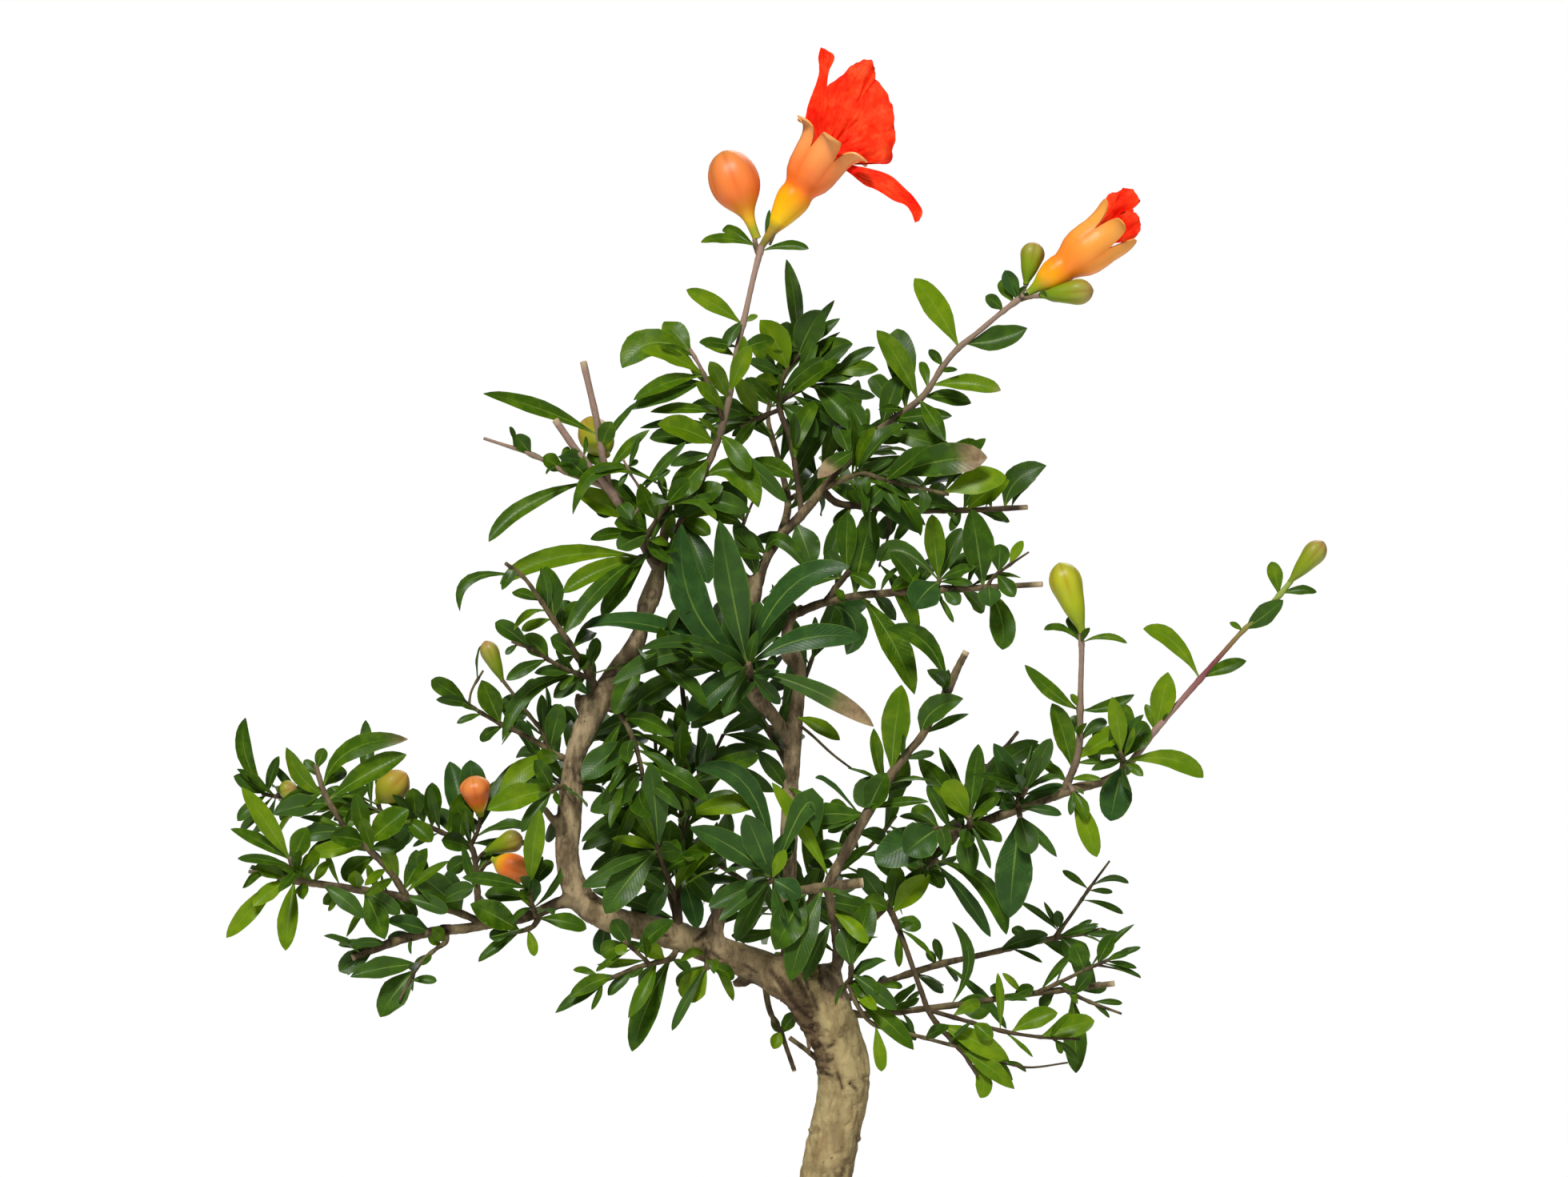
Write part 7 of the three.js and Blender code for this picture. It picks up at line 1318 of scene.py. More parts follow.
def bark_relief(point, girth):
    """How far the bark stands out at a point, in metres: knots, wrinkles across, and cracks."""
    knots = sum(noise.noise(point * scale) * 0.5 for scale in BARK_RELIEF["knot_scales"])
    wrinkles = noise.noise(scaled(point, BARK_RELIEF["wrinkle_scale"]))
    cracks = abs(noise.noise(scaled(point, BARK_RELIEF["crack_scale"]) + Vector((7, 3, 1))))
    width = BARK_RELIEF["crack_width"]
    size = min(girth, BARK_RELIEF["most_radius"]) * UNIT
    return size * (BARK_RELIEF["knots"] * knots + BARK_RELIEF["wrinkles"] * wrinkles
                   - BARK_RELIEF["cracks"] * max(0, width - cracks) / width)


def bend_wrinkles_and_shade_at(u, v, point):
    """How deeply the inside of the trunk's bend is wrinkled at a point, from 0 to 1, which is also the
    share of painted shade there.
    """
    first, last = WRINKLED["from"], WRINKLED["to"]
    if not first < v < last:
        return 0
    middles, heights, _, radii = zip(*reversed(WOOD["trunk"]))
    side = (u - np.interp(v, heights, middles)) / np.interp(v, heights, radii)
    ends = min(1, (v - first) / WRINKLED["fade_in"], (last - v) / WRINKLED["fade_out"])
    wander = WRINKLED["wander"] * noise.noise(point * WRINKLED["wander_scale"])
    return min(1, max(0, (WRINKLED["side"] - side + wander) / WRINKLED["edge"])) * ends


def make_wood():
    """Trunk and limbs in one skin, with knots and wrinkles raised from it and cracks sunk into it."""
    wood = wood_surface()
    tree, girths = route_tree(WOOD.values())
    mesh = wood.data
    normals = [vertex.normal.copy() for vertex in mesh.vertices]
    cut_ends = [Vector(place(WOOD[name][-1][:3])) for name in CUT_ROUTES]
    numbers = {"girth": [], "cut": [], "crack": [], "wrinkle_and_shade": []}
    for vertex, normal in zip(mesh.vertices, normals):
        girth = girths[tree.find(vertex.co)[1]]
        u, v = drawn_at(vertex.co)
        crack, raised = wood_marks(u, v, normal.y < FRONT_LIMIT)
        # The wrinkle share raises ridges in the bend and also sets the painted shade there.
        wrinkle_and_shade = bend_wrinkles_and_shade_at(u, v, vertex.co)
        to_cut = min((end - vertex.co).length for end in cut_ends)
        numbers["girth"].append(min(1, girth / GIRTH_FULL))
        numbers["crack"].append(crack)
        numbers["wrinkle_and_shade"].append(wrinkle_and_shade)
        numbers["cut"].append(max(0, 1 - to_cut / CUT_REACH) * CUT_STRENGTH)
        ridges = WRINKLE_HEIGHT * wrinkle_and_shade * noise.noise(vertex.co * WRINKLE_SCALE)
        lift = bark_relief(vertex.co, girth) + (raised - CRACK_DEPTH * crack + ridges) * UNIT
        vertex.co += normal * lift
    for label, values in numbers.items():
        mark(mesh, label, values)
    mesh.shade_smooth()
    dress(wood, "trunk", BARK)


# ---- Twigs -----------------------------------------------------------------------------------------

# How young a shoot's twigs are from root to tip: 0 brown bark, 0.6 pinkish, 0.8 purple, 1 green.
YOUNG_REACH = {"top_left": (0.35, 0.55), "flower_stalk": (0.05, 0.64), "half_flower": (0.25, 0.5),
               "far_right": (0.4, 1.15), "right_upright": (0.3, 0.5), "left_branch": (0.1, 0.35),
               "lower_hanging": (0.05, 0.2)}
OLD_REACH = (0, 0.12)
# The twigs, by number, that end in a pruning cut.
CUT_TWIGS = {"branch_one": (0,), "branch_two": (0,), "stub_shoot": (0, 1), "top_left": (0, 2),
             "lower_first": (0,), "lower_second": (0,), "left_tip": (0,), "under_fork": (0,)}
# Shoots whose twigs are as dark as cracked bark, and how far.
DARK_TWIGS = ("crown_centre", "lower_hanging", "inner_stems", "branch_one", "limb_top", "left_rear")
TWIG_DARKNESS = 0.6
TWIG_STEPS, TWIG_SIDES = 7, 9
TWIG_SLIMMING, TWIG_UNEVENNESS = 0.93, 0.06
# Where a leaf's foot stands on a twig: how far the twig swells, and over what reach, in metres.
NODE_SWELLING, NODE_REACH = 0.00016, 0.0009
CUT_FROM = 0.985


def make_twigs(name, shoot, bases):
    """Round twigs with a slight swelling at each leaf's base, sunk into the wood that bears them."""
    skin = Skin()
    draw = random.Random(name)
    first_fresh, last_fresh = YOUNG_REACH.get(name, OLD_REACH)
    for number, route in enumerate(slanted_twigs(shoot) + MORE_TWIGS.get(name, [])):
        curve = smooth_route(route, TWIG_STEPS)
        centres = place(curve[:, :3])
        along = np.linspace(0, 1, len(curve))
        uneven = 1 + TWIG_UNEVENNESS * np.array([draw.uniform(-1, 1) for _ in curve])
        reach = np.linalg.norm(centres[:, None] - np.array(bases)[None], axis=2).min(axis=1)
        radii = (curve[:, 3] * UNIT * TWIG_SLIMMING * uneven
                 + NODE_SWELLING * np.exp(-(reach / NODE_REACH) ** 2))
        ends_cut = number in CUT_TWIGS.get(name, ())
        dark = TWIG_DARKNESS if name in DARK_TWIGS else 0
        per_ring = {"girth": curve[:, 3] / GIRTH_FULL, "crack": np.full(len(curve), dark),
                    "fresh": first_fresh + (last_fresh - first_fresh) * along,
                    "cut": (along > CUT_FROM) & ends_cut}
        skin.add(tube_rings(centres, radii, TWIG_SIDES), ring_faces(len(centres), TWIG_SIDES),
                 **{label: np.repeat(values, TWIG_SIDES) for label, values in per_ring.items()})
    dress(skin.build(f"twigs_{name}"), f"shoot_{name}", BARK)


# ---- Leaves ----------------------------------------------------------------------------------------


class SeededDraw:
    """The solids' repeatable draw between 0 and 1."""

    MULTIPLIER, INCREMENT, MODULUS = 1664525, 1013904223, 2 ** 32

    def __init__(self, seed):
        self.state = seed

    def __call__(self):
        self.state = (self.state * self.MULTIPLIER + self.INCREMENT) % self.MODULUS
        return self.state / self.MODULUS


def stretches(route):
    """The straight stretches between a route's points, from and to (u, v, depth)."""
    points = [np.array(point[:3]) for point in route]
    return list(zip(points, points[1:]))


def nearest_on_twigs(twigs, u, v):
    """The place on the twigs, as (u, v, depth), that is drawn nearest to (u, v)."""
    best, best_distance = None, math.inf
    for route in twigs:
        for number, (start, end) in enumerate(stretches(route), 1):
            du, dv, _ = end - start
            along = ((u - start[0]) * du + (v - start[1]) * dv) / (du * du + dv * dv)
            share = min(max(along, 0), 1 if number < len(route) - 1 else LAST_NODE)
            point = start + (end - start) * share
            distance = math.hypot(point[0] - u, point[1] - v)
            if distance < best_distance:
                best, best_distance = point, distance
    return best


def listed_leaves(shoot, twigs, draw):
    """The leaves that are listed one by one, each moved to the twig that it is drawn nearest to."""
    leaves = []
    for base_u, base_v, tip_u, tip_v, width, *gain in shoot["leaves"]:
        base = nearest_on_twigs(twigs, base_u, base_v)
        length = math.hypot(tip_u - base[0], tip_v - base[1])
        lean = (draw() - 0.5) * LISTED_LEAN * length
        tip = np.array([tip_u, tip_v, base[2] + (gain[0] if gain else lean)])
        leaves.append({"base": base, "tip": tip, "width": width, "listed": True})
    return leaves


def fill_leaves(twigs, spacing, draw):
    """Opposite pairs along each twig, each pair turned a quarter round from the last."""
    leaves = []
    for route in twigs if spacing else []:
        turn = draw() * math.pi
        wait = spacing * FILL_LEAF["first"]
        for start, end in stretches(route):
            reach = np.linalg.norm(end - start)
            along = (end - start) / reach
            across = unit(np.array([along[1], -along[0], 0.01]))
            rise = np.cross(along, across)
            while wait < reach:
                turn += math.pi / 2 + (draw() - 0.5) * FILL_LEAF["turn_spread"]
                for side in (0, math.pi):
                    length = FILL_LEAF["length"] * (FILL_LEAF["least_length"]
                                                    + FILL_LEAF["length_spread"] * draw())
                    opening = FILL_LEAF["opening"] * (FILL_LEAF["least_opening"]
                                                      + FILL_LEAF["opening_spread"] * draw())
                    heading = (along * math.cos(opening)
                               + across * math.sin(opening) * math.cos(turn + side)
                               + rise * math.sin(opening) * math.sin(turn + side))
                    heading[1] += FILL_LEAF["droop"]
                    base = start + along * wait
                    leaves.append({"base": base, "tip": base + heading * length,
                                   "width": length * FILL_LEAF["width"], "listed": False,
                                   "roll": FILL_LEAF["roll"] * math.sin(length + turn)})
                wait += spacing
            wait -= reach
    return leaves


def more_leaves(name, twigs):
    """The further leaves, each moved in depth until its foot is on the twig that it is drawn on."""
    leaves = []
    for *places, width, tone in MORE_LEAVES.get(name, []):
        base, tip = np.array(places[:3], float), np.array(places[3:], float)
        seat = nearest_on_twigs(twigs + MORE_TWIGS.get(name, []), base[0], base[1])
        if math.hypot(seat[0] - base[0], seat[1] - base[1]) < SEAT_REACH:
            shift = np.array([0, 0, seat[2] - base[2]])
            base, tip = base + shift, tip + shift
        leaves.append({"base": base, "tip": tip, "width": width, "tone": tone, "listed": True})
    return leaves


def small_leaves(name, twigs):
    """Small leaves along the outer twigs, in pairs, on top of those that the solids hold."""
    count, mean_length = SMALL_LEAVES[name]
    draw = random.Random(f"small {name}")
    # The first stretch of a long main twig stays bare.
    main, *side_twigs = twigs
    leafy = stretches(main)[1 if len(main) > 3 else 0:]
    for route in side_twigs:
        leafy += stretches(route)
    weights = [np.linalg.norm(end - start) for start, end in leafy]
    leaves = []
    for _ in range(count // 2):
        start, end = draw.choices(leafy, weights)[0]
        along = unit(end - start)
        base = start + (end - start) * draw.uniform(SMALL_LEAF["first"], LAST_NODE)
        across = unit(np.cross(along, np.array([draw.gauss(0, 1) for _ in range(3)])))
        for side in (1, -1):
            length = mean_length * draw.uniform(*SMALL_LEAF["lengths"])
            opening = draw.uniform(*SMALL_LEAF["openings"])
            heading = along * math.cos(opening) + across * side * math.sin(opening)
            heading[1] += draw.uniform(*SMALL_LEAF["droops"])
            leaves.append({"base": base, "tip": base + unit(heading) * length,
                           "width": length * draw.uniform(*SMALL_LEAF["widths"]), "listed": False,
                           "roll": draw.gauss(0, SMALL_LEAF["roll"])})
    return leaves


def in_open_sky(leaf):
    """Whether a leaf, seen from the front, lies in one of the gaps in the foliage."""
    spots = [leaf["base"] * (1 - share) + leaf["tip"] * share for share in SKY_SHARES]
    return any(math.hypot(spot[0] - u, spot[1] - v) < radius for u, v, radius in OPEN_SKY for spot in spots)


def tip_tree(node):
    """The solid's vertices, to look up which way each of its blades swings."""
    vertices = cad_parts[node].data.vertices
    tree = KDTree(len(vertices))
    for index, vertex in enumerate(vertices):
        tree.insert(vertex.co, index)
    tree.balance()
    return tree


def settle(leaf, tree):
    """Swings a leaf's tip in depth as the solid's blade does."""
    drawn_length = np.linalg.norm(leaf["tip"] - leaf["base"])
    best_gap = SAME_TIP
    swung = leaf["tip"]
    for swing in SWINGS:
        tip = leaf["tip"] + np.array([0, 0, swing * drawn_length])
        gap = tree.find(place(tip))[2]
        if gap < best_gap:
            best_gap, swung = gap, tip
    return {**leaf, "tip": swung, "drawn_length": drawn_length}


def noted(table, tip, other):
    """The entry of a table of tips that is nearest to this tip, if one is near enough."""
    near = min(table, key=lambda spot: math.hypot(spot[0] - tip[0], spot[1] - tip[1]))
    return table[near] if math.hypot(near[0] - tip[0], near[1] - tip[1]) < TIP_REACH else other


TONE_OF_TIP = {tip: tone for tone, tips in TONED_TIPS.items() for tip in tips}


def blade_lines(leaf):
    """The blade's centre line, and the frame across it, as on the solid."""
    base, tip = place(leaf["base"]), place(leaf["tip"])
    chord = tip - base
    length = np.linalg.norm(chord)
    direction = chord / length
    true_width = max(leaf["width"], SLENDEREST * leaf["drawn_length"])
    roll = math.acos(min(1, leaf["width"] / true_width))
    normal = FACING * (math.cos(roll) + FACE_FORWARDS) + UPWARDS * (math.sin(roll) + FACE_UP)
    normal = unit(normal - direction * normal.dot(direction))
    if not leaf["listed"]:
        normal = turned(normal, direction, leaf["roll"])
    arch = UPWARDS * ARCH_UP + FACING * ARCH_FORWARDS
    arch = (arch - direction * arch.dot(direction)) * length
    bow = noted(BOWED_TIPS, leaf["tip"], None) if leaf["listed"] else None
    if bow:
        middle_depth = (leaf["base"][2] + leaf["tip"][2]) / 2
        arch = place((*bow, middle_depth)) - (base + tip) / 2
    share = STATIONS[:, None]
    centres = base + chord * share + arch * 4 * share * (1 - share)
    return centres, normal, length, true_width * UNIT / 2


def add_blade(skin, leaf, draw, tone):
    """One fine blade: folded along its midrib, waved at its edges, and turned a little along its length."""
    centres, normal, length, half_width = blade_lines(leaf)
    habit = LISTED_HABIT if leaf["listed"] else RULE_HABIT
    share = STATIONS
    curl = draw.uniform(*habit["curls"]) * length
    centres = centres + normal * (curl * (share - share ** 3))[:, None]
    sideways = np.cross(normal, unit(centres[-1] - centres[0]))
    bend = draw.uniform(*habit["bends"]) * length
    centres = centres + sideways * (bend * 4 * share * (1 - share))[:, None]
    tangents = unit(np.gradient(centres, axis=0))
    sides = unit(np.cross(normal, tangents))
    faces_up = np.cross(tangents, sides)
    twist = draw.uniform(*BLADE_HABIT["twists"]) * (share - BLADE_HABIT["untwisted"])
    across_way = sides * np.cos(twist)[:, None] + faces_up * np.sin(twist)[:, None]
    up_way = faces_up * np.cos(twist)[:, None] - sides * np.sin(twist)[:, None]
    points = "long_points" if leaf["drawn_length"] > LONG_LEAF else "short_points"
    pointed = draw.uniform(*BLADE_HABIT[points])
    half_width = half_width * (noted(SLIM_TIPS, leaf["tip"], 1) if leaf["listed"] else 1)
    breadth = (np.interp(share, OUTLINE_AT, BLUNT) * (1 - pointed)
               + np.interp(share, OUTLINE_AT, POINTED) * pointed)[:, None]
    column = np.linspace(-1, 1, COLUMNS)
    fold = draw.uniform(*BLADE_HABIT["folds"])
    phase = draw.uniform(0, 2 * math.pi)
    ripples = draw.uniform(*BLADE_HABIT["ripples"])
    swell = np.sin(2 * math.pi * ripples * share[:, None] + phase + (column > 0) * BLADE_HABIT["wave_lag"])
    wave = BLADE_HABIT["wave"] * swell * column ** 2
    out = half_width * breadth * column * math.cos(fold)
    lift = half_width * breadth * (np.abs(column) ** BLADE_HABIT["fold_power"] * math.sin(fold) + wave)
    # Thinner towards its edges and ends, and thickest along the midrib, towards its foot.
    thickness = BLADE_THICKNESS * (1.25 - column ** 2) * (0.35 + 0.65 * breadth)
    thickness = thickness + np.where(np.abs(column) < 0.1, MIDRIB_THICKNESS * (1 - share[:, None]), 0)
    top = centres[:, None] + across_way[:, None] * out[..., None] + up_way[:, None] * lift[..., None]
    below = top - up_way[:, None] * thickness[..., None]
    rings = np.concatenate([top, below[:, ::-1]], axis=1)
    ring_size = 2 * COLUMNS
    across = np.concatenate([column, column[::-1]])
    under = np.repeat([0, 1], COLUMNS)
    dry_share = noted(DRY_TIPS, leaf["tip"], 0) if leaf["listed"] else 0
    dry = np.clip((share - 1 + dry_share * 1.25) / BLADE_HABIT["dry_fade"], 0, 1)
    skin.add(rings, ring_faces(len(share), ring_size),
             along=np.repeat(share, ring_size), across=np.tile(across, len(share)),
             under=np.tile(under, len(share)), tone=tone, dry=np.repeat(dry, ring_size))


def make_shoot(index, name, shoot):
    """A shoot's twigs and leaves, in the place of its solid."""
    twigs = slanted_twigs(shoot)
    draw = SeededDraw(SEED_START + index * SEED_STEP)
    listed = [leaf for leaf in listed_leaves(shoot, twigs, draw) if tuple(leaf["tip"][:2]) not in LEFT_OUT]
    leaves = listed + fill_leaves(twigs, shoot["spacing"], draw)
    tree = tip_tree(f"shoot_{name}")
    leaves = [settle(leaf, tree) for leaf in leaves]
    for leaf in more_leaves(name, twigs) + small_leaves(name, twigs):
        leaves.append({**leaf, "drawn_length": np.linalg.norm(leaf["tip"] - leaf["base"])})
    leaves = [leaf for leaf in leaves if leaf["listed"] or not in_open_sky(leaf)]
    draw_habit = random.Random(f"habit {name}")
    common = TONE_OF_SHOOT[shoot["tone"]]
    skin = Skin()
    for leaf in leaves:
        habit = LISTED_HABIT if leaf["listed"] else RULE_HABIT
        tone = leaf.get("tone") or (noted(TONE_OF_TIP, leaf["tip"], common) if leaf["listed"] else common)
        tone = min(1, max(0, tone + draw_habit.gauss(0, habit["tone_spread"])))
        add_blade(skin, leaf, draw_habit, tone)
    blades = skin.build(f"leaves_{name}", sharp_angle=62)
    dress(blades, f"shoot_{name}", LEAF)
    make_twigs(name, shoot, [place(leaf["base"]) for leaf in leaves])


# ---- Buds and flowers ------------------------------------------------------------------------------


def axis_frame(base, tip):
    """A place, the way from it to another, how far that is, and the two directions across it."""
    start = place(base)
    axis = unit(place(tip) - start)
    length = np.linalg.norm(place(tip) - start)
    normal = unit(np.cross(axis, FACING))
    return start, axis, length, normal, np.cross(axis, normal)


def round_axis(normal, binormal, angles):
    return normal * np.cos(angles)[:, None] + binormal * np.sin(angles)[:, None]


# Buds: their foot in the twig and the rest of their stations, as shares of their length.
BUD_STATIONS = np.concatenate([np.linspace(-0.08, 0.9, 24), [0.93, 0.955, 0.975, 0.99, 1]])
BUD_TIP = 0.02
# The ribs rise from and are full at these shares of the bud's length.
BUD_SIDES, BUD_RIBS, RIB_HEIGHT, RIBS_FROM, RIBS_RISE = 36, 6, 0.035, 0.35, 0.3


def make_bud(name, shoot, profile, slot, girth, base, tip):
    """A bud or a young fruit: a smooth skin with faint ribs, closed at its tip, darker in the grooves
    between the ribs, partly as painted shade.
    """
    lift = (0, 0, slant_gain(SHOOTS[shoot], base))
    start, axis, length, normal, binormal = axis_frame(np.add(base, lift), np.add(tip, lift))
    stations, shares = zip(*BUD_PROFILES[profile])
    reach = BUD_STATIONS
    breadth = np.interp(reach, stations + (1,), shares + (BUD_TIP,))
    breadth[1:-1] = (breadth[:-2] + 2 * breadth[1:-1] + breadth[2:]) / 4
    angles = angles_round(BUD_SIDES)
    rib = np.cos(BUD_RIBS * angles)
    ribbed = np.clip((reach - RIBS_FROM) / RIBS_RISE, 0, 1)[:, None]
    radius = girth * UNIT * breadth[:, None] * (1 + RIB_HEIGHT * rib[None] * ribbed)
    around = round_axis(normal, binormal, angles)
    rings = start + axis * (length * reach)[:, None, None] + around[None] * radius[..., None]
    skin = Skin()
    skin.add(rings, ring_faces(len(reach), BUD_SIDES), reach=np.repeat(reach, BUD_SIDES),
             seam=np.clip(-rib, 0, 1)[None] ** 3 * ribbed)
    dress(skin.build(f"skin_{name}", sharp_angle=70), name, SKINS[slot])


# How far from a flower's foot its axis is sighted, in drawing units.
AXIS_SIGHT = 100


def flower_frame(flower):
    """Where a flower's foot stands, its axis, and the two directions across it."""
    gain = slant_gain(SHOOTS[flower["on"]], flower["base"])
    base = np.array(flower["base"], float) + (0, 0, gain)
    start, axis, _, normal, binormal = axis_frame(base, base + np.array(flower["axis"]) * AXIS_SIGHT)
    return start, axis, normal, binormal


# Calyxes: columns and rows of each lobe, rows of the cup, and how far its foot is in the twig.
LOBE_COLUMNS, LOBE_ROWS, CUP_ROWS = 24, 12, 36
CALYX_FOOT = -4
LOBE_BLUNTNESS, LOBE_START_BEND, LOBE_THINNING = 2.2, 0.1, 0.45
# A lobe's inside lies this share of its thickness up along its curl, and this much lower.
LOBE_LEAN, LOBE_DROP = 0.9, 0.3
# Ridges run down from the lobes: their height, and where down the cup, from its mouth, they start.
RIDGE_HEIGHT, RIDGE_FROM, RIDGE_RISE = 0.07, 0.68, 20
# The lobes' darker seams, partly painted shade, set in from this share of the mouth's reach over this many
# units.
SEAM_FROM, SEAM_RISE = 0.6, 30
# The cup's inside: how far below the mouth or above the floor, and its width as a share of the room.
INSIDE_ROWS = (("mouth", -2, 1), ("mouth", -14, 0.96), ("floor", 2, 0.8))


def make_calyx(name, flower, slot):
    """A fleshy cup with blunt lobes that curl out at their ends."""
    start, axis, normal, binormal = flower_frame(flower)
    curls, lobe_length, wall = flower["curls"], flower["lobe_length"], flower["wall"]
    sides = LOBE_COLUMNS * len(curls)
    turn = np.arange(sides) / LOBE_COLUMNS
    # 1 on the middle of a lobe and 0 in the notch between two.
    lobe = 1 - np.abs(2 * (turn % 1) - 1)
    curl = np.array([curls[int(at)] for at in turn])
    length = lobe_length * (1 - (1 - lobe) ** LOBE_BLUNTNESS)
    around = round_axis(normal, binormal, turn / len(curls) * 2 * math.pi)
    stations, radii = np.array(flower["profile"], float).T
    mouth, mouth_radius = stations[-1], radii[-1]
    rows, reaches, seams, inners = [], [], [], []

    def add_row(reach, radius, drawn, inner=0):
        rows.append(start + axis * (reach * UNIT)[:, None] + around * (radius * UNIT)[:, None])
        reaches.append(np.broadcast_to(drawn, sides) / (mouth + lobe_length))
        # Seams darken the notches between the lobes towards the mouth, partly as painted shade.
        seams.append((1 - lobe) ** 3 * np.clip((drawn - mouth * SEAM_FROM) / SEAM_RISE, 0, 1))
        inners.append(np.full(sides, inner))

    for reach in np.linspace(CALYX_FOOT, mouth, CUP_ROWS):
        ridged = np.clip((reach - mouth * RIDGE_FROM) / RIDGE_RISE, 0, 1)
        ridge = 1 + RIDGE_HEIGHT * (lobe - 0.5) * ridged
        add_row(np.full(sides, reach), np.interp(reach, stations, radii) * ridge, reach)
    tongues = []
    reach = np.full(sides, mouth)
    radius = mouth_radius * (1 + RIDGE_HEIGHT * (lobe - 0.5))
    for row in range(1, LOBE_ROWS + 1):
        run = length * row / LOBE_ROWS
        bend = LOBE_START_BEND + curl * (run / lobe_length) ** 2
        reach = reach + np.cos(bend) * length / LOBE_ROWS
        radius = radius + np.sin(bend) * length / LOBE_ROWS
        tongues.append((row, reach, radius, bend, mouth + run))
        add_row(reach, radius, mouth + run)
    for row, reach, radius, bend, drawn in reversed(tongues):
        thick = wall * (1 - LOBE_THINNING * row / LOBE_ROWS)
        add_row(reach + np.sin(bend) * thick * LOBE_LEAN - LOBE_DROP, radius - np.cos(bend) * thick,
                drawn, 1)
    for level, offset, share in INSIDE_ROWS:
        reach = {"mouth": mouth, "floor": flower["floor"]}[level] + offset
        inside = (np.interp(reach, stations, radii) - wall) * share
        add_row(np.full(sides, reach), np.full(sides, inside), reach, 1)
    skin = Skin()
    skin.add(np.array(rows), ring_faces(len(rows), sides), reach=np.concatenate(reaches),
             seam=np.concatenate(seams), inner=np.concatenate(inners))
    dress(skin.build(f"cup_{name}", sharp_angle=75), f"{name}_calyx", SKINS[slot])


PETAL_ROWS, PETAL_COLUMNS, PETAL_STEPS = 44, 61, 12
PETAL_THICKNESS = 0.0002
DOWN_PETAL = np.linspace(0, 1, PETAL_ROWS)[:, None]
ACROSS_PETAL = np.linspace(-1, 1, PETAL_COLUMNS)[None]
# A fan starts at this share of the way from its foot, so that it isn't a single point there.
CLAW_FROM = 0.02
# A petal is bowed by this share of its width, and crumpled fully from this width up.
PETAL_BOW, FULL_WIDTH = 0.1, 60
# The frayed edge, as waves of (height, rate, lag).
FRAYS = ((0.012, 13, 1), (0.008, 31, 3))
# How strong the ripples along a petal and the ruffles at its edge are beside its folds.
RIPPLES, RUFFLES = 0.2, 0.16
# How far apart in the noise two petals' folds are drawn.
PETAL_SEED_STEP = 3.7
# The folds' rates down and across a petal, how far they lean, and their character.
FOLD_RATE_DOWN, FOLD_RATE_ACROSS, FOLD_LEAN = 2.8, 2.2, 0.4
FOLD_ROUGHNESS, FOLD_GAP, FOLD_LAYERS = 0.95, 2.1, 4


def spread_evenly(route, count, gain):
    """A smooth curve through (u, v, depth) points, as places at equal shares of its steps."""
    points = [(u, v, depth + gain, 0) for u, v, depth in route]
    curve = place(smooth_route(points, PETAL_STEPS)[:, :3])
    picks = np.linspace(0, len(curve) - 1, count)
    return np.stack([np.interp(picks, np.arange(len(curve)), column) for column in curve.T], axis=1)


def petal_sheet(petal, seed, gain):
    """A petal's smooth shape: a fan from its foot to its edge, or a strip between its two sides."""
    if "sides" in petal:
        left, right = (spread_evenly(side, PETAL_ROWS, gain)[:, None] for side in petal["sides"])
        share = np.linspace(0, 1, PETAL_COLUMNS)[None, :, None]
        return left + (right - left) * share
    edge = spread_evenly(petal["edge"], PETAL_COLUMNS, gain)
    foot = place(np.array(petal["foot"]) + (0, 0, gain))
    share = np.linspace(CLAW_FROM, 1, PETAL_ROWS)[:, None]
    fray = sum(height * np.sin(ACROSS_PETAL * rate + seed * lag) for height, rate, lag in FRAYS)
    return foot + (edge - foot) * (share * (1 + fray * share ** 4))[..., None]


def sheet_normals(sheet):
    """The direction across a sheet of points, at each of them."""
    return unit(np.cross(np.gradient(sheet, axis=0), np.gradient(sheet, axis=1)))


def petal_folds(seed):
    """Seeded folds for each point of a petal."""
    def fold(down, across):
        spot = (down * FOLD_RATE_DOWN + across * FOLD_LEAN, across * FOLD_RATE_ACROSS, seed)
        return noise.fractal(Vector(spot), FOLD_ROUGHNESS, FOLD_GAP, FOLD_LAYERS)

    return np.array([[fold(down, across) for across in ACROSS_PETAL[0]] for down in DOWN_PETAL[:, 0]])


def crinkled(sheet, seed, crumple):
    """The sheet bowed towards the viewer, and crumpled in proportion to its width."""
    thin = sheet_normals(sheet)
    thin = thin * np.where(thin[..., 1:2] > 0, -1, 1)
    share, across = DOWN_PETAL, ACROSS_PETAL
    width = np.linalg.norm(sheet[:, -1] - sheet[:, 0], axis=1)[:, None] / UNIT
    ripples = np.sin(across * 9 + np.sin(share * 6 + seed) * 1.3 + seed) * share ** 0.7
    ruffle = np.sin(across * 15 + share * 3 + seed * 2) * share ** 5
    room = np.minimum(1, width / FULL_WIDTH)
    lift = PETAL_BOW * width * np.sin(math.pi * share ** 0.8) * (1 - across ** 2)
    lift = lift + crumple * room * (petal_folds(seed) + RIPPLES * ripples + RUFFLES * ruffle)
    return sheet + thin * (lift * UNIT)[..., None]


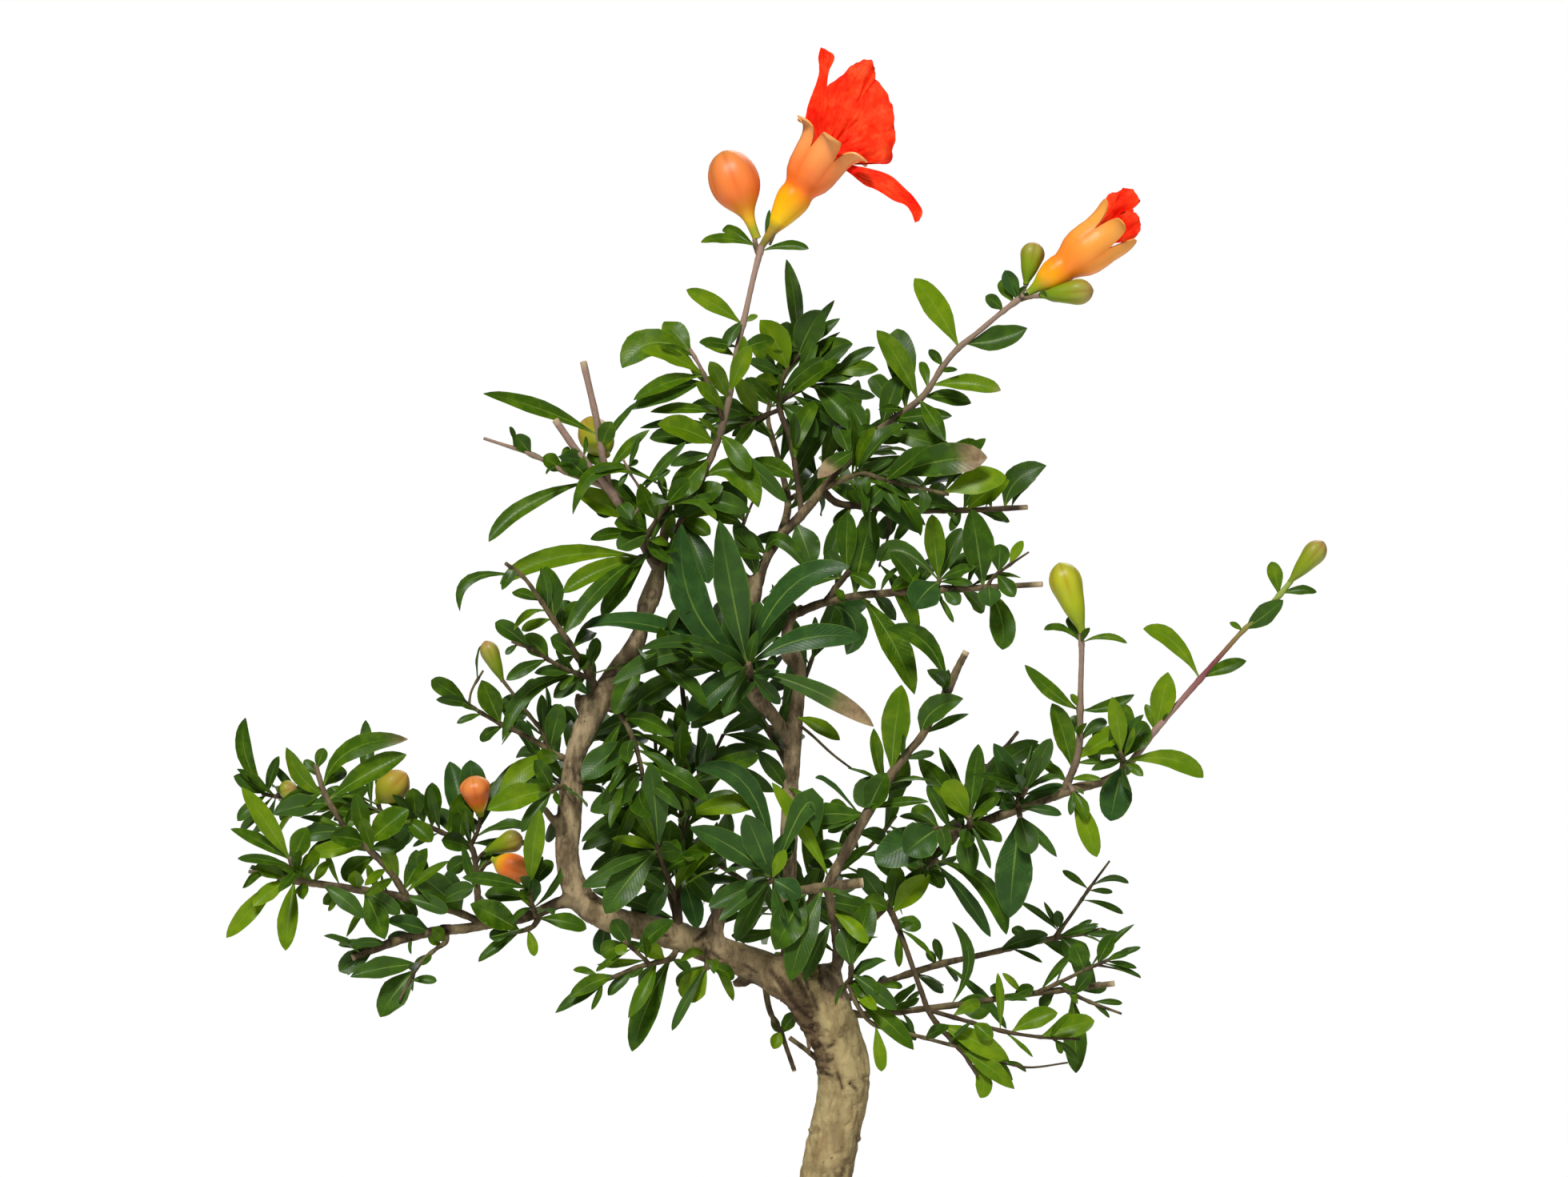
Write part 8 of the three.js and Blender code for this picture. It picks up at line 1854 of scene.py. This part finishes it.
def make_petals(name, flower, petals, crumple):
    """Thin crinkled petals, each closed by a second face just behind the first."""
    skin = Skin()
    gain = slant_gain(SHOOTS[flower["on"]], flower["base"])
    for index, petal in enumerate(petals):
        seed = index * PETAL_SEED_STEP + len(petals)
        middle = crinkled(petal_sheet(petal, seed, gain), seed, crumple)
        thin = sheet_normals(middle)
        upper, lower = middle + thin * PETAL_THICKNESS / 2, middle - thin * PETAL_THICKNESS / 2
        rings = np.concatenate([upper, lower[:, ::-1]], axis=1)
        skin.add(rings, ring_faces(PETAL_ROWS, 2 * PETAL_COLUMNS),
                 along=np.repeat(DOWN_PETAL, 2 * PETAL_COLUMNS))
    dress(skin.build(f"tissue_{name}", sharp_angle=80), f"{name}_petals", PETAL)


# Radii along a filament, in metres: the last two are its anther's.
FILAMENT_RADII = (0.00011, 0.00011, 0.00011, 0.00011, 0.0003, 0.00012)
FILAMENT_SIDES = 6


def make_stamens(flower):
    """Fine filaments from the cup's floor, each with its anther."""
    start, axis, normal, binormal = flower_frame(flower)
    draw = random.Random("stamens")
    skin = Skin()
    foot = start + axis * (flower["floor"] + STAMENS["foot"]) * UNIT
    for _ in range(STAMENS["filaments"]):
        angle, radius = draw.uniform(0, 2 * math.pi), STAMENS["spread"] * math.sqrt(draw.random())
        outward = normal * math.cos(angle) + binormal * math.sin(angle)
        reach = STAMENS["reach"] * draw.uniform(*STAMENS["lengths"])
        end = start + axis * (flower["floor"] + reach) * UNIT + outward * radius
        centres = np.linspace(foot + outward * radius * 0.5, end, len(FILAMENT_RADII))
        skin.add(tube_rings(centres, FILAMENT_RADII, FILAMENT_SIDES),
                 ring_faces(len(centres), FILAMENT_SIDES))
    dress(skin.build("fine_stamens"), "flower_open_stamens", STAMEN)


# ---- Pot and soil ----------------------------------------------------------------------------------


# A rounded corner takes up at most this share of the edges beside it.
CORNER_SHARE = 0.45


def rounded(profile, radius, steps=4):
    """A profile of (inset, level) with the corners between its two ends rounded."""
    points = [np.array(point, float) for point in profile]
    line = [points[0]]
    for before, corner, after in zip(points, points[1:], points[2:]):
        cut = min(radius, CORNER_SHARE * np.linalg.norm(before - corner),
                  CORNER_SHARE * np.linalg.norm(after - corner))
        start = corner + unit(before - corner) * cut
        end = corner + unit(after - corner) * cut
        for t in np.linspace(0, 1, steps):
            line.append(start * (1 - t) ** 2 + corner * 2 * t * (1 - t) + end * t ** 2)
    line.append(points[-1])
    return line


# How far the pot's corners are rounded, and the sides of its ovals and of its drain holes.
POT_ROUNDING, POT_SIDES, DRAIN_SIDES = 0.0016, 128, 40


def pot_profile():
    """The pot's outside and then its inside, as (inset, level) in metres."""
    height, wall, lip, rim = POT["height"], POT["wall"], POT["lip"], POT["rim"]
    inset, foot = POT["foot_inset"], POT["foot_height"]
    outside = [(inset + 0.001, 0), (inset, 0), (inset, foot), (inset - 0.004, foot + 0.001),
               (lip + 0.009, height * 0.35), (lip, height - rim), (0, height - rim), (0, height)]
    inside = [(wall + lip, height), (wall + lip + 0.002, height - rim), (wall + lip + 0.01, height * 0.4),
              (wall + inset, POT["floor"]), (wall + inset + 0.001, POT["floor"])]
    return outside + inside


def make_pot():
    """An oval pot with a rolled rim, turned from the solid's profile with its corners eased."""
    line = rounded(pot_profile(), POT_ROUNDING)
    angles = angles_round(POT_SIDES)
    rings = np.array([np.stack([np.cos(angles) * (POT["half_length"] - shrink),
                                np.sin(angles) * (POT["half_width"] - shrink),
                                np.full(POT_SIDES, level)], axis=1) for shrink, level in line])
    skin = Skin()
    skin.add(rings, ring_faces(len(line), POT_SIDES))
    pot = skin.build("clay_pot", sharp_angle=50)
    for x in (-DRAIN_OFFSET, DRAIN_OFFSET):
        bpy.ops.mesh.primitive_cylinder_add(vertices=DRAIN_SIDES, radius=DRAIN_RADIUS, depth=0.05,
                                            location=(x, 0, 0))
        drill = bpy.context.object
        hole = pot.modifiers.new("hole", "BOOLEAN")
        hole.object, hole.operation, hole.solver = drill, "DIFFERENCE", "EXACT"
        depsgraph = bpy.context.evaluated_depsgraph_get()
        drilled = bpy.data.meshes.new_from_object(pot.evaluated_get(depsgraph))
        pot.modifiers.clear()
        pot.data = drilled
        bpy.data.objects.remove(drill)
    pot.data.materials.clear()
    dress(pot, "pot", POT_CLAY)


# How much a grain is stretched each way, and how uneven it is.
STONE_STRETCH, STONE_ROUGHNESS = (0.75, 1.2), (0.9, 1.1)


def stone(draw, radius):
    """One rounded grain as vertices and faces."""
    mesh = bmesh.new()
    bmesh.ops.create_icosphere(mesh, subdivisions=1, radius=radius)
    stretch = [draw.uniform(*STONE_STRETCH) for _ in range(3)]
    points = np.array([[value * factor * draw.uniform(*STONE_ROUGHNESS)
                        for value, factor in zip(vertex.co, stretch)] for vertex in mesh.verts])
    faces = [[vertex.index for vertex in face.verts] for face in mesh.faces]
    mesh.free()
    return points, faces


# How far grains stay from the pot's wall and from the trunk, in metres.
GRAIN_TO_WALL, GRAIN_TO_TRUNK = 0.0035, 0.0005
# Grains: how many of each kind, and their radii in metres.
GRAINS = {"grains_dark": (620, (0.0008, 0.0019)), "grains_pale": (380, (0.0008, 0.0017)),
          "grains_red": (260, (0.0007, 0.0016))}
# A grain's middle lies this share of its radius above the soil.
GRAIN_LIFT = 0.25


def soil_points(surface, draw, count):
    """Seeded places on the soil's surface, clear of the trunk."""
    edge = POT["wall"] + POT["lip"] + GRAIN_TO_WALL
    trunk_u, _, _, trunk_radius = WOOD["trunk"][1]
    trunk_x = (trunk_u - EYE_U) * UNIT
    places = []
    while len(places) < count:
        x, y = draw.uniform(-1, 1), draw.uniform(-1, 1)
        if x * x + y * y > 1:
            continue
        spot = Vector((x * (POT["half_length"] - edge), y * (POT["half_width"] - edge), 0.1))
        if math.hypot(spot.x - trunk_x, spot.y) < trunk_radius * UNIT + GRAIN_TO_TRUNK:
            continue
        hit = surface.ray_cast(spot, Vector((0, 0, -1)))[0]
        if hit:
            places.append(np.array(hit))
    return places


def make_soil():
    """Grains of potting mix, laid on the packed soil."""
    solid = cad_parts["soil"]
    solid.data.materials.clear()
    solid.data.materials.append(SOIL)
    surface = BVHTree.FromObject(solid, bpy.context.evaluated_depsgraph_get())
    draw = random.Random("soil")
    for kind, (count, radii) in GRAINS.items():
        skin = Skin()
        for spot in soil_points(surface, draw, count):
            radius = draw.uniform(*radii)
            points, faces = stone(draw, radius)
            skin.add(points + spot + (0, 0, radius * GRAIN_LIFT), faces)
        dress(skin.build(kind, sharp_angle=80), None, GRAIN_SKINS[kind])


# ---- Stage -----------------------------------------------------------------------------------------


# Light from the surround, and the lamps: name, place, size in metres and power in watts.
SURROUND_LIGHT = 0.13
LAMPS = (("key", (-0.45, -1.5, 1.9), 0.5, 55), ("fill", (1.5, -1.3, 0.6), 1.2, 4),
         ("back", (0.4, 1.5, 1.4), 1, 12))
LAMPS_AIM = Vector((0, 0, 0.22))
# The floor ends below the front view's lower edge, so only the white surround shows behind the tree.
FLOOR_RADIUS, FLOOR_DROP, FLOOR_GLOW = 0.9, 0.0002, 0.3


def set_stage():
    """A pale floor, a white surround, three soft lamps and the camera."""
    bpy.ops.mesh.primitive_circle_add(vertices=128, radius=FLOOR_RADIUS, fill_type="NGON",
                                      location=(0, 0, -FLOOR_DROP))
    floor = bpy.context.object
    floor.name = "floor"
    shade = Shade("floor")
    shade.surface.inputs["Emission Color"].default_value = (1, 1, 1, 1)
    shade.surface.inputs["Emission Strength"].default_value = FLOOR_GLOW
    floor.data.materials.append(shade.finish((0.9, 0.9, 0.9), 0.9, 0))

    world = bpy.data.worlds.new("surround")
    bpy.context.scene.world = world
    world.use_nodes = True
    nodes, links = world.node_tree.nodes, world.node_tree.links
    lighting = nodes["Background"]
    lighting.inputs["Color"].default_value = (1, 1, 1, 1)
    lighting.inputs["Strength"].default_value = SURROUND_LIGHT
    seen = nodes.new("ShaderNodeBackground")
    seen.inputs["Color"].default_value = (1, 1, 1, 1)
    which = nodes.new("ShaderNodeMixShader")
    links.new(nodes.new("ShaderNodeLightPath").outputs["Is Camera Ray"], which.inputs[0])
    links.new(lighting.outputs[0], which.inputs[1])
    links.new(seen.outputs[0], which.inputs[2])
    links.new(which.outputs[0], nodes["World Output"].inputs["Surface"])

    for name, place_at, size, power in LAMPS:
        light = bpy.data.lights.new(name, "AREA")
        light.size, light.energy = size, power
        lamp = bpy.data.objects.new(name, light)
        bpy.context.scene.collection.objects.link(lamp)
        lamp.location = place_at
        lamp.rotation_euler = (LAMPS_AIM - lamp.location).to_track_quat("-Z", "Y").to_euler()

    camera = bpy.data.cameras.new("front")
    camera.sensor_width = 36
    camera.lens = camera.sensor_width * EYE_DISTANCE / (ELEVATION_WIDTH * UNIT)
    camera.clip_start, camera.clip_end = 0.05, 30
    eye = bpy.data.objects.new("front", camera)
    bpy.context.scene.collection.objects.link(eye)
    eye.location = (0, -EYE_DISTANCE, EYE_HEIGHT)
    eye.rotation_euler = (math.pi / 2, 0, 0)
    bpy.context.scene.camera = eye
    bpy.context.scene.view_settings.view_transform = "Standard"


# ---- Assembly --------------------------------------------------------------------------------------

LEAF, BARK, PETAL, POT_CLAY = leaf_material(), bark_material(), petal_material(), pot_material()
SOIL = plain_material("soil_mix", (0.12, 0.08, 0.05), (0.03, 0.02, 0.013), 420, 0.95, 0.9, 0.0012)
GRAIN_SKINS = {
    "grains_dark": plain_material("grain_dark", (0.1, 0.07, 0.05), (0.035, 0.025, 0.018), 900, 0.9),
    "grains_pale": plain_material("grain_pale", (0.42, 0.34, 0.24), (0.24, 0.18, 0.12), 900, 0.9),
    "grains_red": plain_material("grain_red", (0.3, 0.14, 0.07), (0.16, 0.07, 0.035), 900, 0.9),
}
STAMEN = plain_material("stamen", (0.9, 0.6, 0.12), (0.8, 0.35, 0.06), 900, 0.6)
SKINS = {
    "bud_orange": skin_material("bud_orange", ((0.02, (0.3, 0.34, 0.02)), (0.14, (0.72, 0.42, 0.015)),
                                               (0.3, (0.8, 0.26, 0.015)), (0.42, (0.86, 0.19, 0.03)),
                                               (0.7, (0.8, 0.22, 0.05)), (1, (0.66, 0.25, 0.06))),
                                (0.86, 0.2, 0.05)),
    "bud_yellow": skin_material("bud_yellow", ((0, (0.22, 0.3, 0.01)), (0.35, (0.36, 0.41, 0.01)),
                                               (0.75, (0.43, 0.43, 0.02)), (1, (0.38, 0.36, 0.03))),
                                (0.47, 0.47, 0.04)),
    "bud_green": skin_material("bud_green", ((0, (0.13, 0.22, 0.005)), (0.5, (0.22, 0.28, 0.01)),
                                             (0.8, (0.32, 0.3, 0.05)), (1, (0.4, 0.24, 0.08))),
                               (0.36, 0.26, 0.05)),
    "fruit": skin_material("fruit", ((0, (0.18, 0.24, 0.01)), (0.5, (0.34, 0.3, 0.02)),
                                     (1, (0.42, 0.26, 0.05))), (0.45, 0.17, 0.03), 0.45),
    "calyx_open": skin_material("calyx_open", ((0.02, (0.2, 0.16, 0.03)), (0.13, (0.3, 0.28, 0.02)),
                                               (0.2, (0.86, 0.56, 0.004)), (0.4, (0.9, 0.36, 0.004)),
                                               (0.5, (0.9, 0.16, 0.012)), (0.62, (0.88, 0.21, 0.045)),
                                               (0.78, (0.86, 0.3, 0.08)), (1, (0.8, 0.36, 0.12))),
                                (0.9, 0.2, 0.05)),
    "calyx_half": skin_material("calyx_half", ((0.02, (0.2, 0.28, 0.01)), (0.1, (0.42, 0.38, 0.005)),
                                               (0.18, (0.88, 0.38, 0.002)), (0.36, (0.9, 0.22, 0.004)),
                                               (0.42, (0.9, 0.24, 0.02)), (0.6, (0.88, 0.32, 0.045)),
                                               (0.85, (0.84, 0.35, 0.06)), (1, (0.76, 0.32, 0.06))),
                                (0.9, 0.27, 0.06)),
}

make_wood()
for shoot_index, (shoot_name, shoot_table) in enumerate(SHOOTS.items()):
    make_shoot(shoot_index, shoot_name, shoot_table)
for bud_name, bud_row in BUDS.items():
    make_bud(bud_name, *bud_row)
make_calyx("flower_open", OPEN_FLOWER, "calyx_open")
make_calyx("flower_half", HALF_FLOWER, "calyx_half")
make_petals("flower_open", OPEN_FLOWER, OPEN_PETALS, crumple=8)
make_petals("flower_half", HALF_FLOWER, HALF_PETALS, crumple=5)
make_stamens(OPEN_FLOWER)
make_pot()
make_soil()
set_stage()
